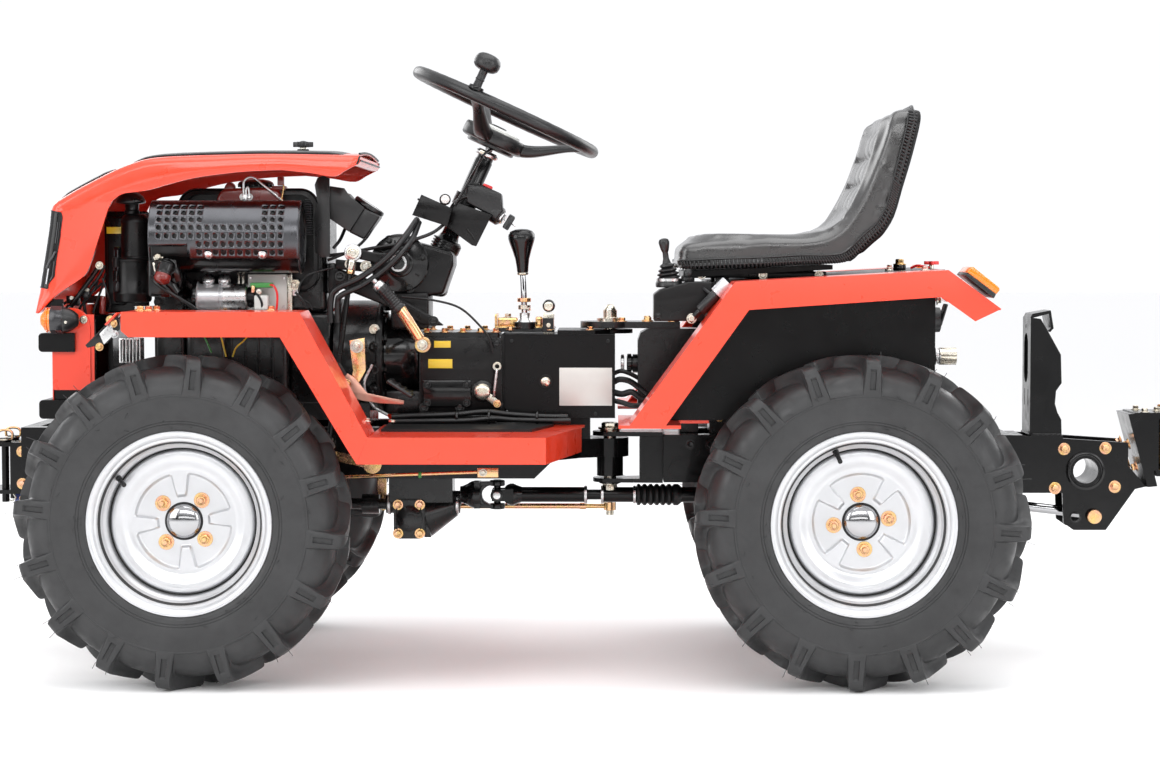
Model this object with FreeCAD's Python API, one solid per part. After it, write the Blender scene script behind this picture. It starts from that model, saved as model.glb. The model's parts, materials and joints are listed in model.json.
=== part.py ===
import FreeCAD, Part
import os, math

V = FreeCAD.Vector

# ---------------------------------------------------------------------------
# Articulated mini tractor, millimetres, +Z up, +X to the rear, left side -Y.
# All pieces are laid out about the articulation pin (x = 0, y = 0), and moved
# by PIVOT_X at export so that the origin is under the middle of the machine.
# ---------------------------------------------------------------------------
PIVOT_X = 70.0          # articulation pin, from the middle of the machine
WHEEL_R = 315.0         # tyre outer radius
WHEEL_W = 155.0         # tyre section width
TRACK = 790.0           # between wheel mid planes
FRONT_AXLE_X = -804.0
REAR_AXLE_X = 473.0
RIM_SEAT_R = 152.0      # twelve inch rim
RIM_FLANGE_R = 171.0
HALF_BODY = 455.0       # half width over fenders and platform
SHEET = 3.0             # sheet metal
PLATFORM_TOP = 477.0
FLANGE = 50.0
RAIL_Y0, RAIL_Y1 = 100.0, 140.0
RAIL_Z0, RAIL_Z1 = 373.0, 474.0
PIN_LOW_R = 13.0
PIN_TOP_R = 12.0
SHAFT_Z = 328.4         # centre line of the drive shaft
SHAFT_D = 229.5         # universal joints sit this far each side of the pin
PTO_R = 17.45           # 1-3/8 inch stub
PTO_Z = 611.0
HITCH_X, HITCH_Z = 954.5, 383.4     # cross tube of the rear hitch
HITCH_BORE_R = 25.0
EYE_X, EYE_Z = 974.8, 290.5         # rod eye of the lift cylinder
CYL_X, CYL_Z = 622.0, 331.0         # base pin of the lift cylinder
WHEEL_C = (-211.0, 1104.0)          # steering wheel centre
COL_N = (0.416, 0.9094)             # column direction, upwards
STEER_R = 192.0                     # rim centre line radius
PIT_X, PIT_Z = -417.0, 800.0        # steering box output
BALL_DX, BALL_DZ = -88.7, 20.6      # pitman arm
BELL_X, BELL_Z = -470.0, 402.0      # relay shaft
LINK_Y = -165.0
ROD_Y, ROD_Z = 95.0, 295.5          # steering rod to the rear half
HOOD_X, HOOD_Z = -1108.0, 722.0     # hood hinge
HOOD_W = 214.0

os.makedirs("parts", exist_ok=True)


def bx(x0, x1, y0, y1, z0, z1):
    return Part.makeBox(x1 - x0, y1 - y0, z1 - z0, V(x0, y0, z0))


def cyl(p, q, r):
    p, q = V(*p), V(*q)
    d = q - p
    return Part.makeCylinder(r, d.Length, p, d)


def cone(p, q, r1, r2):
    p, q = V(*p), V(*q)
    d = q - p
    return Part.makeCone(r1, r2, d.Length, p, d)


def pr(pts, plane, a, b):
    if plane == "xz":
        vs = [V(p[0], a, p[1]) for p in pts]
        d = V(0, b - a, 0)
    elif plane == "xy":
        vs = [V(p[0], p[1], a) for p in pts]
        d = V(0, 0, b - a)
    else:
        vs = [V(a, p[0], p[1]) for p in pts]
        d = V(b - a, 0, 0)
    return Part.Face(Part.makePolygon(vs + [vs[0]])).extrude(d)


def fil(s, r, sel):
    es = [e for e in s.Edges if sel(e)]
    if not es:
        return s
    try:
        f = s.makeFillet(r, es)
        return f if f.isValid() and f.Volume > 0 else s
    except Exception:
        print("fillet skipped", r)
        return s


def along(ax):
    def sel(e):
        d = e.Vertexes[-1].Point - e.Vertexes[0].Point
        if d.Length < 1e-6:
            return False
        d.normalize()
        return abs(abs(d.dot(V(*ax))) - 1) < 1e-6
    return sel


def rbx(x0, x1, y0, y1, z0, z1, r, ax=(0, 1, 0)):
    return fil(bx(x0, x1, y0, y1, z0, z1), r, along(ax))


def mir(s):
    return s.mirror(V(0, 0, 0), V(0, 1, 0))


def fuse(*ss):
    s = ss[0]
    if len(ss) > 1:
        s = s.fuse(list(ss[1:]))
    return s.removeSplitter()


def rev(pts, cx, cz, yc, sign=1.0):
    # pts are (radius, y offset) pairs, turned about the wheel axis
    vs = [V(cx + r, yc + sign * y, cz) for r, y in pts]
    f = Part.Face(Part.makePolygon(vs + [vs[0]]))
    return f.revolve(V(cx, yc, cz), V(0, 1, 0), 360)


def tube(pts, r, tag=""):
    ps = [V(*p) for p in pts]
    edges, last, radii = [], ps[0], []
    for i in range(1, len(ps) - 1):
        a = ps[i - 1] - ps[i]
        b = ps[i + 1] - ps[i]
        la, lb = a.Length, b.Length
        a.normalize()
        b.normalize()
        turn = math.pi - math.acos(max(-1.0, min(1.0, a.dot(b))))
        t = 0.45 * min(la, lb)
        rad = t / math.tan(turn / 2)
        radii.append(round(rad, 1))
        p0, p1 = ps[i] + a * t, ps[i] + b * t
        bis = a + b
        bis.normalize()
        mid = ps[i] + bis * (rad / math.cos(turn / 2) - rad)
        edges.append(Part.LineSegment(last, p0).toShape())
        edges.append(Part.Arc(p0, mid, p1).toShape())
        last = p1
    edges.append(Part.LineSegment(last, ps[-1]).toShape())
    w = Part.Wire(edges)
    d = ps[1] - ps[0]
    c = Part.Wire([Part.Circle(ps[0], d, r).toShape()])
    s = w.makePipeShell([c], True, True)
    if s.ShapeType != "Solid":
        s = Part.Solid(s)
    if s.Volume < 0:
        s.reverse()
    print(tag, "radii", radii, "volume ratio", round(s.Volume / (math.pi * r * r * w.Length), 3))
    return s


LOW = [1e9, 1e9, 1e9]
HIGH = [-1e9, -1e9, -1e9]


def out(name, *ss):
    sol = []
    for s in ss:
        sol += s.Solids
    for s in sol:
        if not s.isValid() or s.Volume <= 0:
            print("BAD SOLID in", name, s.isValid(), s.Volume)
    c = Part.makeCompound([s.copy() for s in sol])
    c.translate(V(PIVOT_X, 0, 0))
    b = c.BoundBox
    for i, (a, z) in enumerate(((b.XMin, b.XMax), (b.YMin, b.YMax), (b.ZMin, b.ZMax))):
        LOW[i] = min(LOW[i], a)
        HIGH[i] = max(HIGH[i], z)
    c.exportStep("parts/%s.step" % name)
    print("%-24s %2d solids  %8.0f cm3" % (name, len(sol), sum(s.Volume for s in sol) / 1000))


# ============================ WHEELS =======================================
hw = WHEEL_W / 2
TYRE = [(RIM_SEAT_R, -55), (RIM_SEAT_R + 20, -57), (196, -68), (225, -hw + 1), (252, -hw), (279, -hw + 2),
        (303, -hw + 6), (311, -hw + 16), (WHEEL_R, -38), (WHEEL_R, 38), (311, hw - 16), (303, hw - 6),
        (279, hw - 2), (252, hw), (225, hw - 1), (196, 68), (RIM_SEAT_R + 20, 57), (RIM_SEAT_R, 55)]
# barrel with two flanges and a drop centre, then the dished disc and hub
RIM = [(RIM_FLANGE_R, -65), (RIM_FLANGE_R, -60), (RIM_SEAT_R + 3, -58.3), (RIM_SEAT_R - 0.3, -56), (150, -36),
       (136, -26), (136, 18), (150, 30), (RIM_SEAT_R - 0.3, 56), (RIM_SEAT_R + 3, 58.3), (RIM_FLANGE_R, 60),
       (RIM_FLANGE_R, 65), (164, 65), (148, 60), (144, 30), (132, 20), (132, 4), (62, 4), (50, 8), (50, 70), (0, 70),
       (0, -24), (31, -8), (31, -4), (118, -4), (132, -12), (132, -28), (146, -38), (148, -60), (164, -65)]
for end, ax in (("front", FRONT_AXLE_X), ("rear", REAR_AXLE_X)):
    for side, sg in (("left", -1.0), ("right", 1.0)):
        yc = sg * TRACK / 2
        # in the profiles a negative offset is the outer side
        out("tyre_%s_%s" % (end, side), rev(TYRE, ax, WHEEL_R, yc))
        rim = rev(RIM, ax, WHEEL_R, yc, -sg)
        stub = cyl((ax, yc - sg * 60, WHEEL_R), (ax, yc - sg * 130, WHEEL_R), 20.0)
        rim = fuse(rim, stub)
        a0 = 45 if end == "front" else 0
        for k in range(4):
            a = math.radians(a0 + 90 * k)
            bxx, bz = ax + 52 * math.cos(a), WHEEL_R + 52 * math.sin(a)
            rim = rim.fuse(cyl((bxx, yc + sg * 3, bz), (bxx, yc + sg * 15, bz), 9.0))
        out("rim_%s_%s" % (end, side), rim.removeSplitter())

# ============================ FRONT HALF ===================================
# --- frame: two deep rails, cross members, tapered tongue with a pivot boss
rail = pr([(-1170, RAIL_Z0), (-150, RAIL_Z0), (-118, 404), (-118, RAIL_Z1), (-1170, RAIL_Z1)], "xz", RAIL_Y0, RAIL_Y1)
rail = rail.cut(cyl((BELL_X, RAIL_Y0 - 5, BELL_Z), (BELL_X, RAIL_Y1 + 5, BELL_Z), 12.0))
rails = [mir(rail), rail]
cross = [bx(-1170, -1140, -RAIL_Y0, RAIL_Y0, RAIL_Z0, RAIL_Z1), bx(-560, -535, -RAIL_Y0, RAIL_Y0, 392, RAIL_Z1),
         bx(-150, -118, -RAIL_Y0, RAIL_Y0, 404, RAIL_Z1)]
tongue = pr([(-118, -RAIL_Y1), (-118, RAIL_Y1), (-60, 64), (-12, 37), (0, 37), (0, -37), (-12, -37), (-60, -64)], "xy", 408, 446)
tongue = tongue.fuse(cyl((0, 0, 408), (0, 0, 446), 38.0))
tongue = tongue.fuse(cyl((0, 0, 368), (0, 0, 408), 27.0))
frame = fuse(*rails, *cross, tongue)
frame = frame.cut(cyl((0, 0, 300), (0, 0, 480), PIN_LOW_R + 0.05))

# --- axle with its casing, hung under the rails
axle = cyl((FRONT_AXLE_X, -318, WHEEL_R), (FRONT_AXLE_X, 318, WHEEL_R), 31.0)
hub_f = [cyl((FRONT_AXLE_X, s * 302, WHEEL_R), (FRONT_AXLE_X, s * 318, WHEEL_R), 44.0) for s in (-1, 1)]
diff = Part.makeSphere(88, V(FRONT_AXLE_X, 0, WHEEL_R)).cut(bx(-900, -700, -100, 100, 400, 500))
nose = cone((FRONT_AXLE_X + 70, 0, 311), (FRONT_AXLE_X + 150, 0, 311), 52, 30)
seats = []
for s in (-1, 1):
    seats.append(bx(FRONT_AXLE_X - 35, FRONT_AXLE_X + 35, min(s * 108, s * 132), max(s * 108, s * 132), 330, RAIL_Z0))
faxle = fuse(axle, *hub_f, diff, nose, *seats)
for s in (-1, 1):
    faxle = faxle.cut(cyl((FRONT_AXLE_X, s * 250, WHEEL_R), (FRONT_AXLE_X, s * 330, WHEEL_R), 20.05))
out("front_axle", faxle)

# --- transfer case under the gearbox, with the shaft to the front axle
tc = rbx(-437, -374, -52, 52, 243, 322, 12)
tc = fuse(tc, cone((-374, 0, 290), (-316, 0, 306), 48, 22), cyl((-456, 0, 309), (-437, 0, 309), 19),
          cyl((-320, 0, 309), (-305, 0, 309), 19), bx(-447, -318, -46, 46, 316, RAIL_Z0),
          bx(-436, -325, -RAIL_Y0, RAIL_Y0, 373, 385))
fps = fuse(cyl((-653.5, 0, 310), (-456, 0, 309), 11), cyl((-640, 0, 310), (-600, 0, 310), 21), cyl((-505, 0, 309), (-470, 0, 309), 20))
yoke = fuse(cyl((-305, 0, SHAFT_Z), (-268, 0, SHAFT_Z), 17), bx(-276, -264, -22, 22, SHAFT_Z - 27, SHAFT_Z + 27),
            rbx(-276, -214, -13, 13, SHAFT_Z + 19, SHAFT_Z + 27, 3), rbx(-276, -214, -13, 13, SHAFT_Z - 27, SHAFT_Z - 19, 3))
yoke = yoke.cut(cyl((-SHAFT_D, 0, 290), (-SHAFT_D, 0, 370), 7.05))
out("transfer_case", fuse(tc, fps, yoke, cyl((-320, 0, 322), (-303, 0, 322), 14)))

# --- engine block, cooling shroud, starter and fuel tank
eng = rbx(-905, -640, -118, 140, RAIL_Z1, 740, 18, (0, 0, 1))
eng = fuse(eng, rbx(-870, -560, -92, 120, 700, 905, 18, (0, 0, 1)), bx(-640, -552, -100, 110, 520, 700))
sh = rbx(-855, -580, -118, -92, 748, 944, 34, (0, 1, 0))
st = fuse(cyl((-811, -150, 734), (-675, -150, 734), 27), cyl((-829, -150, 734), (-811, -150, 734), 20),
          bx(-800, -690, -150, -118, 715, 739), cyl((-790, -150, 768), (-725, -150, 768), 12), bx(-780, -735, -156, -144, 750, 768))
ft = rbx(-779, -649, -85, 90, 905, 948, 16, (0, 0, 1))
ft = fuse(ft, rbx(-762, -690, -60, 60, 948, 968, 9, (0, 0, 1)))
eng = fuse(eng, sh, ft)
out("engine_block", eng)

# --- muffler: oval can lying along the left side, with its pipe
el = Part.Ellipse(V(0, 0, 0), 72, 58)
face = Part.Face(Part.Wire([el.toShape()]))
face.rotate(V(0, 0, 0), V(0, 1, 0), 90)
mb = face.extrude(V(295, 0, 0))
bb = mb.BoundBox
if bb.ZLength < bb.YLength:
    mb.rotate(V(0, 0, 0), V(1, 0, 0), 90)
mb.translate(V(-897.5 - mb.BoundBox.XMin, -176, 850))
mp = fuse(rbx(-896, -842, -150, -119, 752, 800, 10), cyl((-690, -140, 776), (-690, -119, 776), 16))
mp = mp.cut(mb)
out("muffler", fuse(mb, mp).cut(eng))

# --- air cleaner with its rain cap
ac = fuse(cyl((-945, -140, 723), (-945, -140, 807), 38), cyl((-938, -140, 806), (-938, -140, 897), 29))
ac = fuse(ac, cyl((-945, -140, 895), (-945, -140, 917), 13), cone((-947, -140, 915), (-947, -140, 940), 28, 17),
          cyl((-938, -112, 860), (-900, -72, 860), 18), bx(-1002, -920, -112, -102, 700, 900))
out("air_cleaner", ac)
acb = bx(-1000, -905, -116, 116, 690, 699)
acb = fuse(acb, bx(-1000, -990, -116, 116, RAIL_Z1, 690), bx(-975, -920, -115, -100, 699, 700))

# --- clutch housing and gearbox
gb = cyl((-552, 0, 612), (-455, 0, 612), 112)
gb = fuse(gb, cyl((-455, 0, 614), (-381, 0, 614), 80), rbx(-381, -216, -95, 95, 497, 652, 6, (0, 1, 0)),
          bx(-381, -330, -97, 97, 480, 500), bx(-370, -230, -90, 90, RAIL_Z1 + 3, 500), rbx(-372, -222, -88, 88, 650, 662, 4, (0, 0, 1)),
          bx(-540, -480, -97, 97, RAIL_Z1 + 3, 520))
gb = gb.common(bx(-600, -200, -200, 200, RAIL_Z1 + 3, 760))
lv = fuse(cyl((-252, -95, 543), (-252, -112, 543), 16), cyl((-252, -112, 543), (-252, -118, 543), 9),
          pr([(-256, 548), (-248, 538), (-216, 512), (-212, 520)], "xz", -112, -106))
sp = bx(-232, -112, -70, 60, 662, 670)
sp = fuse(sp, cyl((-171, -60, 668), (-171, -60, 682), 22), bx(-135, -113, -84, -60, 662, 690))
gl = fuse(cyl((-171, -60, 684), (-176, -60, 795), 6), cyl((-171, -60, 682), (-171, -60, 700), 10),
          cyl((-171, -60, 716), (-171, -60, 726), 13))
gk = cone((-176, -60, 790), (-178, -60, 838), 11, 26)
gk = fuse(gk, Part.makeSphere(26.5, V(-178, -60, 838)))
rl = fuse(pr([(-132, 690), (-116, 690), (-116, 716), (-132, 716)], "xz", -76, -70), cyl((-124, -88, 716), (-124, -58, 716), 11))

# --- covered box over the rear of the gearbox, with the upper knuckle plate
bxs = pr([(-190, 491), (10, 491), (10, 658), (-211, 658), (-211, 512)], "xz", -90, 90)
kn = pr([(-211, -88), (-30, -88), (0, -46), (0, 46), (-30, 88), (-211, 88)], "xy", 658, 666)
kn = kn.fuse(cyl((0, 0, 658), (0, 0, 666), 46)).removeSplitter()
kn = kn.cut(cyl((0, 0, 640), (0, 0, 700), PIN_TOP_R + 0.05))
kn = kn.cut(bx(-240, -105, -95, 95, 650, 680))
bb1 = fuse(bx(-150, -40, -60, 60, 446, 491))
bb1 = bb1.cut(frame)
out("gearbox_cover", fuse(bxs, kn, bb1))
out("gearbox", fuse(gb, lv, sp).cut(fuse(bxs, kn, bb1)))
out("gear_levers", fuse(gl, gk), rl.cut(fuse(bxs, kn)))

# --- platform with turned-down edges, and the floor mat
P1 = [(-452, -HALF_BODY), (-119, -HALF_BODY), (-50, -122), (-50, 122), (-119, HALF_BODY), (-452, HALF_BODY)]
plat = pr(P1, "xy", PLATFORM_TOP - SHEET, PLATFORM_TOP)
plat = plat.cut(bx(-150, 0, -95, 95, 460, 480)).cut(bx(-460, -120, -98, 98, 460, 480))


def wallxy(a, b, t, z0, z1, side):
    a, b = V(a[0], a[1], 0), V(b[0], b[1], 0)
    d = b - a
    d.normalize()
    n = V(-d.y, d.x, 0) * side
    return pr([(a.x, a.y), (b.x, b.y), (b.x + n.x * t, b.y + n.y * t), (a.x + n.x * t, a.y + n.y * t)], "xy", z0, z1)


skirt = pr([(-452, PLATFORM_TOP), (-119, PLATFORM_TOP), (-119, 427), (-472, 427)], "xz", -HALF_BODY, -HALF_BODY + SHEET)
end = wallxy((-119, -HALF_BODY), (-56, -150), SHEET, 427, PLATFORM_TOP, 1)
half = fuse(skirt, end)
brk = [bx(-430, -400, -300, -RAIL_Y1, 440, PLATFORM_TOP - SHEET), bx(-170, -140, -300, -RAIL_Y1, 440, PLATFORM_TOP - SHEET)]
brk += [bx(-430, -400, -HALF_BODY + SHEET, -300, 455, PLATFORM_TOP - SHEET), bx(-170, -140, -HALF_BODY + SHEET, -300, 455, PLATFORM_TOP - SHEET)]
half = fuse(half, *brk)
out("platform", fuse(plat, half, mir(half)))
mat = pr([(-440, -300), (-150, -300), (-112, -150), (-112, -100), (-440, -100)], "xy", PLATFORM_TOP, PLATFORM_TOP + 5)
out("floor_mats", mat, mir(mat))

# --- front fenders with the sloping leg down to the platform
F_TOP = 711.0
FO = [(-910, F_TOP), (-590, F_TOP), (-566, F_TOP - 2), (-452, PLATFORM_TOP)]
TOPL = [(-910, F_TOP), (-578, F_TOP), (-452, PLATFORM_TOP), (-455.5, PLATFORM_TOP), (-579.8, F_TOP - SHEET), (-910, F_TOP - SHEET)]
ftop = pr(TOPL, "xz", -HALF_BODY, -300)
FFL = [(-910, F_TOP), (-578, F_TOP), (-452, PLATFORM_TOP), (-472, 427), (-492, 459), (-614, 664), (-896, 664), (-910, 676)]
ffl = pr(FFL, "xz", -HALF_BODY, -HALF_BODY + SHEET)
fend = fuse(ftop, ffl)
sup = [bx(-880, -860, -300, -118, 690, 708), bx(-660, -640, -300, -100, 690, 708)]
fsup = [s.cut(eng) for s in sup]
rsup = [mir(bx(-880, -860, -300, -141, 690, 708)), mir(bx(-660, -640, -300, -111, 690, 708))]
rsup = [r.cut(eng) for r in rsup]
out("front_fenders", fuse(fend, *fsup), fuse(mir(fend), *rsup))
flap = pr([(-910, 711), (-910, 703), (-968, 644), (-974, 649), (-918, 711)], "xz", -HALF_BODY + 8, -310)
out("fender_flaps", flap, mir(flap))

# --- nose panel, bumper bars, indicators, front hitch
npn = [bx(-1092, -1017, -205, -202, 552, 713), bx(-1092, -1017, 202, 205, 552, 713), bx(-1092, -1090, -205, 205, 500, 713)]
npn = fuse(*npn)
npn = fil(npn, 36, lambda e: abs(e.BoundBox.XMin + 1017) < 0.1 and abs(e.BoundBox.ZMin - 713) < 0.1)
npn = fuse(npn, bx(-1092, -1010, -202, -199, 552, 700), bx(-1092, -1010, 199, 202, 552, 700))
out("nose_panel", npn)
nfr = fuse(bx(-1090, -1010, -199, -185, RAIL_Z1, 690), bx(-1090, -1010, 185, 199, RAIL_Z1, 690),
           bx(-1060, -1010, -199, 199, RAIL_Z1, 486), bx(-1090, -1072, -199, 199, 660, 690))
bars = []
for z0, z1 in ((627, 664), (496, 533)):
    b = bx(-1117, -1096, -214, 214, z0, z1)
    c1 = bx(-1117, -1046, -214, -208, z0, z1)
    c2 = bx(-1117, -1046, 208, 214, z0, z1)
    b = fuse(b, c1, c2)
    bars.append(fil(b, 8, lambda e, zz=(z0, z1): abs(e.BoundBox.XMin + 1117) < 0.1 and e.BoundBox.YLength > 300))
ties = [bx(-1096, -1092, -40, 40, 630, 660), bx(-1096, -1092, -40, 40, 500, 530)]
out("bumper_bars", fuse(bars[0], ties[0]), fuse(bars[1], ties[1]))
ind = []
for s in (-1, 1):
    y0, y1 = sorted((s * 220, s * 244))
    b = pr([(-1107, 700), (-1098, 715), (-1052, 716), (-1036, 700), (-1036, 684), (-1050, 664), (-1090, 661), (-1105, 670)], "xz", y0, y1)
    y0, y1 = sorted((s * 205, s * 220))
    ind.append(fuse(b, bx(-1085, -1055, y0, y1, 665, 688)).cut(bars[0]))
out("front_indicators", *ind)
fh = [bx(-1209, -1170, -62, -50, 334, 438), bx(-1209, -1170, 50, 62, 334, 438), bx(-1290, -1170, -62, 62, 430, 438),
      bx(-1290, -1170, -62, 62, 334, 342), bx(-1182, -1170, -62, 62, 334, 470)]
fh = fuse(*fh)
fh = fh.cut(cyl((-1262, 0, 320), (-1262, 0, 450), 11.0))
for y in (-36, 36):
    fh = fh.cut(cyl((-1226, y, 320), (-1226, y, 450), 8.0))
fpn = []
for y in (-36, 36):
    p = fuse(cyl((-1226, y, 316), (-1226, y, 446), 7.5), cyl((-1226, y, 438), (-1226, y, 446), 12))
    fpn.append(p)
out("front_hitch", fuse(fh, *fpn))

# --- steering: box, column, brackets, instrument box
sb = fuse(rbx(-446, -352, -100, 40, 740, 842, 22), cyl((PIT_X, -100, PIT_Z), (PIT_X, -138, PIT_Z), 26),
          bx(-440, -360, -96, 40, 690, 742))
sb = fuse(sb, cyl((PIT_X, -150, PIT_Z), (PIT_X, -100, PIT_Z), 9), bx(-440, -360, -90, 30, 665, 692))
sb = sb.cut(gb)
cxx, czz = WHEEL_C


def ocol(t):
    return (cxx + COL_N[0] * t, 0, czz + COL_N[1] * t)


col = fuse(cyl(ocol(-330), ocol(-86), 16), cyl(ocol(-320), ocol(-285), 26), cyl(ocol(-98), ocol(-86), 24))
col = col.cut(sb)
swb = pr([(-392, 920), (-300, 905), (-300, 868), (-330, 862), (-392, 884)], "xz", -70, -24)
swb = fuse(swb, pr([(-318, 930), (-262, 925), (-240, 905), (-235, 840), (-262, 835), (-300, 880), (-318, 900)], "xz", -48, 24))
swb = swb.cut(cyl(ocol(-400), ocol(0), 16.2))
out("steering_column", fuse(col, swb).cut(cyl(ocol(-126), ocol(-70), 8.05)))
ib = pr([(-588, 800), (-556, 800), (-552, 960), (-562, 972), (-588, 968)], "xz", -122, -118)
ib = fuse(ib, pr([(-566, 955), (-520, 955), (-456, 872), (-470, 842), (-516, 858), (-536, 905), (-566, 905)], "xz", -120, -40))
ib = fuse(ib, cyl((-492, -80, 905), (-462, -80, 935), 32))
ib = fuse(ib, bx(-588, -575, -122, -60, 800, 906))
ib = ib.cut(eng)
out("instrument_box", ib)
arm = fuse(pr([(-546, 765), (-440, 742), (-440, 700), (-470, 700), (-546, 738)], "xz", -98, -70),
           bx(-560, -540, -98, -40, 700, 765))
arm = arm.cut(eng).cut(gb).cut(sb)
out("steering_box", fuse(sb, arm))
hl = fuse(cyl((-462, -205, 770), (-430, -205, 735), 13), cyl((-430, -205, 735), (-372, -205, 648), 11),
          cyl((-368, -213, 641), (-368, -197, 641), 14), cyl((-368, -197, 641), (-368, -95, 641), 7))
out("hand_lever", hl)
pd = pr([(-507, 636), (-476, 652), (-476, 590), (-500, 560), (-508, 590)], "xz", -236, -228)
pd = fuse(pd, pr([(-515, 600), (-497, 600), (-470, 566), (-435, 556), (-398, 545), (-400, 530), (-440, 538), (-480, 548), (-515, 590)], "xz", -244, -236),
          cyl((-491, -240, 640), (-491, -98, 640), 8))
pad = pr([(-436, 572), (-425, 582), (-380, 556), (-374, 540), (-392, 548), (-436, 570)], "xz", -270, -210)
out("brake_pedal", fuse(pd, pad).cut(gb))

# --- pitman arm, drag link, relay shaft
bxl, bzl = PIT_X + BALL_DX, PIT_Z + BALL_DZ


def flat(x0, z0, x1, z1, y0, y1, w):
    a = V(x1 - x0, 0, z1 - z0)
    a.normalize()
    n = V(-a.z, 0, a.x) * w
    return pr([(x0 + n.x, z0 + n.z), (x1 + n.x, z1 + n.z), (x1 - n.x, z1 - n.z), (x0 - n.x, z0 - n.z)], "xz", y0, y1)


pit = fuse(cyl((PIT_X, -158, PIT_Z), (PIT_X, -144, PIT_Z), 22), flat(PIT_X, PIT_Z, bxl, bzl, -157, -145, 9),
           cyl((bxl, -158, bzl), (bxl, -144, bzl), 13))
pit = pit.cut(cyl((PIT_X, -200, PIT_Z), (PIT_X, 0, PIT_Z), 9.05))
pit = fuse(pit, cyl((bxl, -176, bzl), (bxl, -158, bzl), 6))
out("pitman_arm", pit)
ex, ez = BELL_X + BALL_DX, BELL_Z + BALL_DZ
dl = fuse(cyl((bxl, LINK_Y - 5, bzl), (bxl, LINK_Y + 5, bzl), 15), cyl((ex, LINK_Y - 5, ez), (ex, LINK_Y + 5, ez), 15),
          cyl((bxl, LINK_Y, bzl), (ex, LINK_Y, ez), 4.9))
dl = dl.cut(cyl((bxl, -300, bzl), (bxl, 0, bzl), 6.05)).cut(cyl((ex, -300, ez), (ex, 0, ez), 7.0))
out("drag_link", dl)
rs = fuse(cyl((BELL_X, -157, BELL_Z), (BELL_X, 76, BELL_Z), 10), cyl((BELL_X, -157, BELL_Z), (BELL_X, -144, BELL_Z), 18),
          flat(BELL_X, BELL_Z, ex, ez, -157, -147, 9), cyl((ex, -157, ez), (ex, -147, ez), 13), cyl((ex, -176, ez), (ex, -157, ez), 6),
          cyl((BELL_X, 58, BELL_Z), (BELL_X, 76, BELL_Z), 18), flat(BELL_X, BELL_Z, BELL_X, ROD_Z + 12, 60, 70, 9),
          cyl((BELL_X, 60, ROD_Z + 8), (BELL_X, 70, ROD_Z + 8), 11))
out("relay_shaft", rs)

# ============================ HOOD =========================================
HP = [(-1123, 704), (-1117, 742), (-1090, 912), (-1078, 922), (-1041, 949), (-961, 992), (-916, 1003), (-840, 1010),
      (-760, 1014), (-592, 1016), (-488, 1010.5), (-491.5, 992.5), (-536, 969), (-592, 980), (-641, 982), (-741, 976),
      (-812, 966), (-866, 953), (-911, 939), (-951, 935), (-971, 921), (-991, 871), (-1001, 841), (-1018, 791),
      (-1030, 771), (-1071, 746), (-1115, 704)]
TOPLINE = HP[:11]
hood_solid = pr(HP, "xz", -HOOD_W, HOOD_W)
inner = pr([(p[0], p[1]) for p in HP], "xz", -HOOD_W + SHEET, HOOD_W - SHEET)
inner.translate(V(SHEET + 1, 0, -SHEET - 0.5))
big = bx(-1110, -460, -HOOD_W + SHEET, HOOD_W - SHEET, 690, 700)


def offs(line, t):
    res = []
    for i, p in enumerate(line):
        a = line[max(0, i - 1)]
        b = line[min(len(line) - 1, i + 1)]
        dx, dz = b[0] - a[0], b[1] - a[1]
        L = math.hypot(dx, dz)
        res.append((p[0] + dz / L * t, p[1] - dx / L * t))
    return res


skin = pr(TOPLINE + list(reversed(offs(TOPLINE, SHEET))), "xz", -HOOD_W, HOOD_W)
side = pr(HP, "xz", -HOOD_W, -HOOD_W + SHEET)
crown = pr([(-1035, 945), (-961, 985), (-916, 998), (-760, 1009), (-592, 1011), (-500, 1007), (-500, 1014), (-592, 1026), (-760, 1024),
            (-916, 1013), (-961, 1000), (-1035, 955)], "xz", -120, 120)
hood = fuse(skin, side, mir(side), crown)
ht = fuse(cyl((-499, -HOOD_W + SHEET, 999), (-499, HOOD_W - SHEET, 999), 7), bx(-508, -494, -HOOD_W + SHEET, HOOD_W - SHEET, 996, 1008))
ht = ht.cut(hood)
hk = fuse(cyl((-622, 0, 1020), (-622, 0, 1038), 7), cyl((-622, 0, 1034), (-622, 0, 1046), 21)).cut(hood)
out("hood_fittings", ht, hk)
hh = []
for s in (-1, 1):
    y0, y1 = sorted((s * 190, s * (HOOD_W - SHEET)))
    hh.append(cyl((HOOD_X, y0, HOOD_Z), (HOOD_X, y1, HOOD_Z), 5))
out("hood", fuse(hood, *hh))
hb = []
for s in (-1, 1):
    y0, y1 = sorted((s * 188, s * 199))
    b = fuse(bx(HOOD_X, -1072, y0, y1, HOOD_Z - 8, HOOD_Z + 8), cyl((HOOD_X, y0, HOOD_Z), (HOOD_X, y1, HOOD_Z), 8),
             bx(-1086, -1072, y0, y1, 690, HOOD_Z + 8))
    hb.append(b.cut(cyl((HOOD_X, y0 - 5, HOOD_Z), (HOOD_X, y1 + 5, HOOD_Z), 5.05)))
out("front_frame", fuse(frame, acb, nfr, *hb))

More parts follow.
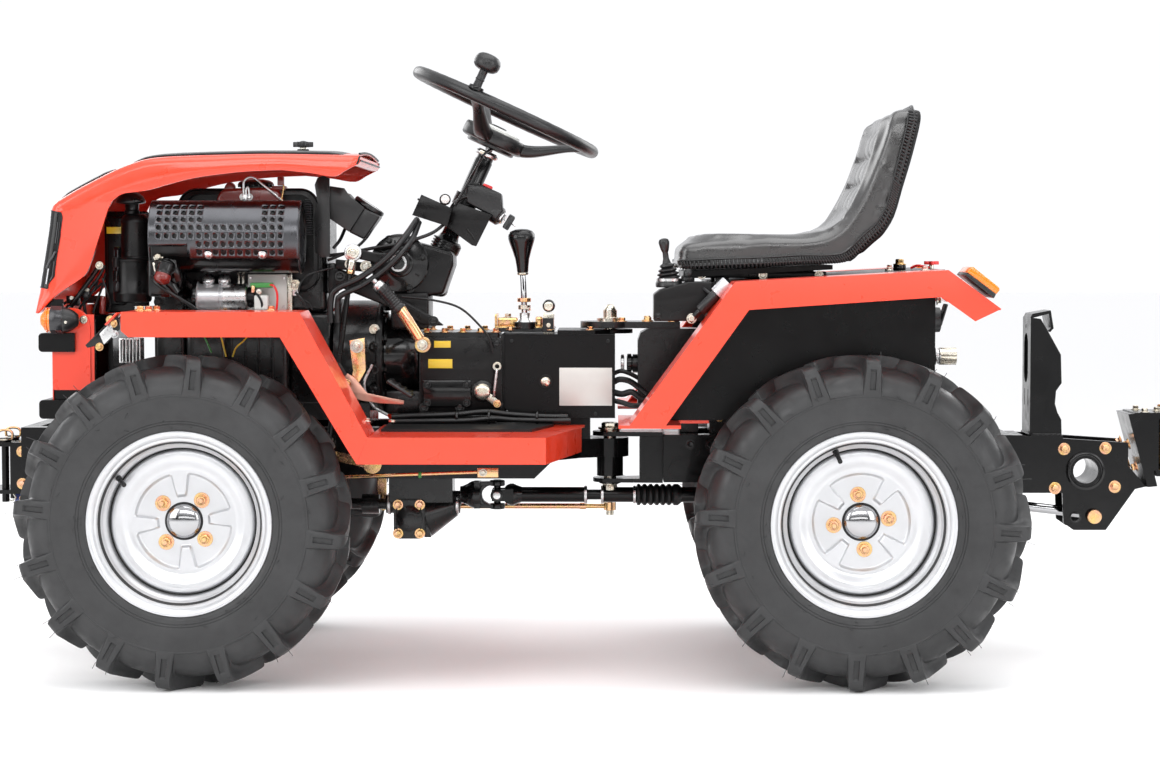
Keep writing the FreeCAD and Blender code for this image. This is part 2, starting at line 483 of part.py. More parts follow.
# ============================ STEERING WHEEL ===============================
tor = Part.makeTorus(STEER_R, 12.5, V(0, 0, 0), V(0, 0, 1))
hubw = fuse(cyl((0, 0, -72), (0, 0, -44), 64), cyl((0, 0, -80), (0, 0, -72), 50), cyl((0, 0, -122), (0, 0, -80), 8),
            cyl((0, 0, -44), (0, 0, -36), 46))
spk = []
for a in (0, 109, 251):
    s = pr([(48, -70), (48, -47), (176, 5), (188, 0), (184, -10), (150, -22), (66, -70)], "xz", -13, 13)
    s.rotate(V(0, 0, 0), V(0, 0, 1), a)
    spk.append(s)
sw = fuse(tor, hubw, *spk)
ang = math.degrees(math.atan2(COL_N[0], COL_N[1]))
sw.rotate(V(0, 0, 0), V(0, 1, 0), ang)
sw.translate(V(cxx, 0, czz))
u, v = -62.0, -181.0
post = fuse(cyl((u, v, 8), (u, v, 44), 9), cone((u, v, 40), (u, v, 62), 15, 25), cone((u, v, 62), (u, v, 84), 25, 14))
post.rotate(V(0, 0, 0), V(0, 1, 0), ang)
post.translate(V(cxx, 0, czz))
post = post.cut(sw)
out("steering_wheel", fuse(sw, post))

# ============================ DRIVE SHAFT ==================================
sf = fuse(cyl((-200, 0, SHAFT_Z), (-46, 0, SHAFT_Z), 15.5), bx(-212, -196, -24, 24, SHAFT_Z - 13, SHAFT_Z + 13),
          bx(-240, -196, 16, 24, SHAFT_Z - 12, SHAFT_Z + 12), bx(-240, -196, -24, -16, SHAFT_Z - 12, SHAFT_Z + 12),
          cyl((-SHAFT_D, -18, SHAFT_Z), (-SHAFT_D, 18, SHAFT_Z), 7), cyl((-SHAFT_D, 0, SHAFT_Z - 26), (-SHAFT_D, 0, SHAFT_Z + 26), 7),
          cyl((-52, 0, SHAFT_Z), (-46, 0, SHAFT_Z), 17.5))
sf = sf.cut(cyl((-190, 0, SHAFT_Z), (-40, 0, SHAFT_Z), 11.0))
out("shaft_front", sf)
D = SHAFT_D
sr = fuse(cyl((-150, 0, SHAFT_Z), (100, 0, SHAFT_Z), 10.5), cyl((-18, 0, SHAFT_Z), (200, 0, SHAFT_Z), 15.5),
          cyl((-18, 0, SHAFT_Z), (-12, 0, SHAFT_Z), 17.5), bx(196, 212, -24, 24, SHAFT_Z - 13, SHAFT_Z + 13),
          bx(196, 240, 16, 24, SHAFT_Z - 12, SHAFT_Z + 12), bx(196, 240, -24, -16, SHAFT_Z - 12, SHAFT_Z + 12),
          cyl((D, -18, SHAFT_Z), (D, 18, SHAFT_Z), 7), cyl((D, 0, SHAFT_Z - 26), (D, 0, SHAFT_Z + 26), 7))
out("shaft_rear", sr)
pts = [(15.5, 0), (22, 3)]
n = 7
x = 3.0
seg = (146.0 - 53.0 - 6.0) / n
for k in range(n):
    pts += [(22, x + seg * 0.35), (17.5, x + seg * 0.65)] if k < n - 1 else [(22, x + seg * 0.6)]
    if k < n - 1:
        pts += [(22, x + seg)]
    x += seg
pts += [(15.5, 93.0)]
vs = [V(53 + p[1], 0, SHAFT_Z + p[0]) for p in pts]
bel = Part.Face(Part.makePolygon(vs + [vs[0]])).revolve(V(0, 0, SHAFT_Z), V(1, 0, 0), 360)
out("shaft_bellows", bel)
strod = fuse(cyl((BELL_X, ROD_Y, ROD_Z), (-62, ROD_Y, ROD_Z), 5.6), cyl((-62, ROD_Y, ROD_Z), (-50, ROD_Y, ROD_Z), 7),
             cyl((-50, ROD_Y, ROD_Z), (-6, ROD_Y, ROD_Z), 5.0), cyl((0, ROD_Y, ROD_Z - 8), (0, ROD_Y, ROD_Z + 8), 12.5),
             cyl((BELL_X, ROD_Y - 6, ROD_Z), (BELL_X, ROD_Y + 4, ROD_Z), 9))
strod = strod.cut(cyl((0, ROD_Y, 250), (0, ROD_Y, 340), 5.05))
out("steering_rod", strod)

# ============================ REAR HALF ====================================
# --- pivot fork, frame tubes, axle
ear_u = fuse(pr([(0, -35), (107, -44), (107, 44), (0, 35)], "xy", 450, 459), cyl((0, 0, 450), (0, 0, 459), 35))
ear_l = fuse(pr([(0, -35), (107, -44), (107, 44), (0, 35)], "xy", 356, 364), cyl((0, 0, 356), (0, 0, 364), 35),
             pr([(-12, 20), (-12, ROD_Y), (12, ROD_Y), (40, 20)], "xy", 356, 364), cyl((0, ROD_Y, 356), (0, ROD_Y, 364), 13))
fork = fuse(ear_u, ear_l, bx(60, 107, -44, 44, 364, 450), bx(107, 140, -120, 120, 364, 459))
fork = fork.cut(cyl((0, 0, 340), (0, 0, 470), PIN_LOW_R)).cut(cyl((0, ROD_Y, 340), (0, ROD_Y, 370), 5.0))
fork = fork.cut(bx(60, 100, -50, 50, 366, 440).common(bx(60, 100, -20, 20, 366, 440)))
rtub = [bx(140, 800, s, s + 40, 364, 459) for s in (-120, 80)]
rcr = [bx(380, 420, -80, 80, 380, 459), bx(560, 600, -80, 80, 380, 459), bx(770, 800, -80, 80, 364, 459)]
rfr = fuse(fork, *rtub, *rcr)
pl = fuse(cyl((0, 0, 350), (0, 0, 466), PIN_LOW_R), cyl((0, 0, 459), (0, 0, 466), 20), cyl((0, 0, 350), (0, 0, 356), 17))
pt = fuse(cyl((0, 0, 659), (0, 0, 700), PIN_TOP_R), cyl((0, 0, 682), (0, 0, 688), 27), cyl((0, 0, 688), (0, 0, 704), 14),
          Part.makeSphere(12, V(0, 0, 704)))
ps = fuse(cyl((0, ROD_Y, ROD_Z - 12), (0, ROD_Y, 364), 5.0), cyl((0, ROD_Y, ROD_Z - 18), (0, ROD_Y, ROD_Z - 9), 8))
out("pivot_pins", pl, pt, ps)
raxle = cyl((REAR_AXLE_X, -318, WHEEL_R), (REAR_AXLE_X, 318, WHEEL_R), 33.0)
hub_r = [cyl((REAR_AXLE_X, s * 302, WHEEL_R), (REAR_AXLE_X, s * 318, WHEEL_R), 46.0) for s in (-1, 1)]
rdiff = Part.makeSphere(92, V(REAR_AXLE_X, 0, WHEEL_R)).cut(bx(300, 600, -100, 100, 364, 500))
rnose = fuse(cone((REAR_AXLE_X - 145, 0, SHAFT_Z - 4), (REAR_AXLE_X - 70, 0, 318), 32, 55), cyl((285, 0, SHAFT_Z), (330, 0, SHAFT_Z), 24))
rseat = [bx(REAR_AXLE_X - 38, REAR_AXLE_X + 38, s, s + 24, 330, 364) for s in (-112, 88)]
rax = fuse(raxle, *hub_r, rdiff, rnose, *rseat)
for s in (-1, 1):
    rax = rax.cut(cyl((REAR_AXLE_X, s * 250, WHEEL_R), (REAR_AXLE_X, s * 330, WHEEL_R), 20.05))
ry = fuse(cyl((266, 0, SHAFT_Z), (285, 0, SHAFT_Z), 17), bx(264, 276, -22, 22, SHAFT_Z - 27, SHAFT_Z + 27),
          rbx(214, 276, -13, 13, SHAFT_Z + 19, SHAFT_Z + 27, 3), rbx(214, 276, -13, 13, SHAFT_Z - 27, SHAFT_Z - 19, 3))
ry = ry.cut(cyl((D, 0, 290), (D, 0, 370), 7.05))
out("rear_axle", fuse(rax, ry))

# --- rear gear casing on the frame, shaft stub forward, power take-off aft
rb = pr([(56, 510), (177, 510), (177, 668), (78, 668), (62, 660), (56, 644)], "xz", -50, 50)
rb = fuse(rb, bx(140, 178, -50, 50, 459, 510))
rb = fuse(rb, bx(176, 640, -70, 70, 480, 660), bx(200, 620, -60, 60, 459, 480))
st2 = fuse(cyl((34, 0, PTO_Z - 15), (56, 0, PTO_Z - 15), 15), cyl((46, 0, PTO_Z - 15), (56, 0, PTO_Z - 15), 19))
pto = fuse(cyl((640, 0, PTO_Z), (703, 0, PTO_Z), PTO_R), cyl((640, 0, PTO_Z), (650, 0, PTO_Z), 30))
out("pto_shaft", pto)
tp = pr([(0, -52), (141, -52), (141, 52), (0, 52)], "xy", 669, 682)
tp = fuse(tp, cyl((0, 0, 669), (0, 0, 682), 60), bx(80, 141, -50, 50, 668, 669))
tp = tp.cut(cyl((0, 0, 640), (0, 0, 700), PIN_TOP_R))
out("rear_casing", fuse(rb, st2, tp))

# --- deck, side panels, fenders, seat and console
dk = pr([(196, 764), (640, 789), (640, 785), (196, 760)], "xz", -300, 300)
dk = fuse(dk, bx(196, 200, -300, 300, 660, 762), bx(618, 622, -300, 300, 500, 787).cut(bx(600, 640, -75, 75, 490, 665)))
SPP = [(90, 500), (622, 500), (622, 785), (232, 764), (196, 700)]
sdp = pr(SPP, "xz", -303, -300)
RT = [(37, 500), (232, 767), (627, 789), (725, 717), (722.5, 714.5), (626, 785.8), (233.6, 764), (41, 500)]
rtop = pr(RT, "xz", -HALF_BODY, -303)
RFL = [(37, 500), (232, 767), (627, 789), (725, 717), (677, 694), (614, 739), (258, 715), (104, 500)]
rfl = pr(RFL, "xz", -HALF_BODY, -HALF_BODY + SHEET)
rfen = fuse(rtop, rfl)
fl = pr([(10, 490), (132, 490), (132, 500), (10, 500)], "xz", -HALF_BODY, -150)
fl = fuse(bx(16, 132, -HALF_BODY, -150, 494, 500))
fl = fuse(fl, bx(90, 130, -150, -50, 494, 500), bx(132, 190, -303, -72, 494, 500))
out("rear_fenders", fuse(rfen, fl), fuse(mir(rfen), mir(fl)))
tl = []
for s in (-1, 1):
    y0, y1 = sorted((s * (HALF_BODY - 8), s * 345))
    b = pr([(648, 776), (660, 792), (721, 747), (712, 728)], "xz", y0, y1)
    tl.append(b.cut(rtop).cut(mir(rtop)))
out("tail_lamps", *tl)
cs = rbx(84, 196, -299.5, -190, 690, 764, 6, (0, 0, 1))
js = fuse(cone((112, -254, 764), (112, -254, 800), 21, 9), cyl((112, -254, 796), (107, -254, 843), 6), Part.makeSphere(10, V(107, -254, 842)))
out("console", fuse(cs, js))
sbp = pr([(144, 772), (435, 788), (435, 797), (144, 785)], "xz", -190, 190)
sbp = fuse(sbp, *[bx(x0, x0 + 24, y0, y0 + 24, 755, 784) for x0 in (210, 380) for y0 in (-150, 126)])
sbp = sbp.cut(dk)
out("rear_deck", fuse(dk, sdp, mir(sdp), sbp).cut(fuse(rb, st2, tp)).cut(pto))
SEAT = [(128, 790), (134, 838), (160, 850), (200, 853), (388, 853), (420, 864), (442, 884), (460, 929), (487, 1028),
        (503, 1061), (526, 1096), (560, 1107), (592, 1104), (597, 1090), (590, 1040), (570, 983), (547, 898), (530, 868),
        (502, 838), (466, 806), (436, 798), (306, 790), (160, 786)]
sc = pr(SEAT, "xz", -232, 232)
sc = sc.cut(sbp)
out("seat_cushion", sc)

# --- rear hitch: frame plates, upright, rocker with clevis, lift cylinder
hpl = pr([(800, 338.6), (1040, 338.6), (1040, 440), (810, 455), (800, 455)], "xz", -66, -56)
hpl = hpl.fuse(cyl((HITCH_X, -70, HITCH_Z), (HITCH_X, -56, HITCH_Z), 37)).cut(cyl((HITCH_X, -80, HITCH_Z), (HITCH_X, -40, HITCH_Z), 30.05))
hcr = bx(800, 830, -66, 66, 356, 455)
hf = fuse(hpl, mir(hpl), hcr)
UPP = [(851, 455), (909, 455), (908, 485), (900, 500), (895, 517), (897, 543), (908, 559), (906, 616), (881, 661), (865, 688), (851, 690)]
upb = fuse(bx(845, 851, -50, 50, 455, 690), pr(UPP, "xz", -50, -44), pr(UPP, "xz", 44, 50), bx(845, 909, -66, 66, 447, 455),
           pr([(845, 690), (849, 698), (886, 705), (892, 669), (885, 661), (880, 664), (887, 670), (882, 698), (851, 690)], "xz", -44, 44))
upb = upb.cut(fuse(bx(840, 856, -18, 30, 582, 634), cyl((840, 6, 582), (856, 6, 582), 24), cyl((840, 6, 634), (856, 6, 634), 24))).cut(hf)
for y in (-22, 18):
    upb = upb.cut(bx(840, 856, y - 3, y + 3, 512, 545))
upb = upb.cut(cyl((840, 10, 672), (856, 10, 672), 4))
out("hitch_frame", fuse(hf, upb))
RK = [(912, 338), (905, 383), (930, 425), (1000, 430), (1052, 372), (1058, 345), (1000, 262), (935, 262), (915, 276)]
rk = pr(RK, "xz", -48, -40)
rk = fuse(rk, mir(rk), cyl((HITCH_X, -70, HITCH_Z), (HITCH_X, 70, HITCH_Z), 30),
          pr([(1000, 425), (1012, 430), (1080, 350), (1058, 345)], "xz", -48, 48))
rk = rk.cut(cyl((HITCH_X, -100, HITCH_Z), (HITCH_X, 100, HITCH_Z), HITCH_BORE_R))
rk = fuse(rk, cyl((EYE_X, -54, EYE_Z), (EYE_X, 54, EYE_Z), 10), cyl((EYE_X, -54, EYE_Z), (EYE_X, -48, EYE_Z), 13), cyl((EYE_X, 48, EYE_Z), (EYE_X, 54, EYE_Z), 13))
for s in (-1, 1):
    rk = rk.cut(cyl((938.7, min(s * 60, s * 30), 288.5), (938.7, max(s * 60, s * 30), 288.5), 9))
out("hitch_rocker", rk)
tb = pr([(1040, 497), (1062, 499), (1100, 352), (1080, 350)], "xz", -62, 62)
tb = fuse(tb, bx(1053, 1150, -62, 62, 488, 500), bx(1098, 1150, -62, 62, 372, 384), pr([(1062, 488), (1102, 488), (1102, 384), (1092, 384)], "xz", -62, -52),
          pr([(1062, 488), (1102, 488), (1102, 384), (1092, 384)], "xz", 52, 62))
for y in (-30, 30):
    tb = tb.cut(cyl((1128, y, 360), (1128, y, 510), 8.0))
tb = tb.cut(rk)
hpn = []
for y in (-30, 30):
    hpn.append(fuse(cyl((1128, y, 366), (1128, y, 507), 7.5), cyl((1128, y, 500), (1128, y, 507), 13)))
out("hitch_clevis", fuse(tb, *hpn))
cd = V(EYE_X - CYL_X, 0, EYE_Z - CYL_Z)
LC = cd.Length
cd.normalize()


def oc(t, y=0):
    return (CYL_X + cd.x * t, y, CYL_Z + cd.z * t)


lc = fuse(cyl(oc(14), oc(222), 21), cyl((CYL_X, -16, CYL_Z), (CYL_X, 16, CYL_Z), 18))
lc = lc.cut(cyl((CYL_X, -30, CYL_Z), (CYL_X, 30, CYL_Z), 9.05)).cut(cyl(oc(40), oc(230), 10.05))
out("lift_cylinder", lc)
lr = fuse(cyl(oc(110), oc(LC - 12), 10), cyl((EYE_X, -14, EYE_Z), (EYE_X, 14, EYE_Z), 20))
lr = lr.cut(cyl((EYE_X, -30, EYE_Z), (EYE_X, 30, EYE_Z), 14))
out("lift_rod", lr)
ck = fuse(bx(596, 648, -34, -24, 300, 400), bx(596, 648, 24, 34, 300, 400), bx(596, 648, -80, 80, 392, 404),
          cyl((CYL_X, -34, CYL_Z), (CYL_X, 34, CYL_Z), 9))
ck = ck.cut(rfr)
out("rear_frame", fuse(rfr, ck))

print("low", [round(a, 1) for a in LOW], "high", [round(a, 1) for a in HIGH])
print("centre", [round((a + b) / 2, 2) for a, b in zip(LOW, HIGH)])
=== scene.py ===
import bpy
import bmesh
import json
import math
import random
from mathutils import Vector, Matrix


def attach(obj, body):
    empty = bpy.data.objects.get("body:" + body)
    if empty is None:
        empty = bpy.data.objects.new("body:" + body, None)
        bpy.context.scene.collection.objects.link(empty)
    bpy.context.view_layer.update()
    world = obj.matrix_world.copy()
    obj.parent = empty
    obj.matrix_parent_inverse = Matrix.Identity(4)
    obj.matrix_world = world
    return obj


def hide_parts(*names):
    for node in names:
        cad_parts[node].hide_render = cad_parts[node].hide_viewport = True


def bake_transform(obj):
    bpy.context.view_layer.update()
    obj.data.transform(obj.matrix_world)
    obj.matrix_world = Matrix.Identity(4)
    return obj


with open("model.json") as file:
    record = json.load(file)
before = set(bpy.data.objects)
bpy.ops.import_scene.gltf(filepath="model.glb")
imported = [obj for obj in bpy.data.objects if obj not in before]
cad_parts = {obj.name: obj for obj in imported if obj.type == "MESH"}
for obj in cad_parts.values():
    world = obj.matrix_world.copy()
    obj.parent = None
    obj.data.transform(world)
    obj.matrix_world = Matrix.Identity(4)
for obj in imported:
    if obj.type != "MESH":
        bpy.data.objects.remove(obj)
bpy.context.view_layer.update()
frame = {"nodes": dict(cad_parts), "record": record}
R = random.Random(7)

# ---------------------------------------------------------------------------
# Lengths below are millimetres about the articulation pin, as in the CAD:
# +X to the rear, -Y to the machine's left, +Z up. PX brings them to the row frame.
# ---------------------------------------------------------------------------
PX = 70.0
pi = math.pi


def W(p):
    return Vector(((p[0] + PX) / 1000.0, p[1] / 1000.0, p[2] / 1000.0))


def V3(p):
    return Vector(p)


# ============================ MATERIALS ====================================
MATS = {}


def material(name, base, rough=0.4, metal=0.0, coat=0.0, coat_rough=0.04, var=0.06, scale=9.0, rvar=0.06,
             bump=0.05, bscale=260.0, bdist=0.0004, spec=0.5, sheen=0.0, second=None, smudge=0.0, edge=0.0,
             kind="noise", aniso=0.0, emit=0.0):
    m = bpy.data.materials.new(name)
    m.use_nodes = True
    nt = m.node_tree
    nd, ln = nt.nodes, nt.links
    nd.clear()
    out = nd.new("ShaderNodeOutputMaterial")
    b = nd.new("ShaderNodeBsdfPrincipled")
    ln.new(b.outputs[0], out.inputs[0])
    b.inputs["Metallic"].default_value = metal
    b.inputs["Coat Weight"].default_value = coat
    b.inputs["Coat Roughness"].default_value = coat_rough
    b.inputs["Specular IOR Level"].default_value = spec
    b.inputs["Sheen Weight"].default_value = sheen
    b.inputs["Anisotropic"].default_value = aniso
    tc = nd.new("ShaderNodeTexCoord")
    n1 = nd.new("ShaderNodeTexNoise")
    n1.inputs["Scale"].default_value = scale
    n1.inputs["Detail"].default_value = 5.0
    n1.inputs["Roughness"].default_value = 0.6
    ln.new(tc.outputs["Object"], n1.inputs["Vector"])
    cr = nd.new("ShaderNodeValToRGB")
    lo = [max(0.0, c * (1 - var)) for c in base]
    hi = [min(1.0, c * (1 + var)) for c in base]
    if second:
        hi = list(second)
    cr.color_ramp.elements[0].position = 0.32
    cr.color_ramp.elements[0].color = (*lo, 1)
    cr.color_ramp.elements[1].position = 0.68
    cr.color_ramp.elements[1].color = (*hi, 1)
    ln.new(n1.outputs["Fac"], cr.inputs[0])
    ln.new(cr.outputs[0], b.inputs["Base Color"])
    # roughness: broad wipe marks over fine variation
    n2 = nd.new("ShaderNodeTexNoise")
    n2.inputs["Scale"].default_value = scale * 3.1
    n2.inputs["Detail"].default_value = 6.0
    n2.inputs["Distortion"].default_value = 0.6
    ln.new(tc.outputs["Object"], n2.inputs["Vector"])
    mr = nd.new("ShaderNodeMapRange")
    mr.inputs["From Min"].default_value = 0.3
    mr.inputs["From Max"].default_value = 0.7
    mr.inputs["To Min"].default_value = max(0.02, rough - rvar)
    mr.inputs["To Max"].default_value = min(1.0, rough + rvar + smudge)
    ln.new(n2.outputs["Fac"], mr.inputs["Value"])
    ln.new(mr.outputs[0], b.inputs["Roughness"])
    normal = None
    if edge > 0:
        bv = nd.new("ShaderNodeBevel")
        bv.samples = 3
        bv.inputs["Radius"].default_value = edge
        normal = bv.outputs[0]
    if bump > 0:
        if kind == "grain":      # leather grain
            t = nd.new("ShaderNodeTexVoronoi")
            t.feature = "SMOOTH_F1"
            t.inputs["Scale"].default_value = bscale
            ln.new(tc.outputs["Object"], t.inputs["Vector"])
            h = t.outputs["Distance"]
        elif kind == "cast":     # sand-cast skin
            t = nd.new("ShaderNodeTexNoise")
            t.inputs["Scale"].default_value = bscale
            t.inputs["Detail"].default_value = 8.0
            t.inputs["Roughness"].default_value = 0.75
            ln.new(tc.outputs["Object"], t.inputs["Vector"])
            h = t.outputs["Fac"]
        else:
            t = nd.new("ShaderNodeTexNoise")
            t.inputs["Scale"].default_value = bscale
            t.inputs["Detail"].default_value = 3.0
            ln.new(tc.outputs["Object"], t.inputs["Vector"])
            h = t.outputs["Fac"]
        bp = nd.new("ShaderNodeBump")
        bp.inputs["Strength"].default_value = bump
        bp.inputs["Distance"].default_value = bdist
        ln.new(h, bp.inputs["Height"])
        if normal is not None:
            ln.new(normal, bp.inputs["Normal"])
        normal = bp.outputs[0]
    if normal is not None:
        ln.new(normal, b.inputs["Normal"])
    MATS[name] = m
    return m


material("red_paint", (0.81, 0.046, 0.014), rough=0.30, coat=0.55, coat_rough=0.08, var=0.03, rvar=0.04, bump=0.10,
         bscale=420, bdist=0.00015, smudge=0.05)
material("red_paint_cad", (0.81, 0.046, 0.014), rough=0.30, coat=0.55, coat_rough=0.08, var=0.03, rvar=0.04, bump=0.10,
         bscale=420, bdist=0.00015, smudge=0.05, edge=0.0016)
material("gloss_black", (0.0035, 0.0034, 0.0036), rough=0.17, coat=0.25, coat_rough=0.06, spec=0.30, var=0.15, rvar=0.05, bump=0.12,
         bscale=300, bdist=0.0002, smudge=0.08)
material("gloss_black_cad", (0.0030, 0.0029, 0.0031), rough=0.17, coat=0.12, coat_rough=0.06, spec=0.20, var=0.15, rvar=0.05,
         bump=0.12, bscale=300, bdist=0.0002, smudge=0.08, edge=0.0018)
material("satin_black", (0.0042, 0.0040, 0.0042), rough=0.30, coat=0.05, spec=0.24, var=0.2, rvar=0.08, bump=0.18, bscale=700,
         bdist=0.0002, smudge=0.06)
material("satin_black_cad", (0.0036, 0.0034, 0.0036), rough=0.30, coat=0.04, spec=0.17, var=0.2, rvar=0.08, bump=0.18, bscale=700,
         bdist=0.0002, smudge=0.06, edge=0.0018)
material("cast_black", (0.0040, 0.0038, 0.0040), rough=0.24, coat=0.25, coat_rough=0.12, spec=0.32, var=0.2, rvar=0.07, bump=0.5,
         bscale=170, bdist=0.0007, kind="cast", smudge=0.08)
material("cast_black_cad", (0.0040, 0.0038, 0.0040), rough=0.24, coat=0.25, coat_rough=0.12, spec=0.32, var=0.2, rvar=0.07,
         bump=0.5, bscale=170, bdist=0.0007, kind="cast", smudge=0.08, edge=0.004)
material("muffler_grey", (0.024, 0.024, 0.027), rough=0.30, metal=0.35, coat=0.35, coat_rough=0.15, var=0.15, rvar=0.06,
         bump=0.2, bscale=420, bdist=0.0002)
material("shield_metal", (0.085, 0.086, 0.092), rough=0.24, metal=1.0, var=0.08, rvar=0.05, bump=0.14,
         bscale=520, bdist=0.00015, smudge=0.03)
material("silver_paint", (0.60, 0.605, 0.62), rough=0.34, metal=0.72, coat=0.25, coat_rough=0.15, var=0.05, rvar=0.06,
         bump=0.12, bscale=900, bdist=0.00012, smudge=0.04)
material("tyre_rubber", (0.0235, 0.0236, 0.0244), rough=0.43, var=0.22, scale=14, rvar=0.10, bump=0.35, bscale=520,
         bdist=0.0003, smudge=0.12, spec=0.46)
material("rubber", (0.007, 0.007, 0.0075), rough=0.42, spec=0.35, var=0.2, rvar=0.08, bump=0.25, bscale=600, bdist=0.0003)
material("hose", (0.006, 0.006, 0.0065), rough=0.34, spec=0.4, var=0.2, rvar=0.1, bump=0.3, bscale=900, bdist=0.0002)
material("yellow_zinc", (0.80, 0.56, 0.20), rough=0.24, metal=1.0, var=0.1, scale=60, rvar=0.08, bump=0.1, bscale=500,
         bdist=0.0001, second=(0.80, 0.42, 0.30))
material("bright_zinc", (0.62, 0.61, 0.57), rough=0.27, metal=1.0, var=0.12, scale=40, rvar=0.09, bump=0.12, bscale=500,
         bdist=0.0001, second=(0.72, 0.64, 0.50))
material("steel", (0.62, 0.62, 0.62), rough=0.3, metal=1.0, var=0.1, scale=40, rvar=0.1, bump=0.1, bscale=600, bdist=0.0001)
material("chrome_rod", (0.44, 0.44, 0.45), rough=0.10, metal=1.0, var=0.04, rvar=0.03, bump=0.03, bscale=600, bdist=0.00005)
material("amber", (0.90, 0.20, 0.012), rough=0.16, coat=0.6, var=0.12, rvar=0.04, bump=0.5, bscale=330, bdist=0.0006, kind="grain")
material("lens_red", (0.70, 0.02, 0.012), rough=0.16, coat=0.6, var=0.12, rvar=0.04, bump=0.4, bscale=330, bdist=0.0006, kind="grain")
material("lens_clear", (0.62, 0.60, 0.58), rough=0.14, coat=0.6, var=0.12, rvar=0.04, bump=0.4, bscale=330, bdist=0.0006, kind="grain")
material("vinyl", (0.0125, 0.0118, 0.0116), rough=0.26, coat=0.5, coat_rough=0.24, spec=0.85, var=0.15, rvar=0.06, bump=0.34, bscale=520,
         bdist=0.0005, kind="grain", smudge=0.05)
material("soft_black", (0.0075, 0.0075, 0.008), rough=0.33, spec=0.5, var=0.15, rvar=0.07, bump=0.3, bscale=800, bdist=0.0003, kind="grain")
# near-black that paints shade into gaps, slots and holes; also the ink of the dial ticks and dark joint lines
material("black_void", (0.0015, 0.0015, 0.0015), rough=0.6, var=0.3, rvar=0.1, bump=0.1)
material("dial_white", (0.72, 0.72, 0.70), rough=0.35, var=0.03, rvar=0.04, bump=0.02)
material("label_yellow", (0.80, 0.56, 0.03), rough=0.35, coat=0.4, var=0.05, rvar=0.05, bump=0.05)
material("label_pale", (0.62, 0.63, 0.60), rough=0.36, metal=0.15, coat=0.3, var=0.05, rvar=0.05, bump=0.05)
material("brass", (0.66, 0.45, 0.20), rough=0.25, metal=1.0, var=0.1, scale=50, rvar=0.08, bump=0.08, bscale=400, bdist=0.0001)
material("copper_pink", (0.50, 0.27, 0.21), rough=0.36, metal=1.0, var=0.1, scale=30, rvar=0.08, bump=0.08, bscale=400, bdist=0.0001)
material("blue_paint", (0.02, 0.035, 0.20), rough=0.3, coat=0.3, var=0.1, rvar=0.05, bump=0.1)
material("cable_yellow", (0.72, 0.52, 0.03), rough=0.4, var=0.08, rvar=0.05, bump=0.1)
material("cable_green", (0.05, 0.28, 0.06), rough=0.4, var=0.08, rvar=0.05, bump=0.1)
material("button_red", (0.75, 0.02, 0.02), rough=0.28, coat=0.3, var=0.05, rvar=0.04, bump=0.05)
material("dark_red", (0.16, 0.010, 0.006), rough=0.28, coat=0.5, coat_rough=0.1, var=0.1, rvar=0.05, bump=0.1, bscale=300,
         bdist=0.0002)


# ============================ MESH TOOLS ===================================
def basis(d):
    d = V3(d).normalized()
    a = Vector((0, 0, 1)) if abs(d.z) < 0.9 else Vector((0, 1, 0))
    u = a.cross(d).normalized()
    v = d.cross(u).normalized()
    return u, v, d


class Piece:
    """Collects shells in millimetres and makes one object of them, with one material a shell."""

    def __init__(self, name, body, mat):
        self.name, self.body, self.mats = name, body, [mat]
        self.v, self.f, self.m = [], [], []

    def mi(self, mat):
        if mat is None:
            return 0
        if mat not in self.mats:
            self.mats.append(mat)
        return self.mats.index(mat)

    def add(self, vf, mat=None):
        vs, fs = vf
        n = len(self.v)
        k = self.mi(mat)
        self.v += [tuple(p) for p in vs]
        for f in fs:
            self.f.append(tuple(i + n for i in f))
            self.m.append(k)
        return self

    def make(self, replaces=(), sharp=34.0, extra=None, away=None):
        me = bpy.data.meshes.new(self.name)
        me.from_pydata([W(p) for p in self.v], [], self.f)
        for m in self.mats:
            me.materials.append(MATS[m])
        me.polygons.foreach_set("material_index", self.m)
        bm = bmesh.new()
        bm.from_mesh(me)
        bmesh.ops.recalc_face_normals(bm, faces=bm.faces)
        if away is not None:
            c = Vector(W(away))
            if sum(f.normal.dot(f.calc_center_median() - c) * f.calc_area() for f in bm.faces) < 0:
                bmesh.ops.reverse_faces(bm, faces=bm.faces)
        bm.to_mesh(me)
        bm.free()
        me.polygons.foreach_set("use_smooth", [True] * len(me.polygons))
        me.set_sharp_from_angle(angle=math.radians(sharp))
        me.update()
        o = bpy.data.objects.new(self.name, me)
        bpy.context.scene.collection.objects.link(o)
        if extra:
            extra(o)
        if isinstance(self.body, str):
            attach(o, self.body)
        else:
            W(self.body[2])
            W(self.body[3])
            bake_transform(o)
        if replaces:
            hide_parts(*replaces)
        return o


def from_bm(bm):
    bm.verts.ensure_lookup_table()
    bm.verts.index_update()
    vs = [v.co.copy() for v in bm.verts]
    fs = [tuple(v.index for v in f.verts) for f in bm.faces]
    bm.free()
    return vs, fs


def bevelled(vs, fs, bev, seg=2, angle=25.0):
    bm = bmesh.new()
    bv = [bm.verts.new(p) for p in vs]
    for f in fs:
        try:
            bm.faces.new([bv[i] for i in f])
        except ValueError:
            pass
    bmesh.ops.recalc_face_normals(bm, faces=bm.faces)
    if bev > 0:
        es = [e for e in bm.edges if len(e.link_faces) == 2 and e.calc_face_angle(0) > math.radians(angle)]
        bmesh.ops.bevel(bm, geom=es, offset=bev, offset_type="OFFSET", segments=seg, profile=0.5, affect="EDGES",
                        clamp_overlap=True)
    return from_bm(bm)


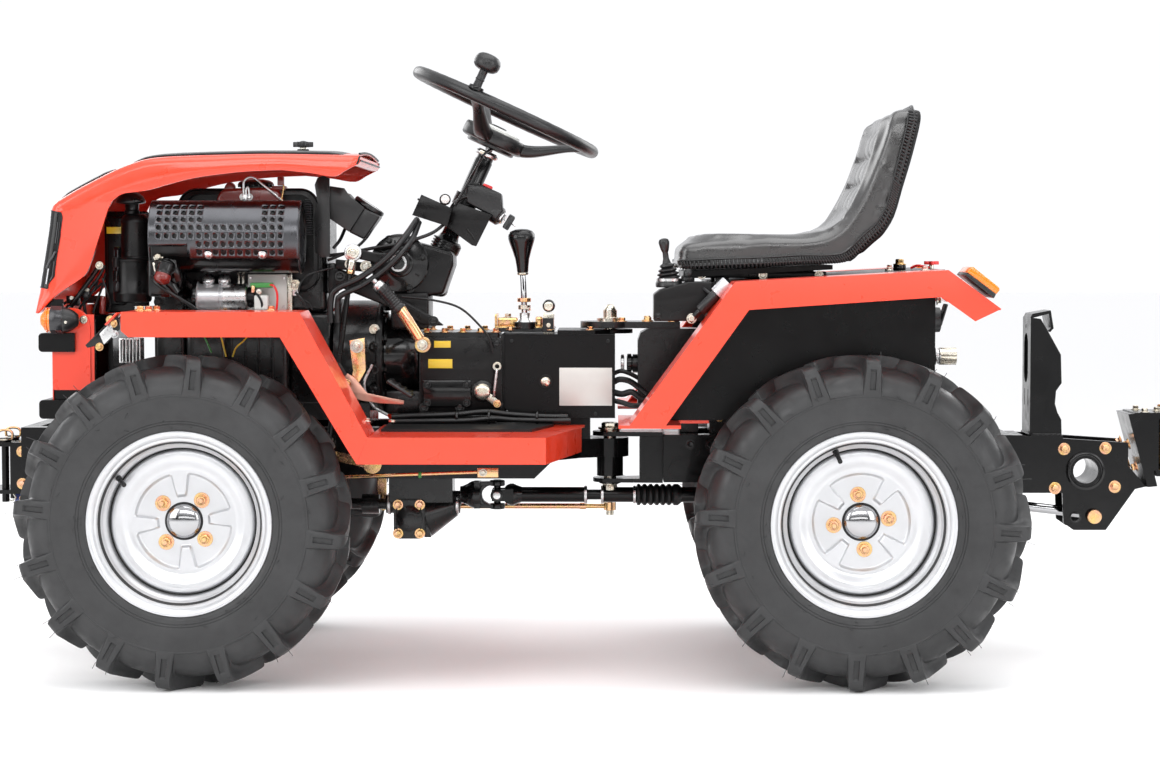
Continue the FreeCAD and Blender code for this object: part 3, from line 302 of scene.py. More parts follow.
def prism(poly, plane, a, b, bev=1.0, seg=2, angle=25.0):
    """A closed outline in a plane, pulled from a to b along the third axis, with rounded edges."""
    vs = []
    for t in (a, b):
        for p in poly:
            vs.append({"xz": (p[0], t, p[1]), "xy": (p[0], p[1], t), "yz": (t, p[0], p[1])}[plane])
    n = len(poly)
    fs = [tuple(range(n)), tuple(range(2 * n - 1, n - 1, -1))]
    fs += [(i, (i + 1) % n, n + (i + 1) % n, n + i) for i in range(n)]
    return bevelled(vs, fs, bev, seg, angle)


def rbox(x0, x1, y0, y1, z0, z1, bev=1.5, seg=2):
    return prism([(x0, z0), (x1, z0), (x1, z1), (x0, z1)], "xz", y0, y1, bev, seg)


def obox(c, ax, ay, az, sx, sy, sz, bev=1.0, seg=2):
    """A box about c with the given axes and full sizes."""
    c, ax, ay, az = V3(c), V3(ax).normalized(), V3(ay).normalized(), V3(az).normalized()
    vs, fs = prism([(-sx / 2, -sz / 2), (sx / 2, -sz / 2), (sx / 2, sz / 2), (-sx / 2, sz / 2)], "xz", -sy / 2, sy / 2, bev, seg)
    return [c + ax * p[0] + ay * p[1] + az * p[2] for p in vs], fs


def lathe(prof, p, d, seg=40, a0=0.0, a1=360.0):
    """(radius, distance along d) pairs turned about the axis through p."""
    p = V3(p)
    u, v, d = basis(d)
    full = abs(a1 - a0 - 360.0) < 1e-6
    n = seg if full else seg + 1
    vs, fs, rings = [], [], []
    for r, t in prof:
        if r < 1e-6:
            rings.append([len(vs)] * n)
            vs.append(p + d * t)
        else:
            rings.append(list(range(len(vs), len(vs) + n)))
            for k in range(n):
                a = math.radians(a0 + (a1 - a0) * k / seg)
                vs.append(p + d * t + u * (r * math.cos(a)) + v * (r * math.sin(a)))
    for i in range(len(rings) - 1):
        A, B = rings[i], rings[i + 1]
        for k in range(seg):
            k2 = (k + 1) % n
            q = []
            for x in (A[k], A[k2], B[k2], B[k]):
                if x not in q:
                    q.append(x)
            if len(q) > 2:
                fs.append(tuple(q))
    return vs, fs


def rod(p, q, r, bev=0.8, seg=28, r2=None):
    p, q = V3(p), V3(q)
    L = (q - p).length
    r2 = r if r2 is None else r2
    b = min(bev, r * 0.45, r2 * 0.45, L * 0.3)
    c = b * 0.3
    return lathe([(0, 0), (r - b, 0), (r - c, c), (r, b), (r2, L - b), (r2 - c, L - c), (r2 - b, L), (0, L)], p, q - p, seg)


def ring(p, d, r0, r1, h, bev=0.6, seg=36):
    """A flat ring of inner radius r0, outer r1 and height h."""
    b = min(bev, h * 0.4, (r1 - r0) * 0.4)
    return lathe([(r0, b), (r0 + b, 0), (r1 - b, 0), (r1, b), (r1, h - b), (r1 - b, h), (r0 + b, h), (r0, h - b), (r0, b)], p, d, seg)


def ball(p, r, d=(0, 0, 1), seg=24, rings=12, squash=1.0):
    prof = [(r * math.sin(pi * i / rings), -r * squash * math.cos(pi * i / rings)) for i in range(rings + 1)]
    prof[0] = (0, prof[0][1])
    prof[-1] = (0, prof[-1][1])
    return lathe(prof, p, d, seg)


def spline(pts, n=8, closed=False):
    """Catmull-Rom points through pts."""
    P = [V3(p) for p in pts]
    N = len(P)
    res = []
    last = N if closed else N - 1
    for i in range(last):
        p0 = P[(i - 1) % N] if closed or i > 0 else P[0] * 2 - P[1]
        p1, p2 = P[i % N], P[(i + 1) % N]
        p3 = P[(i + 2) % N] if closed or i + 2 < N else P[-1] * 2 - P[-2]
        for k in range(n):
            t = k / n
            res.append(0.5 * ((2 * p1) + (p2 - p0) * t + (2 * p0 - 5 * p1 + 4 * p2 - p3) * t * t
                              + (3 * p1 - p0 - 3 * p2 + p3) * t ** 3))
    if not closed:
        res.append(P[-1])
    return res


def sweep(path, r, seg=12, closed=False, rfun=None, cap=True, section=None, up=None):
    """A round or given section along a path."""
    path = [V3(p) for p in path]
    N = len(path)
    vs, fs = [], []
    t_prev, u = None, None
    sec = section or [(math.cos(2 * pi * k / seg), math.sin(2 * pi * k / seg)) for k in range(seg)]
    m = len(sec)
    frames = []
    for i in range(N):
        a = path[(i - 1) % N] if closed or i > 0 else path[0]
        b = path[(i + 1) % N] if closed or i < N - 1 else path[-1]
        t = (b - a).normalized()
        if u is None:
            ref = V3(up) if up else (Vector((0, 0, 1)) if abs(t.z) < 0.9 else Vector((0, 1, 0)))
            u = (ref - t * ref.dot(t)).normalized()
        else:
            ax = t_prev.cross(t)
            if ax.length > 1e-9:
                ang = t_prev.angle(t)
                u = Matrix.Rotation(ang, 3, ax.normalized()) @ u
            u = (u - t * u.dot(t)).normalized()
        frames.append((path[i], u.copy(), t.cross(u)))
        t_prev = t
    for i, (c, a, b) in enumerate(frames):
        rr = rfun(i / (N - 1)) * r if rfun else r
        for x, y in sec:
            vs.append(c + a * (x * rr) + b * (y * rr))
    rows = N if closed else N - 1
    for i in range(rows):
        for k in range(m):
            fs.append((i * m + k, i * m + (k + 1) % m, ((i + 1) % N) * m + (k + 1) % m, ((i + 1) % N) * m + k))
    if cap and not closed:
        fs.append(tuple(range(m - 1, -1, -1)))
        fs.append(tuple((N - 1) * m + k for k in range(m)))
    return vs, fs


def wire(pts, r, seg=10, n=8, closed=False):
    return sweep(spline(pts, n, closed), r, seg, closed)


def join(*vfs):
    vs, fs = [], []
    for a, b in vfs:
        n = len(vs)
        vs += [V3(p) for p in a]
        fs += [tuple(i + n for i in f) for f in b]
    return vs, fs


def moved(vf, fn):
    vs, fs = vf
    return [fn(V3(p)) for p in vs], fs


def mirror_y(vf):
    vs, fs = vf
    return [Vector((p[0], -p[1], p[2])) for p in vs], [tuple(reversed(f)) for f in fs]


def hexhead(p, d, af, h, turn=0.0, dome=True):
    """A hexagon head or nut with its chamfer."""
    u, v, d = basis(d)
    p = V3(p)
    R0 = af / 2 / math.cos(pi / 6)
    vs, fs = [], []
    rows = []
    # base hexagon, upper hexagon corners cut by a cone
    for t, k in ((0.0, 0.97), (0.05 * h, 1.0), (0.82 * h, 1.0)):
        row = []
        for i in range(12):
            a = turn + i * pi / 6
            rr = (R0 if i % 2 == 0 else af / 2) * k
            row.append(len(vs))
            vs.append(p + u * (rr * math.cos(a)) + v * (rr * math.sin(a)) + d * (t if (i % 2 == 0 or t < h * 0.5) else t + 0.10 * h))
        rows.append(row)
    row = []
    for i in range(12):
        a = turn + i * pi / 6
        rr = af / 2 * 0.92
        row.append(len(vs))
        vs.append(p + u * (rr * math.cos(a)) + v * (rr * math.sin(a)) + d * h)
    rows.append(row)
    row = []
    for i in range(12):
        a = turn + i * pi / 6
        rr = af / 2 * 0.55
        row.append(len(vs))
        vs.append(p + u * (rr * math.cos(a)) + v * (rr * math.sin(a)) + d * (h * (0.97 if dome else 1.0)))
    rows.append(row)
    for a, b in zip(rows, rows[1:]):
        for i in range(12):
            fs.append((a[i], a[(i + 1) % 12], b[(i + 1) % 12], b[i]))
    fs.append(tuple(rows[0][::-1]))
    fs.append(tuple(rows[-1]))
    return vs, fs


def bolt(p, d, af=13.0, h=None, washer=True, stud=0.0, turn=None):
    """Hex bolt head on a washer, seated at p and facing d, with a stud end if it is a nut."""
    u, v, d = basis(d)
    p = V3(p)
    h = af * 0.55 if h is None else h
    turn = R.random() * pi / 3 if turn is None else turn
    parts = []
    w = 0.0
    if washer:
        w = max(1.2, af * 0.11)
        parts.append(ring(p - d * 0.3, d, af * 0.25, af * 0.88, w + 0.3, 0.4, 24))
        parts.append(ring(p + d * w, d, af * 0.25, af * 0.62, w * 0.9, 0.3, 24))
        w += w * 0.9
    parts.append(hexhead(p + d * w, d, af, h, turn))
    if stud > 0:
        r = af * 0.29
        parts.append(lathe([(0, w + h - 1), (r, w + h - 1), (r, w + h + stud * 0.35), (r * 0.93, w + h + stud * 0.42), (r, w + h + stud * 0.5),
                            (r * 0.93, w + h + stud * 0.6), (r, w + h + stud * 0.7), (r * 0.8, w + h + stud), (0, w + h + stud)], p, d, 16))
    return join(*parts)


def socket(p, d, r=5.0, h=5.0):
    """Cap screw with a hexagon socket."""
    u, v, d = basis(d)
    return lathe([(0, h * 0.35), (r * 0.5, h * 0.35), (r * 0.55, h), (r * 0.9, h), (r, h * 0.88), (r, 0), (0, 0)], p, d, 18)


# ============================ CAMERA, LIGHT, FLOOR =========================
cam_data = bpy.data.cameras.new("camera")
cam = bpy.data.objects.new("camera", cam_data)
bpy.context.scene.collection.objects.link(cam)
cam.location = (0.070, -5.270, 0.826)
look = Vector((-0.01156, 1.0, -0.05279))
cam.rotation_euler = look.to_track_quat("-Z", "Y").to_euler()
cam_data.sensor_width = 36.0
cam_data.lens = 36.0 * 2594.6 / 1160.0
cam_data.clip_end = 120.0
bpy.context.scene.camera = cam

world = bpy.data.worlds.new("studio")
bpy.context.scene.world = world
world.use_nodes = True
wn = world.node_tree.nodes
wl = world.node_tree.links
bg = wn["Background"]
wtc = wn.new("ShaderNodeTexCoord")
bg.inputs[0].default_value = (0.975, 0.98, 1.0, 1)
# pale studio all round, with an unlit band low down on the near side
sep = wn.new("ShaderNodeSeparateXYZ")
wl.new(wtc.outputs["Generated"], sep.inputs[0])


def wmath(op, a, b=None, clamp=False):
    n = wn.new("ShaderNodeMath")
    n.operation = op
    n.use_clamp = clamp
    for k, q in enumerate((a, b)):
        if q is None:
            continue
        if isinstance(q, (int, float)):
            n.inputs[k].default_value = q
        else:
            wl.new(q, n.inputs[k])
    return n.outputs[0]


near = wmath("MULTIPLY", wmath("SUBTRACT", wmath("MULTIPLY", sep.outputs[1], -1.0), 0.45), 2.6, True)
low = wmath("MULTIPLY", wmath("SUBTRACT", 0.42, wmath("ABSOLUTE", sep.outputs[2])), 4.0, True)
mask = wmath("MULTIPLY", near, low)
wl.new(wmath("SUBTRACT", 1.04, wmath("MULTIPLY", mask, 0.97)), bg.inputs[1])


def area(name, loc, target, sx, sy, power, color=(1, 1, 1)):
    d = bpy.data.lights.new(name, "AREA")
    d.shape = "RECTANGLE"
    d.size, d.size_y = sx, sy
    d.energy = power
    d.color = color
    o = bpy.data.objects.new(name, d)
    bpy.context.scene.collection.objects.link(o)
    o.location = loc
    o.rotation_euler = (Vector(target) - Vector(loc)).to_track_quat("-Z", "Y").to_euler()
    o.visible_camera = False
    return o


area("key_top", (0.3, -0.6, 3.4), (0, 0, 0.4), 4.0, 2.6, 72)
area("side_left", (-3.4, -2.6, 1.9), (-0.3, 0, 0.6), 2.2, 2.4, 54)
area("side_right", (3.2, -3.0, 1.6), (0.4, 0, 0.5), 1.6, 2.2, 36)
area("front_fill", (0.0, -4.9, 2.9), (0, 0, 0.5), 5.0, 0.9, 70)
area("floor_wash", (0.0, -4.6, 0.9), (0, -0.6, -0.2), 5.0, 0.4, 14)
area("back_left", (-2.6, 2.8, 2.4), (0, 0, 0.6), 2.4, 2.0, 38)
area("back_right", (2.8, 2.8, 2.2), (0, 0, 0.6), 2.4, 2.0, 38)

fm = bpy.data.materials.new("studio_floor")
fm.use_nodes = True
fb = fm.node_tree.nodes["Principled BSDF"]
fb.inputs["Base Color"].default_value = (0.90, 0.90, 0.90, 1)
fb.inputs["Roughness"].default_value = 0.55
fnz = fm.node_tree.nodes.new("ShaderNodeTexNoise")
fnz.inputs["Scale"].default_value = 1.6
fcr = fm.node_tree.nodes.new("ShaderNodeValToRGB")
fcr.color_ramp.elements[0].color = (0.978, 0.976, 0.972, 1)
fcr.color_ramp.elements[1].color = (0.990, 0.988, 0.984, 1)
fm.node_tree.links.new(fnz.outputs["Fac"], fcr.inputs[0])
fm.node_tree.links.new(fcr.outputs[0], fb.inputs["Base Color"])
bm = bmesh.new()
prof = [(-45.0, 0.0), (-9.0, 0.0), (9.0, 0.0), (45.0, 0.0)]
rows = []
for y, z in prof:
    rows.append([bm.verts.new((x, y, z)) for x in (-45.0, 45.0)])
for a, b in zip(rows, rows[1:]):
    bm.faces.new((a[0], a[1], b[1], b[0]))
me = bpy.data.meshes.new("studio_floor_plane")
bmesh.ops.recalc_face_normals(bm, faces=bm.faces)
bm.to_mesh(me)
bm.free()
me.materials.append(fm)
me.polygons.foreach_set("use_smooth", [True] * len(me.polygons))
floor = bpy.data.objects.new("studio_floor_plane", me)
bpy.context.scene.collection.objects.link(floor)
bpy.context.scene.view_settings.view_transform = "Standard"

# ============================ CAD NODES' FINISH ============================
rec = frame["record"]
NODE_MAT = {}
for s in rec.get("subparts", []):
    NODE_MAT[s["node"]] = s["material_slot"]
CAD_LOOK = {"red_paint": "red_paint_cad", "gloss_black": "gloss_black_cad", "satin_black": "satin_black_cad",
            "cast_black": "cast_black_cad"}
for n, o in frame["nodes"].items():
    key = NODE_MAT.get(n, "gloss_black")
    look_mat = MATS[CAD_LOOK.get(key, key)]
    if not o.material_slots:
        o.data.materials.append(look_mat)
    for ms in o.material_slots:
        ms.material = look_mat

# ============================ WHEELS =======================================
WHEEL_R = 315.0
CARC = [(150, 50), (153, 55.5), (160, 59.5), (170, 63.5), (176, 65.6), (178, 67.3), (182, 68.0), (190, 70.2), (200, 72.6), (212, 74.6),
        (224, 75.6), (235, 75.8), (238.6, 75.7), (239.4, 76.5), (242.6, 76.5), (243.4, 75.2), (250, 74.2), (258, 72.0),
        (266, 68.6), (273, 64.0), (279, 58.4), (284, 51.6), (288, 43.5), (291, 34), (293.2, 22), (294, 8), (294, 0)]
# along a tread bar: base (radius, offset), top (radius, offset), turn in mm at the tread, half width, slot depth
BAR = [
    ((237.0, 74.6), (237.6, 75.2), 0.0, 17.0, 0.0),
    ((241.0, 74.4), (242.0, 77.0), 0.0, 17.0, 0.0),
    ((247.0, 73.4), (249.0, 77.6), 0.0, 16.8, 0.0),
    ((250.5, 73.0), (253.0, 77.8), 0.0, 16.6, 0.0),
    ((251.2, 72.8), (253.8, 77.8), 0.0, 16.6, 4.6),
    ((262.0, 69.0), (268.0, 78.0), 0.0, 16.2, 5.2),
    ((270.0, 65.0), (282.0, 77.8), 0.0, 15.8, 5.4),
    ((275.0, 61.0), (290.6, 77.3), 0.0, 15.6, 5.4),
    ((275.6, 60.4), (291.4, 77.2), 0.0, 15.5, 0.0),
    ((280.0, 56.0), (298.0, 76.2), 0.4, 15.3, 0.0),
    ((283.0, 52.4), (304.6, 73.4), 1.2, 15.0, 0.0),
    ((285.4, 48.6), (309.0, 68.4), 2.6, 14.8, 0.0),
    ((287.4, 44.2), (311.6, 61.0), 5.0, 14.5, 0.0),
    ((289.4, 38.6), (313.2, 52.0), 9.0, 14.2, 0.0),
    ((291.0, 31.8), (314.0, 42.0), 14.5, 13.9, 0.0),
    ((292.2, 24.6), (314.6, 32.0), 22.0, 13.6, 0.0),
    ((293.2, 17.2), (315.0, 22.0), 31.0, 13.3, 0.0),
    ((293.8, 9.8), (315.0, 12.0), 41.5, 13.0, 0.0),
    ((294.0, 3.4), (315.0, 3.0), 52.0, 12.6, 0.0),
    ((294.0, 0.2), (314.0, -1.4), 56.5, 11.8, 0.0),
]


def tread_bar(ax, yc, sg, a_deg, s2):
    """One bar; s2 is which shoulder it starts from; sg, the outer side, is not used."""
    vs, fs = [], []
    rows = []
    for (rb, ob), (rt, ot), turn, hw, slot_d in BAR:
        row = []
        # section: foot, fillet, wall, chamfer, top edge, slot edge, slot floor, ... mirrored
        half = [(hw + 5.0, 0.0), (hw + 1.6, 0.12), (hw + 0.4, 0.45), (hw - 0.8, 0.86), (hw - 2.4, 1.0), (5.6, 1.0), (4.8, 1.0 if slot_d == 0 else None)]
        sec = [(-w, t) for w, t in half] + [(w, t) for w, t in reversed(half)]
        for w, t in sec:
            if t is None:
                dr, do = rb - rt, ob - ot
                L = math.hypot(dr, do)
                k = min(1.0, slot_d / L)
                r, o = rt + dr * k, ot + do * k
            else:
                r, o = rb + (rt - rb) * t, ob + (ot - ob) * t
            a = math.radians(a_deg) + (turn + w) / max(r, 240.0)
            row.append(len(vs))
            vs.append((ax + r * math.cos(a), yc + s2 * o, WHEEL_R + r * math.sin(a)))
        rows.append(row)
    m = len(rows[0])
    for a, b in zip(rows, rows[1:]):
        for k in range(m - 1):
            fs.append((a[k], a[k + 1], b[k + 1], b[k]))
    fs.append(tuple(rows[0]))
    fs.append(tuple(reversed(rows[-1])))
    return vs, fs


def tyre(name, body, ax, side, phase, node):
    sg = -1.0 if side == "left" else 1.0
    yc = sg * 395.0
    p = Piece(name, body, "tyre_rubber")
    prof = [(r, o) for r, o in CARC] + [(r, -o) for r, o in reversed(CARC[:-1])]
    prof = prof + [(150, -50), (150, 50)]
    # yc + sg*o
    p.add(lathe([(r, sg * o) for r, o in prof], (ax, yc, WHEEL_R), (0, 1, 0), 144))
    for k in range(16):
        p.add(tread_bar(ax, yc, sg, phase + 22.5 * k, sg))
        p.add(tread_bar(ax, yc, sg, phase + 22.5 * k + 11.25, -sg))
    # raised ring and fine mould lines by the bead
    for rr, oo in ((188, 69.9), (193, 71.1)):
        p.add(lathe([(rr - 0.9, sg * (oo - 0.6)), (rr, sg * (oo + 0.7)), (rr + 0.9, sg * (oo - 0.2))], (ax, yc, WHEEL_R), (0, 1, 0), 144))
    # rubber vent hairs
    rr = random.Random(int(phase * 10) + (3 if side == "left" else 5))
    for k in range(16):
        a = phase + 22.5 * k
        for da in (-2.4, 2.2):
            aa = math.radians(a + da + rr.uniform(-0.5, 0.5))
            low = math.sin(aa) < -0.93
            L = rr.uniform(7, 24) * (0.25 if low else 1.0)
            r0, o0 = 303.0, 75.0
            r1 = r0 + L * (0.45 if low else 0.9)
            b = rr.uniform(-5, 5)
            pts = []
            for r, o, t in ((r0 - 2, o0, 0), (r0 + (r1 - r0) * 0.5, o0 + 2.0, 0.4), (r1, o0 + 2.6, 1.0)):
                a2 = aa + b * t / 300.0
                pts.append((ax + r * math.cos(a2), yc + sg * o, WHEEL_R + r * math.sin(a2)))
            p.add(wire(pts, 0.55, 5, 3))
    for k in range(44):
        aa = rr.uniform(0, 2 * pi)
        r0 = rr.choice((181, 183, 196, 228, 244, 246))
        o0 = {181: 67.6, 183: 68.4, 196: 71.6, 228: 75.7, 244: 75.0, 246: 74.6}[r0]
        L = rr.uniform(4, 11)
        dr = rr.uniform(-0.8, 1.0) * L
        pts = [(ax + r * math.cos(aa + t * 0.02), yc + sg * o, WHEEL_R + r * math.sin(aa + t * 0.02))
               for r, o, t in ((r0, o0 - 0.5, 0), (r0 + dr * 0.4, o0 + L * 0.32, 1), (r0 + dr, o0 + L * 0.42, 2))]
        p.add(wire(pts, 0.55, 5, 3))
    return p.make(replaces=(node,), sharp=38)


def smooth01(t):
    t = max(0.0, min(1.0, t))
    return t * t * (3 - 2 * t)


def rim(name, body, ax, side, turn, valve, node):
    sg = -1.0 if side == "left" else 1.0
    yc = sg * 395.0
    c = (ax, yc, WHEEL_R)
    p = Piece(name, body, "silver_paint")
    # outer flange and well, seen from outside, then the hidden barrel and inner flange
    barrel = [(152.5, 54), (156, 59), (163, 60.5), (170, 61.5), (173.2, 63.0), (174.4, 65.2), (173.4, 67.2), (170.5, 67.8), (166.5, 66.6),
              (163.2, 63.0), (160.6, 60.6), (158.6, 57.0), (157.6, 52.4), (154.6, 49.4), (150.6, 48.2), (149.0, 45.6), (148.4, 39.0),
              (146.4, 35.4), (142.6, 33.4), (141.0, 30.0), (140.4, 24.0), (139.6, 8.0), (139.4, -30.0), (146, -40), (150.5, -48),
              (157.5, -55), (163, -62), (168, -66), (173, -66), (174.4, -63.6), (172, -61.6), (163, -60.5), (156, -59), (152.5, -54),
              (152.4, -45), (146, -36), (143, -30), (143, 24), (146, 34), (152.4, 45), (152.5, 54)]
    p.add(lathe([(r, sg * o) for r, o in barrel], c, (0, 1, 0), 128))
    # pressed disc: height over radius and angle
    nr, na = 66, 240
    a_rib = math.radians(turn + (0 if name.find("front") >= 0 else 45))

    def h(r, a):
        if r > 131.0:
            t = (r - 131.0) / 6.0
            base = 21.0 - 9.0 * t * t
        elif r > 121.0:
            base = 21.6 - 0.6 * ((r - 126) / 5.0) ** 2
        else:
            base = 21.0 - 9.5 * smooth01((121.0 - r) / 24.0)
        # pockets between the tongues
        d = abs(((a - a_rib + pi / 4) % (pi / 2)) - pi / 4)
        across = r * math.sin(d)
        halfw = 7.5 + max(0.0, r - 46.0) * 0.20
        tongue = 1.0 - smooth01((across - halfw) / 3.6 + 0.5)
        inner = smooth01((r - 44.0) / 9.0)
        pocket = smooth01((93.5 - r) / 6.0)
        arcs = pocket * (1.0 - tongue * inner)
        z = base - 7.2 * arcs
        if r < 92:
            # crease lines round a tongue stand slightly proud
            z += 0.9 * math.exp(-((across - halfw) / 1.7) ** 2) * inner
        if r < 43:
            z -= 0.0
        return z
    vs, fs = [], []
    for i in range(nr + 1):
        r = 30.0 + (136.9 - 30.0) * i / nr
        for k in range(na):
            a = 2 * pi * k / na
            vs.append((ax + r * math.cos(a), yc + sg * h(r, a), WHEEL_R + r * math.sin(a)))
    for i in range(nr):
        for k in range(na):
            k2 = (k + 1) % na
            fs.append((i * na + k, i * na + k2, (i + 1) * na + k2, (i + 1) * na + k))
    # return wall and back face
    n0 = len(vs)
    for r, o in ((136.9, 2.0), (132.0, -2.0), (60.0, -3.0), (30.0, -3.0)):
        for k in range(na):
            a = 2 * pi * k / na
            vs.append((ax + r * math.cos(a), yc + sg * o, WHEEL_R + r * math.sin(a)))
    rows = [nr * na, n0, n0 + na, n0 + 2 * na, n0 + 3 * na, 0]
    for A, B in zip(rows, rows[1:]):
        for k in range(na):
            k2 = (k + 1) % na
            fs.append((A + k, A + k2, B + k2, B + k))
    p.add((vs, fs))
    # painted shade: a near-black ring fills the gap round the disc
    p.add(lathe([(136.6, sg * 13.0), (139.8, sg * 13.6), (139.8, sg * 4.0), (136.6, sg * 4.0), (136.6, sg * 13.0)], c, (0, 1, 0), 96), "black_void")
    # hub behind
    p.add(lathe([(0, sg * -55), (44, sg * -55), (50, sg * -50), (50, sg * -6), (40, sg * 0), (0, sg * 0)], c, (0, 1, 0), 48), "cast_black")
    # chrome cap in a black ring
    base = h(34, 0.3)
    p.add(lathe([(31.0, sg * (base - 2)), (35.4, sg * (base - 1)), (36.2, sg * (base + 0.8)), (34.6, sg * (base + 2.4)), (32.0, sg * (base + 2.2)), (31.0, sg * (base - 2))], c, (0, 1, 0), 64), "rubber")
    cap = [(32.6, base - 1), (32.4, base + 3.0), (31.4, base + 5.4), (27, base + 8.6), (20, base + 11.6), (12, base + 13.6), (5, base + 14.3), (0, base + 14.4)]
    p.add(lathe([(r, sg * o) for r, o in cap], c, (0, 1, 0), 64), "chrome_rod")
    # studs and nuts
    b0 = turn + (45 if name.find("front") >= 0 else 0)
    for k in range(4):
        a = math.radians(b0 + 90 * k)
        q = (ax + 52 * math.cos(a), yc + sg * (h(52, a) - 0.4), WHEEL_R + 52 * math.sin(a))
        p.add(bolt(q, (0, sg, 0), 17.0, 8.5, True, stud=6.0), "yellow_zinc")
    # valve
    a = math.radians(valve)
    e = Vector((math.cos(a), 0, math.sin(a)))
    q0 = V3(c) + e * 145.0 + Vector((0, sg * 33.0, 0))
    q1 = V3(c) + e * 136.0 + Vector((0, sg * 46.0, 0))
    q2 = V3(c) + e * 128.0 + Vector((0, sg * 57.0, 0))
    p.add(rod(q0, q1, 6.2, 1.2, 18, 4.4), "rubber")
    p.add(rod(q1, q2, 4.3, 1.2, 18, 3.9), "rubber")
    p.add(rod(q2 - (q2 - q1) * 0.1, q2 + (q2 - q1) * 0.35, 4.4, 0.8, 18), "rubber")
    return p.make(replaces=(node,), sharp=42)


for end, ax, ph, tn, vl in (("front", -804.0, 16.3, 4.5, 144.5), ("rear", 473.0, 19.5, 7.0, 110.8)):
    for side in ("left", "right"):
        k = "%s_%s" % (end, side)
        tyre("tread_tyre_" + k, "wheel_" + k, ax, side, ph if side == "left" else ph + 7.0, "tyre_" + k)
        rim("wheel_rim_" + k, "wheel_" + k, ax, side, tn, vl, "rim_" + k)

# ============================ HOOD =========================================
HU = [(-1122.4, 703.2), (-1118.5, 728.6), (-1115.6, 746.1), (-1110.7, 777.3), (-1105.9, 806.5), (-1100.0, 841.6), (-1095.2, 872.8),
      (-1089.3, 911.7), (-1077.6, 923.4), (-1076.0, 924.4), (-1044.5, 942.9), (-999.7, 966.3), (-954.8, 987.7), (-910.0, 1002.4),
      (-876.9, 1007.2), (-818.4, 1010.1), (-744.4, 1012.1), (-691.8, 1013.1), (-641.1, 1013.1), (-565.1, 1012.1), (-506.7, 1011.1), (-497.0, 1010.8), (-488.0, 1010.3)]
HL = [(-1114.6, 703.2), (-1091.3, 728.6), (-1069.8, 746.1), (-1025.0, 777.3), (-1011.4, 806.5), (-999.7, 841.6), (-989.9, 870.8),
      (-978.2, 905.9), (-970.4, 921.5), (-969.4, 922.8), (-950.9, 935.1), (-929.5, 938.6), (-910.0, 941.0), (-888.6, 945.8),
      (-865.2, 952.7), (-810.6, 966.3), (-740.5, 976.0), (-691.8, 979.9), (-641.1, 981.9), (-584.6, 976.0), (-536.5, 969.4), (-513.0, 981.6), (-491.6, 992.4)]
HW = 213.5


def resample(pts, marks, n):
    """Catmull-Rom between stations, n steps each; stations in marks stay sharp."""
    res = []
    N = len(pts)
    for i in range(N - 1):
        p1, p2 = Vector(pts[i]), Vector(pts[i + 1])
        p0 = Vector(pts[i - 1]) if i > 0 and i not in marks else p1 * 2 - p2
        p3 = Vector(pts[i + 2]) if i + 2 < N and (i + 1) not in marks else p2 * 2 - p1
        for k in range(n):
            t = k / n
            L = (p2 - p1).length
            m1 = (p2 - p0) * (L / max(1e-6, L + (p1 - p0).length))
            m2 = (p3 - p1) * (L / max(1e-6, L + (p3 - p2).length))
            res.append(p1 * (2 * t ** 3 - 3 * t * t + 1) + m1 * (t ** 3 - 2 * t * t + t) + p2 * (3 * t * t - 2 * t ** 3) + m2 * (t ** 3 - t * t))
    res.append(Vector(pts[-1]))
    return res


SUB = 4
hu = resample(HU, (8,), SUB)
hl = resample(HL, (18,), SUB)


def hood_half(i, off=0.0):
    """Half section of the hood at station i, from the lower hem to the middle."""
    U, L = hu[i], hl[i]
    a = hu[max(0, i - 1)]
    b = hu[min(len(hu) - 1, i + 1)]
    t = (b - a).normalized()
    n = Vector((-t.y, t.x))
    rc = min(17.0, 0.42 * (U - L).length)
    crease = 8 * SUB
    yb = -HW + (0.0 if i <= crease else 1.3)
    E = U - n * rc
    pts = []
    for y in (-HW + 9.0, -HW + 4.0):
        pts.append(Vector((L.x, y, L.y)))
    ns = 9
    for k in range(ns):
        f = k / ns
        q = L + (E - L) * f
        belly = -1.6 * math.sin(pi * f)
        pts.append(Vector((q.x, yb + belly, q.y)))
    for k in range(8):
        a2 = (pi / 2) * k / 7
        q = E + n * (rc * math.sin(a2))
        pts.append(Vector((q.x, yb + rc * (1 - math.cos(a2)), q.y)))
    crown = 7.0 * smooth01((i - 9 * SUB) / (4.0 * SUB)) + 1.5 + 2.5 * smooth01((4 * SUB - i) / (4.0 * SUB))
    for y in (-188, -176, -160, -135, -100, -60, -20, 0):
        q = U + n * (crown * (1 - (y / 196.0) ** 2))
        pts.append(Vector((q.x, y, q.y)))
    return pts


def grid(rows):
    vs, fs = [], []
    m = len(rows[0])
    for r in rows:
        vs += r
    for i in range(len(rows) - 1):
        for k in range(m - 1):
            fs.append((i * m + k, i * m + k + 1, (i + 1) * m + k + 1, (i + 1) * m + k))
    return vs, fs


def solidify(th, offset=-1.0):
    def fn(o):
        md = o.modifiers.new("thickness", "SOLIDIFY")
        md.thickness = th / 1000.0
        md.offset = offset
        md.use_even_offset = False
    return fn


def full(half):
    return half + [Vector((p.x, -p.y, p.z)) for p in reversed(half[:-1])]


hood = Piece("hood_shell", "hood", "red_paint")
rows = [full(hood_half(i)) for i in range(len(hu))]
hood.add(grid(rows))
hood.make(replaces=("hood",), sharp=30, extra=solidify(2.4), away=(-800, 0, 800))

trim = Piece("hood_rear_rail", "hood", "red_paint")
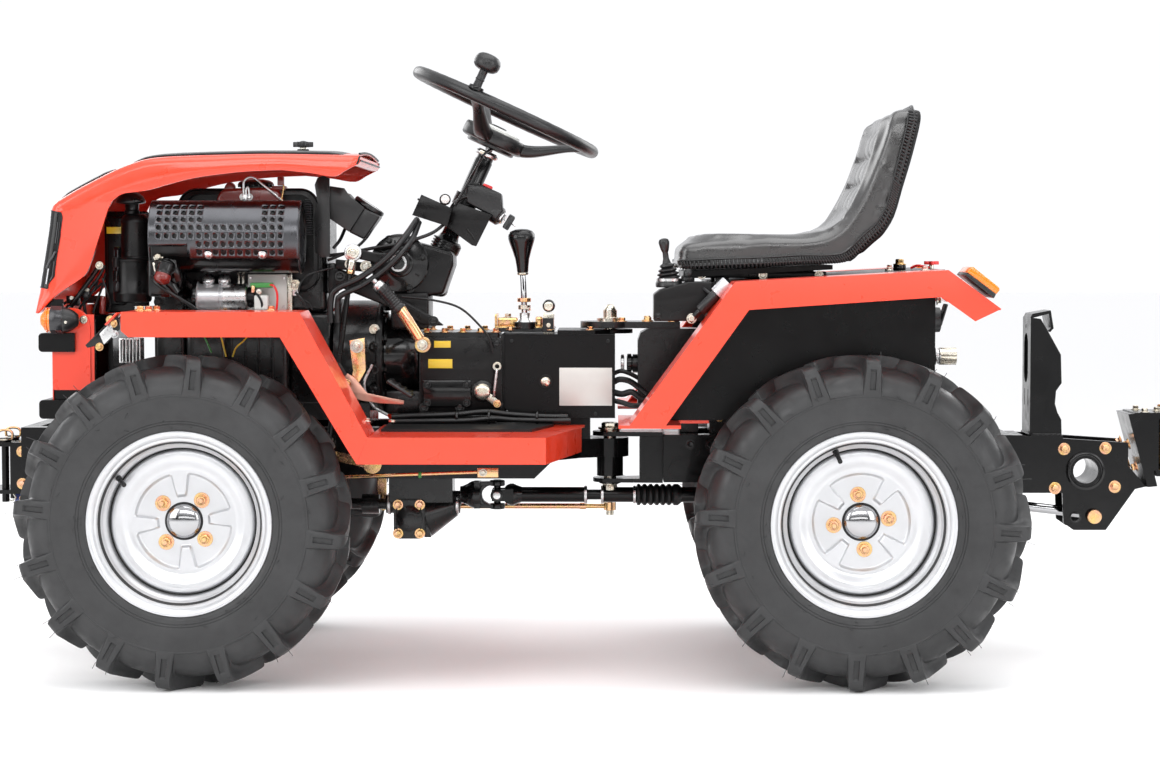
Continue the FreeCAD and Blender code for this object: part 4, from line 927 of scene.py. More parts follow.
# folded channel across the back of the hood, open at its ends, with rubber edges
prof = [(-489.0, 1008.0), (-486.5, 1002.0), (-487.0, 996.5), (-491.5, 992.0), (-499.0, 990.6), (-507.0, 992.4), (-511.0, 997.0)]
vs, fs = [], []
c0 = Vector((-498.5, 1000.5))
for y in (-209.0, 209.0):
    for q in prof:
        vs.append((q[0], y, q[1]))
    for q in prof:
        d = (Vector(q) - c0)
        q2 = c0 + d * (1 - 1.8 / d.length)
        vs.append((q2.x, y, q2.y))
m = len(prof)
for k in range(m - 1):
    fs.append((k, k + 1, 2 * m + k + 1, 2 * m + k))
    fs.append((m + k, 3 * m + k, 3 * m + k + 1, m + k + 1))
    fs.append((k, m + k, m + k + 1, k + 1))
    fs.append((2 * m + k, 2 * m + k + 1, 3 * m + k + 1, 3 * m + k))
fs.append((0, 2 * m, 3 * m, m))
fs.append((m - 1, 2 * m - 1, 4 * m - 1, 3 * m - 1))
trim.add((vs, fs))
trim.add(rod((-499, -206, 1000.2), (-499, 206, 1000.2), 5.6, 0.8, 20), "gloss_black")
trim.add(wire([(-488.2, -203, 1013.2), (-487.8, -100, 1018), (-487.8, 0, 1020), (-487.8, 100, 1018), (-488.2, 203, 1013.2)], 2.2, 8, 6), "rubber")
trim.add(wire([(-486.2, -207, 1000), (-485.6, 0, 1000), (-486.2, 207, 1000)], 1.9, 8, 4), "rubber")
for s in (-1, 1):
    trim.add(wire([(-487.4, s * 211, 1008), (-489.4, s * 213.4, 1000), (-492.4, s * 213.6, 993)], 1.9, 8, 4), "rubber")
    trim.add(obox((-505, s * 190, 1003), (1, 0, 0), (0, 1, 0), (0, 0, 1), 20, 22, 9, 1.5), "bright_zinc")
trim.make(sharp=40)

# black panels let into the top, one on the nose slope and one along the roof
for nm, i0, i1, w in (("hood_nose_pad", 9 * SUB, 12 * SUB - 1, 188.0), ("hood_roof_pad", 12 * SUB + 2, 20 * SUB - 1, 190.0)):
    p = Piece(nm, "hood", "satin_black")
    rws = []
    L = i1 - i0
    for i in range(i0, i1 + 1):
        U = hu[i]
        a, b = hu[i - 1], hu[min(len(hu) - 1, i + 1)]
        t = (b - a).normalized()
        n = Vector((-t.y, t.x))
        crown = 7.0 * smooth01((i - 9 * SUB) / (4.0 * SUB)) + 1.5
        e = min(1.0, min(i - i0, i1 - i) / 1.5)
        row = []
        ys = [-w, -w + 1.5, -w + 5, -w + 14, -w * 0.7, -w * 0.35, 0, w * 0.35, w * 0.7, w - 14, w - 5, w - 1.5, w]
        for k, y in enumerate(ys):
            edge = {0: -0.6, 1: 0.55, 2: 0.9}.get(min(k, len(ys) - 1 - k), 1.0)
            h = ((5.6 if i0 < 10 * SUB else 4.6) * edge) * (0.15 + 0.85 * e)
            q = U + n * (crown * (1 - (y / 196.0) ** 2) + h)
            row.append(Vector((q.x, y, q.y)))
        rws.append(row)
    p.add(grid(rws))
    # painted highlight: a thin pale silver bead along each long edge stands in for the light caught on the rounded edge
    for k in (0, -1):
        p.add(sweep([r[k] + Vector((0, 0, -0.4)) for r in rws], 1.0, 8), "silver_paint")
    p.make(sharp=40, extra=solidify(3.0), away=(-800, 0, 700))

# corner lamps: a dark glass that follows the shell round its edge, in a bright frame
def on_shell(i, k, off):
    """A point of the shell, k counted from the hem, moved out along the section's normal."""
    lo = int(math.floor(i))
    f = i - lo
    A = hood_half(lo)
    B = hood_half(min(lo + 1, len(hu) - 1))
    q = A[k] * (1 - f) + B[k] * f
    A1, A0 = A[min(k + 1, len(A) - 1)], A[max(k - 1, 0)]
    B1 = B[k]
    du = (A1 - A0)
    dv = (B1 - A[k]) if (B1 - A[k]).length > 1e-6 else (A[k] - hood_half(lo - 1)[k])
    n = du.cross(dv).normalized()
    c = Vector((-1000, 0, 850))
    if n.dot(q - c) < 0:
        n = -n
    return q + n * off


LR = [(-1117.5, 743.2), (-1102.7, 758.8), (-1088.8, 769.3), (-1085.3, 774.5), (-1080.1, 814.5), (-1074.9, 840.6), (-1069.7, 878.9), (-1068.8, 892.8), (-1071.4, 899.8), (-1087.9, 903.0)]


def lamp_rear(z):
    for (x0, z0), (x1, z1) in zip(LR, LR[1:]):
        if z0 <= z <= z1:
            return x0 + (x1 - x0) * (z - z0) / (z1 - z0)
    return LR[0][0] if z < LR[0][1] else LR[-1][0]


for s, nm in ((-1, "left"), (1, "right")):
    p = Piece("headlamp_" + nm, "hood", "gloss_black")
    mx = (lambda q: Vector((q.x, -q.y, q.z))) if s > 0 else (lambda q: q)
    rws = []
    i0, i1 = 2 * SUB + 1, 7 * SUB - 1
    for i in range(i0, i1 + 1):
        A = hood_half(i)
        U, L = hu[i], hl[i]
        # where the lamp's rear edge crosses this station's side panel
        side = [on_shell(i, k, 1.1) for k in range(2, 12)]
        start, frac = side[-1], 1.0
        for k in range(len(side) - 1, 0, -1):
            hit = False
            for f in (0.0, 0.1, 0.2, 0.3, 0.4, 0.5, 0.6, 0.7, 0.8, 0.9, 1.0):
                q = side[k] * (1 - f) + side[k - 1] * f
                if q.x >= lamp_rear(q.z):
                    start, hit = q, True
                    break
            if hit:
                break
            start = side[k - 1]
        E = on_shell(i, 11, 1.1)
        row = [start + (E - start) * f for f in (0, 0.12, 0.3, 0.5, 0.7, 0.86)] + [on_shell(i, k, 1.1) for k in range(11, 17)]
        rws.append([mx(q) for q in row])
    p.add(grid(rws))

    def edge_line(pts, r, mat):
        p.add(sweep(spline(pts, 3), r, 8), mat)
    edge_line([r[0] for r in rws], 1.3, "black_void")
    edge_line([r[-1] for r in rws], 1.0, "silver_paint")
    edge_line(rws[0], 1.3, "black_void")
    edge_line(rws[-1], 1.3, "black_void")
    off = Vector((0, s * 1.0, 0))
    n2 = len(rws)
    # inner frames: an upper and a lower cell with a grey bracket between them
    edge_line([rws[k][4] * 0.5 + rws[k][5] * 0.5 + off for k in range(n2 // 2 + 2, n2 - 2)], 1.3, "muffler_grey")
    mid = n2 // 2
    edge_line([rws[mid][1] + off * 1.6, rws[mid][3] + off * 1.8, rws[mid - 1][5] + off * 1.6, rws[mid - 2][7] + off * 0.6, rws[mid - 4][8] + off * 0.6], 2.6, "muffler_grey")
    edge_line([rws[k][2] + off * 1.3 for k in range(2, mid - 1)], 1.5, "muffler_grey")
    edge_line([rws[k][7] + off * 0.6 for k in range(1, mid - 3)], 1.2, "silver_paint")
    edge_line([rws[k][2] + off * 1.3 for k in range(mid + 2, n2 - 2)], 1.2, "gloss_black")
    p.make(sharp=40)

# slatted grille on the nose, between the lamps
p = Piece("hood_grille", "hood", "satin_black")
rws = []
for i in range(2 * SUB, 7 * SUB + 1):
    A = hood_half(i)
    n = Vector((-(hu[min(i + 1, len(hu) - 1)] - hu[i - 1]).y, 0, (hu[i + 1] - hu[i - 1]).x)).normalized()
    row = []
    for y in (-112, -108, -60, 0, 60, 108, 112):
        U = hu[i]
        base = 4.0 * (1 - (y / 196.0) ** 2)
        row.append(Vector((U.x, y, U.y)) + n * (base + (1.2 if abs(y) < 111 else 0.2)))
    rws.append(row)
p.add(grid(rws))
for k in range(1, 9):
    i = 2 * SUB + k * 5 * SUB / 9
    lo = int(i)
    f = i - lo
    U = hu[lo] * (1 - f) + hu[lo + 1] * f
    p.add(rbox(U.x - 9.5, U.x - 2.0, -106, 106, U.y - 2.2, U.y + 2.2, 1.2), "gloss_black")
p.make(sharp=35)

# star knob on the roof
p = Piece("hood_knob", "hood", "soft_black")
kx, kz = -622.0, 1026.0
p.add(rod((kx, 0, 1018), (kx, 0, 1036), 7.0, 1.0), "bright_zinc")
star = []
for k in range(60):
    a = 2 * pi * k / 60
    r = 17.2 + 3.6 * math.cos(6 * a)
    star.append((kx + r * math.cos(a), r * math.sin(a)))
p.add(prism(star, "xy", 1034.5, 1044.6, 2.2, 3))
p.add(ball((kx, 0, 1043.0), 9.0, (0, 0, 1), 24, 8, 0.45))
p.add(ring((kx, 0, 1027.0), (0, 0, 1), 6.0, 12.0, 3.0), "gloss_black")
p.make(replaces=("hood_fittings",), sharp=40)

# ============================ MUFFLER ======================================
MC, MRY, MRZ = (-180.0, 850.5), 61.5, 71.6


def mpt(x, a, grow=0.0):
    """a is the angle in degrees up from the near side."""
    t = math.radians(a)
    return Vector((x, MC[0] - (MRY + grow) * math.cos(t), MC[1] + (MRZ + grow) * math.sin(t)))


p = Piece("muffler_can", "front", "gloss_black")
prof = []
N = 72
rows = []
for x, g in ((-897, -14), (-897, -8), (-896, -5), (-893, -3), (-612, -3), (-604.5, -2.6), (-602.6, -3.4), (-602.2, -6.5), (-604.5, -8.0), (-607.0, -11),
             (-609.5, -13.5), (-610.0, -18)):
    rows.append([mpt(x, 360.0 * k / N, g) for k in range(N)])
vs, fs = [], []
for r in rows:
    vs += r
for i in range(len(rows) - 1):
    for k in range(N):
        fs.append((i * N + k, i * N + (k + 1) % N, (i + 1) * N + (k + 1) % N, (i + 1) * N + k))
fs.append(tuple(range(N)))
fs.append(tuple((len(rows) - 1) * N + k for k in reversed(range(N))))
p.add((vs, fs))
# end face: raised ring, dished plate, tail spigot
rows = []
for x, g in ((-611, -16), (-606.5, -17), (-605.0, -20), (-605.2, -26), (-607.5, -30), (-608.5, -40), (-607, -52)):
    rows.append([mpt(x, 360.0 * k / N, g) for k in range(N)])
vs, fs = [], []
for r in rows:
    vs += r
for i in range(len(rows) - 1):
    for k in range(N):
        fs.append((i * N + k, i * N + (k + 1) % N, (i + 1) * N + (k + 1) % N, (i + 1) * N + k))
fs.append(tuple((len(rows) - 1) * N + k for k in reversed(range(N))))
p.add((vs, fs), "muffler_grey")
# rolled seams
for x in (-895.0, -604.8):
    p.add(sweep([mpt(x, 360.0 * k / N, -2.6) for k in range(N)], 2.2, 8, True), "muffler_grey")
p.make(replaces=("muffler",), sharp=40)

# painted shade: a near-black sheet between the can and the shield darkens what shows through the holes
p = Piece("muffler_shade_sheet", "front", "black_void")
p.add(grid([[mpt(x, 63.0 - 7.3 * k, -1.2) for k in range(14)] for x in (-890, -800, -710, -622)]))
p.make(sharp=60, extra=solidify(0.4), away=(-760, -180, 850))

p = Piece("muffler_heat_shield", "front", "shield_metal")
PX0, PITCH, DA = -876.0, 15.78, 13.2
row_a = [54.9 - 13.2 * k for k in range(7)]
xs_cells = [PX0 + PITCH * (k - 0.5) for k in range(17)]
x_b = [-896.5, -892.0, -888.0] + xs_cells[0:1] + xs_cells[1:] + [-625.0, -614.0, -604.0]
ang_b = [150.0, 138.0, 126.0, 114.0, 102.0, 90.0, 76.0, 61.5 + 0.0] + [61.5 - 13.2 * (k + 1) for k in range(7)] + [-36.5]
vs, fs = [], []
cache = {}


def sv(x, a):
    key = (round(x, 3), round(a, 3))
    if key not in cache:
        cache[key] = len(vs)
        vs.append(mpt(x, a, 1.4))
    return cache[key]


def holed(r, c):
    if r in (0, 1, 2):
        return c <= 5 or c >= 13
    if r in (3, 4):
        return True
    return c >= 5


for i in range(len(x_b) - 1):
    xa, xb = x_b[i], x_b[i + 1]
    for j in range(len(ang_b) - 1):
        aa, ab = ang_b[j], ang_b[j + 1]
        xm, am = (xa + xb) / 2, (aa + ab) / 2
        col = i - 3
        r = j - 7
        if xb < -813.0 and ab < -17.5:
            if aa < -10.0:
                continue
            ab = -13.8
            am = (aa + ab) / 2
        is_cell = 0 <= col < 16 and 0 <= r < 7
        if is_cell and holed(r, col):
            hr = 4.4
            ring_i = []
            for k in range(16):
                t = 2 * pi * k / 16
                ring_i.append(sv(xm + hr * math.cos(t), am + math.degrees(hr * math.sin(t) / 66.0)))
            B = [sv(xb, am), sv(xb, aa), sv(xm, aa), sv(xa, aa), sv(xa, am), sv(xa, ab), sv(xm, ab), sv(xb, ab)]
            # the angle axis runs downwards from aa to ab, so t = 90 degrees faces aa
            for q in range(4):
                b0, b1, b2 = B[(2 * q) % 8], B[(2 * q + 1) % 8], B[(2 * q + 2) % 8]
                c = [ring_i[(4 * q + k) % 16] for k in range(5)]
                fs.append((b0, b1, c[2], c[1], c[0]))
                fs.append((b1, b2, c[4], c[3], c[2]))
        else:
            pts = [(xb, am), (xb, aa), (xm, aa), (xa, aa), (xa, am), (xa, ab), (xm, ab), (xb, ab)]
            mid = sv(xm, am)
            ids = [sv(*q) for q in pts]
            for q in range(0, 8, 2):
                fs.append((ids[q], ids[(q + 1) % 8], ids[(q + 2) % 8], mid))
p.add((vs, fs))
p.make(sharp=50, extra=solidify(1.3), away=(-760, -180, 850))

p = Piece("muffler_fittings", "front", "gloss_black")
for x in (-780.0, -675.0):
    q = mpt(x, -28.0, 1.4)
    n = Vector((0, -math.cos(math.radians(28)), -math.sin(math.radians(28))))
    p.add(ring(q - n * 0.5, n, 3, 8.6, 1.6), "steel")
    p.add(lathe([(7.2, 1.0), (7.2, 3.0), (5.6, 5.0), (3.0, 6.0), (0, 6.2)], q, n, 24), "steel")
# exhaust elbow and flange in the lower front notch
p.add(sweep(spline([(-893, -170, 800), (-893, -196, 788), (-880, -214, 778), (-862, -218, 764), (-848, -214, 742)], 8), 15.0, 20))
p.add(sweep(spline([(-880, -222, 800), (-862, -236, 798), (-846, -236, 786), (-841, -230, 768)], 8), 11.0, 18))
p.add(rbox(-901, -842, -226, -208, 735, 812, 7, 3))
p.add(bolt((-878.5, -228, 813), (0, -1, 0), 11, 7), "bright_zinc")
p.add(rod((-887, -232, 802), (-883, -232, 784), 3.0, 1.0), "bright_zinc")
# filler cap, tilted, in black, pale and dark red rings
d = Vector((-0.25, -0.35, -0.9)).normalized()
c = Vector((-858, -246, 800))
p.add(lathe([(0, 0), (13, 0), (16, 3), (16.5, 9), (15.5, 17), (15.8, 19), (0, 19)], c, d, 28), "gloss_black")
p.add(lathe([(15.6, 19), (16.0, 20), (15.8, 24), (15.0, 25), (0, 25)], c, d, 28), "gloss_black")
p.add(lathe([(15.4, 24), (16.2, 27), (15.8, 36), (12.5, 40), (5.0, 42.5), (0, 43)], c, d, 28), "dark_red")
p.add(sweep([c + d * 8 + Vector((math.cos(t) * 19.5, math.sin(t) * 19.5 * 0.5, math.sin(t) * 16)) for t in [k * 2 * pi / 30 for k in range(30)]], 1.5, 6, True))
p.make(sharp=38)

# ============================ AIR CLEANER ==================================
p = Piece("air_cleaner_can", "front", "satin_black")
ac = (-945.0, -140.0, 0.0)
p.add(lathe([(0, 722), (29, 722), (35, 724), (37.4, 728), (37.6, 738), (38.2, 739), (38.2, 742), (37.6, 743), (37.8, 802), (39.6, 803.5), (40.0, 806.5), (38.4, 808.6), (36.0, 810.4), (30.5, 811), (0, 811)],
            ac, (0, 0, 1), 64))
au = (-938.0, -140.0, 0.0)
p.add(lathe([(0, 806), (31, 806), (32.4, 809), (31.6, 812), (29.2, 814), (29.0, 878), (30.2, 880), (30.2, 883), (28.4, 886), (25, 893), (19, 897), (0, 898)], au, (0, 0, 1), 60))
p.add(lathe([(14.4, 896), (15.4, 898), (15.4, 903), (14.2, 904.5), (13.6, 906), (13.6, 918), (0, 918)], ac, (0, 0, 1), 40), "satin_black")
p.add(lathe([(0, 916), (13, 916.5), (25, 918.0), (28.6, 919.4), (29.2, 921.6), (27.6, 926.0), (24.0, 932.0), (17.0, 937.6), (8.0, 940.0), (0, 940.4)], (-947, -140, 0), (0, 0, 1), 56), "soft_black")
# toggle clips over the joint, one below the other
e, t = Vector((-0.62, -0.78, 0)).normalized(), Vector((0.78, -0.62, 0)).normalized()
c = Vector((-945, -140, 0)) + e * 38.5
for z0, z1, w, d2, m3 in ((812, 832, 13, 5, "gloss_black"), (792, 812, 12, 7, "soft_black"), (764, 786, 13, 6, "gloss_black"), (744, 762, 11, 5, "soft_black")):
    p.add(obox(c + Vector((0, 0, (z0 + z1) / 2)) + e * (d2 / 2 - (3 if z0 > 805 else 0)), e, t, (0, 0, 1), d2 + 4, w, z1 - z0, 1.8), m3)
for q in (-4.5, 4.5):
    p.add(wire([c + e * 4 + t * q + Vector((0, 0, z)) for z in (750, 770, 790, 806, 826)], 1.4, 6, 3), "muffler_grey")
# plate behind it, with a tube to the engine
p.add(rbox(-1006, -918, -112, -103, 702, 903, 4, 3), "satin_black")
p.add(rbox(-1000, -962, -122, -110, 716, 892, 5, 3), "satin_black")
p.add(rod((-935, -112, 860), (-898, -74, 860), 18, 2), "soft_black")
p.add(ring((-934, -113, 860), (38, 38, 0), 17, 21, 8), "steel")
# plain yellow sticker
p.add(rbox(-999, -969.5, -123.2, -121.6, 858.4, 871.6, 0.4), "label_yellow")
p.make(replaces=("air_cleaner",), sharp=36)

# ============================ ENGINE =======================================
p = Piece("starter_motor", "front", "bright_zinc")
sy = -150.0
p.add(lathe([(0, 0), (30, 0), (33.5, 2), (34.0, 7), (30, 9.5), (27.4, 11), (27.4, 12), (26.6, 14), (26.6, 52), (25.6, 53), (25.6, 55), (27.0, 56.0), (27.0, 60), (0, 60)],
            (-822, sy, 733), (1, 0, 0), 48), "silver_paint")
p.add(lathe([(27.2, 0.5), (34.4, 0.5), (35.0, 3), (34.4, 8.4), (27.2, 8.8)], (-822, sy, 733), (1, 0, 0), 48), "gloss_black")
p.add(lathe([(0, 60), (26.2, 60), (26.8, 61.5), (26.8, 104.5), (25.0, 106.5), (21.0, 107.5), (0, 107.5)], (-822, sy, 733), (1, 0, 0), 48), "steel")
p.add(lathe([(0, 107), (19, 107), (20, 109), (20, 121), (16, 124), (0, 124.5)], (-822, sy, 733), (1, 0, 0), 36), "satin_black")
for x in (-792, -761):
    p.add(lathe([(0, 0), (11, 0), (12.4, 3), (12.4, 10), (9.5, 14), (4, 15.6), (0, 15.8)], (x, -150, 764), (0, -0.86, 0.5), 28), "steel")
    p.add(rod((x, -120, 757), (x, -152, 763), 9.0, 1.0), "steel")
p.add(rbox(-700, -672, -176, -150, 708, 738, 4, 3), "label_pale")
p.add(rbox(-708, -664, -172, -150, 752, 762, 2.5, 2), "cable_green")
p.add(rod((-702, -170, 742), (-702, -170, 756), 4.2, 1), "yellow_zinc")
p.add(rod((-690, -176, 744), (-690, -160, 744), 5.5, 1.2), "bright_zinc")
p.add(wire([(-675, -168, 758), (-662, -172, 756), (-655, -172, 742), (-655, -170, 722), (-658, -165, 704)], 2.3, 8, 6), "button_red")
p.add(wire([(-700, -170, 744), (-690, -178, 735), (-684, -176, 720), (-688, -170, 704)], 2.4, 8, 6), "hose")
p.make(sharp=36)

p = Piece("engine_side_plate", "front", "silver_paint")
p.add(rbox(-718, -640, -130, -126, 706, 778, 1.5, 2), "label_pale")
p.add(rbox(-640, -629, -134, -124, 700, 780, 3, 3), "bright_zinc")
for x in (-736, -727):
    p.add(rod((x, -132, 700), (x, -132, 784), 2.9, 1), "bright_zinc")
for x, z in ((-712, 771), (-646, 771), (-712, 714), (-646, 714)):
    p.add(bolt((x, -130, z), (0, -1, 0), 5.0, 2.5, False), "steel")
p.add(bolt((-624, -132, 757), (0, -1, 0), 12, 7, stud=4), "bright_zinc")
p.add(rbox(-634, -618, -130, -118, 735, 768, 2, 2), "steel")
p.make(sharp=36)

# crankcase, cylinder and covers
p = Piece("engine_casting", "front", "cast_black")
p.add(rbox(-902, -842, -150, -112, 480, 742, 10, 3))
p.add(prism([(-898, 742), (-848, 742), (-842, 776), (-858, 812), (-898, 812)], "xz", -150, -116, 6, 3))
p.add(rbox(-842, -760, -146, -110, 500, 706, 12, 3))
p.add(rbox(-905, -640, -116, 138, 478, 738, 12, 3))
p.add(rbox(-868, -566, -90, 118, 700, 900, 14, 3))
p.add(rbox(-640, -556, -98, 108, 520, 700, 8, 3))
for k in range(7):
    p.add(rbox(-838 + k * 27, -832 + k * 27, -120, -108, 560, 700, 1.5))
for k in range(9):
    p.add(rbox(-880, -640, 136, 150, 560 + k * 18, 565 + k * 18, 1.5))
for x, z in ((-892, 724), (-852, 724), (-892, 560), (-852, 560), (-836, 690), (-768, 690), (-836, 520), (-768, 520)):
    p.add(bolt((x, -149.5, z), (0, -1, 0), 11, 6), "yellow_zinc" if z < 700 else "satin_black")
p.add(rbox(-938, -902, -160, -148, 700, 716, 1.5), "label_pale")
for x in (-934, -912):
    p.add(bolt((x, -160, 704), (0, -1, 0), 7, 5), "brass")
p.make(sharp=36)

# cooling shroud: a rounded shell with a rolled lip behind the muffler, finned core at its rear
p = Piece("engine_shroud", "front", "satin_black")


def round_rect(x0, x1, z0, z1, r, n=10):
    pts = []
    for cx, cz, a0 in ((x1 - r, z1 - r, 0), (x0 + r, z1 - r, 90), (x0 + r, z0 + r, 180), (x1 - r, z0 + r, 270)):
        for k in range(n + 1):
            a = math.radians(a0 + 90.0 * k / n)
            pts.append((cx + r * math.cos(a), cz + r * math.sin(a)))
    return pts


rr1 = round_rect(-856, -578, 744, 946, 36)
rr2 = round_rect(-846, -588, 754, 936, 30)
vs, fs = [], []
m = len(rr1)
levels = [(rr1, -88), (rr1, -114), (rr1, -118), (rr2, -120), (rr2, -104), (rr2, -100)]
for rr_, y in levels:
    vs += [(q[0], y, q[1]) for q in rr_]
for i in range(len(levels) - 1):
    for k in range(m):
        fs.append((i * m + k, i * m + (k + 1) % m, (i + 1) * m + (k + 1) % m, (i + 1) * m + k))
fs.append(tuple((len(levels) - 1) * m + k for k in range(m)))
fs.append(tuple(k for k in reversed(range(m))))
p.add((vs, fs))
p.add(sweep([(q[0], -119.0, q[1]) for q in rr1], 2.4, 8, True), "gloss_black")
for k in range(16):
    p.add(rbox(-606, -592, -117, -98, 856 + 4.6 * k, 858.2 + 4.6 * k, 0.5, 1), "muffler_grey")
p.make(sharp=40)

# fuel tank in dark red with its filler cap and the bent wire stays
p = Piece("fuel_tank", "front", "dark_red")
p.add(prism([(-779, 904), (-649, 904), (-649, 930), (-655, 944), (-668, 949), (-700, 950), (-722, 949), (-764, 948), (-774, 941), (-779, 930)], "xz", -127, 92, 7, 3))
p.add(prism([(-765, 942), (-744, 942), (-744, 950), (-747.5, 957.5), (-754, 961), (-760.5, 958), (-765, 950)], "xz", -124, -96, 4, 3))
p.add(rbox(-671, -642, -124, -96, 944, 953, 3))
p.add(rbox(-658.5, -645.5, -129, -120, 953.5, 970.5, 1.6, 2))
p.add(wire([(-647, -130, 955), (-645.6, -131, 950), (-650.5, -132, 924)], 1.6, 8, 4), "brass")
p.add(lathe([(0, 0), (30, 0), (30, 5), (34, 6), (35.5, 10), (34, 14.5), (27, 18.5), (14, 21), (0, 21.6)], (-706, -92, 946), (0, 0, 1), 48), "gloss_black")
for k in range(20):
    a = 2 * pi * k / 20
    p.add(rod((-706 + 34.6 * math.cos(a), -92 + 34.6 * math.sin(a), 951), (-706 + 34.6 * math.cos(a), -92 + 34.6 * math.sin(a), 958), 1.5, 0.5, 8), "gloss_black")
p.add(sweep(spline([(-724.3, -131, 926), (-724.9, -131, 956.0), (-721.2, -131, 965.4), (-713.2, -131, 969.8), (-703.6, -131, 968.4), (-689, -131, 957), (-668, -131, 939.5), (-648.2, -131, 923.5)], 8), 2.2, 10), "steel")
p.add(sweep(spline([(-720.0, -134, 926), (-719.6, -134, 944), (-716.6, -134, 950), (-714.0, -134, 944), (-713.5, -134, 928)], 8), 2.0, 10), "steel")
for x in (-727, -714):
    p.add(bolt((x, -127, 931), (0, -1, 0), 8, 5), "steel")
p.add(rod((-724, -131, 922), (-724, -131, 936), 4.6, 1.2), "steel")
p.make(replaces=("engine_block",), sharp=36)

# wiring round the engine's front and rear
p = Piece("engine_wiring", "front", "hose")
W1 = [
    ([(-892, -226, 775), (-880, -240, 762), (-852, -244, 742), (-820, -236, 722), (-800, -226, 706)], 3.6),
    ([(-615, -150, 744), (-612, -152, 758), (-600, -150, 775), (-575, -140, 784), (-550, -120, 790)], 2.0),
    ([(-622, -148, 742), (-612, -150, 734), (-604, -150, 722), (-600, -148, 712)], 2.4),
    ([(-618, -140, 738), (-610, -146, 728), (-596, -146, 722), (-588, -146, 708)], 1.8),
    ([(-1012, -150, 765), (-1020, -160, 745), (-1034, -160, 728), (-1046, -160, 712), (-1050, -158, 698)], 2.6),
    ([(-1000, -140, 795), (-1012, -150, 770), (-1028, -156, 748), (-1038, -156, 725), (-1036, -154, 700)], 3.2),
    ([(-998, -146, 780), (-1004, -150, 752), (-1014, -150, 726), (-1022, -150, 702)], 2.2),
    ([(-1010, -120, 760), (-1030, -130, 742), (-1052, -140, 736), (-1070, -150, 726), (-1084, -160, 716)], 2.8),
    ([(-1000, -165, 770), (-990, -168, 742), (-986, -160, 720), (-992, -150, 704)], 2.0),
]
for pts, r in W1:
    p.add(wire(pts, r, 8, 6))
for q in ((-1052, -160, 724), (-1034, -162, 740), (-1068, -152, 728)):
    p.add(rbox(q[0] - 6, q[0] + 6, q[1] - 5, q[1] + 5, q[2] - 8, q[2] + 8, 2), "soft_black")
p.add(rod((-1004, -150, 700), (-1001, -150, 735), 6.0, 2.0, 14), "dark_red")
p.add(bolt((-1030, -166, 748), (0, -1, 0), 8, 4, False), "bright_zinc")
p.add(bolt((-1060, -168, 732), (0, -1, 0), 8, 4, False), "bright_zinc")
# coloured wires under the fender
p.add(wire([(-772, -300, 680), (-776, -310, 662), (-770, -312, 646), (-764, -306, 630)], 1.7, 6, 6), "cable_green")
p.add(wire([(-752, -300, 672), (-744, -308, 655), (-740, -310, 640), (-736, -306, 622)], 1.6, 6, 6), "cable_yellow")
p.add(wire([(-690, -300, 668), (-702, -308, 652), (-716, -308, 640), (-724, -304, 622)], 1.6, 6, 6), "cable_yellow")
p.add(wire([(-800, -250, 668), (-780, -280, 660), (-740, -285, 664), (-690, -270, 660), (-640, -250, 668)], 4.0, 8, 6))
p.make(sharp=40)

# gas strut inside the hood's near side
p = Piece("nose_strut", "front", "gloss_black")
p.add(rod((-1002, -178, 796), (-1060, -178, 716), 5.0, 1.2, 16))
p.add(rod((-1060, -178, 716), (-1076, -178, 694), 8.0, 1.6, 16))
p.add(bolt((-1002, -184, 796), (0, -1, 0), 9, 4), "bright_zinc")
p.make(sharp=40)
# ============================ STEERING WHEEL ===============================
SC = Vector((-211.0, 0.0, 1104.0))
SU, SVV, SN = Vector((0.9094, 0, -0.416)), Vector((0, 1, 0)), Vector((0.416, 0, 0.9094))


def sp(u, v, w):
    return SC + SU * u + SVV * v + SN * w


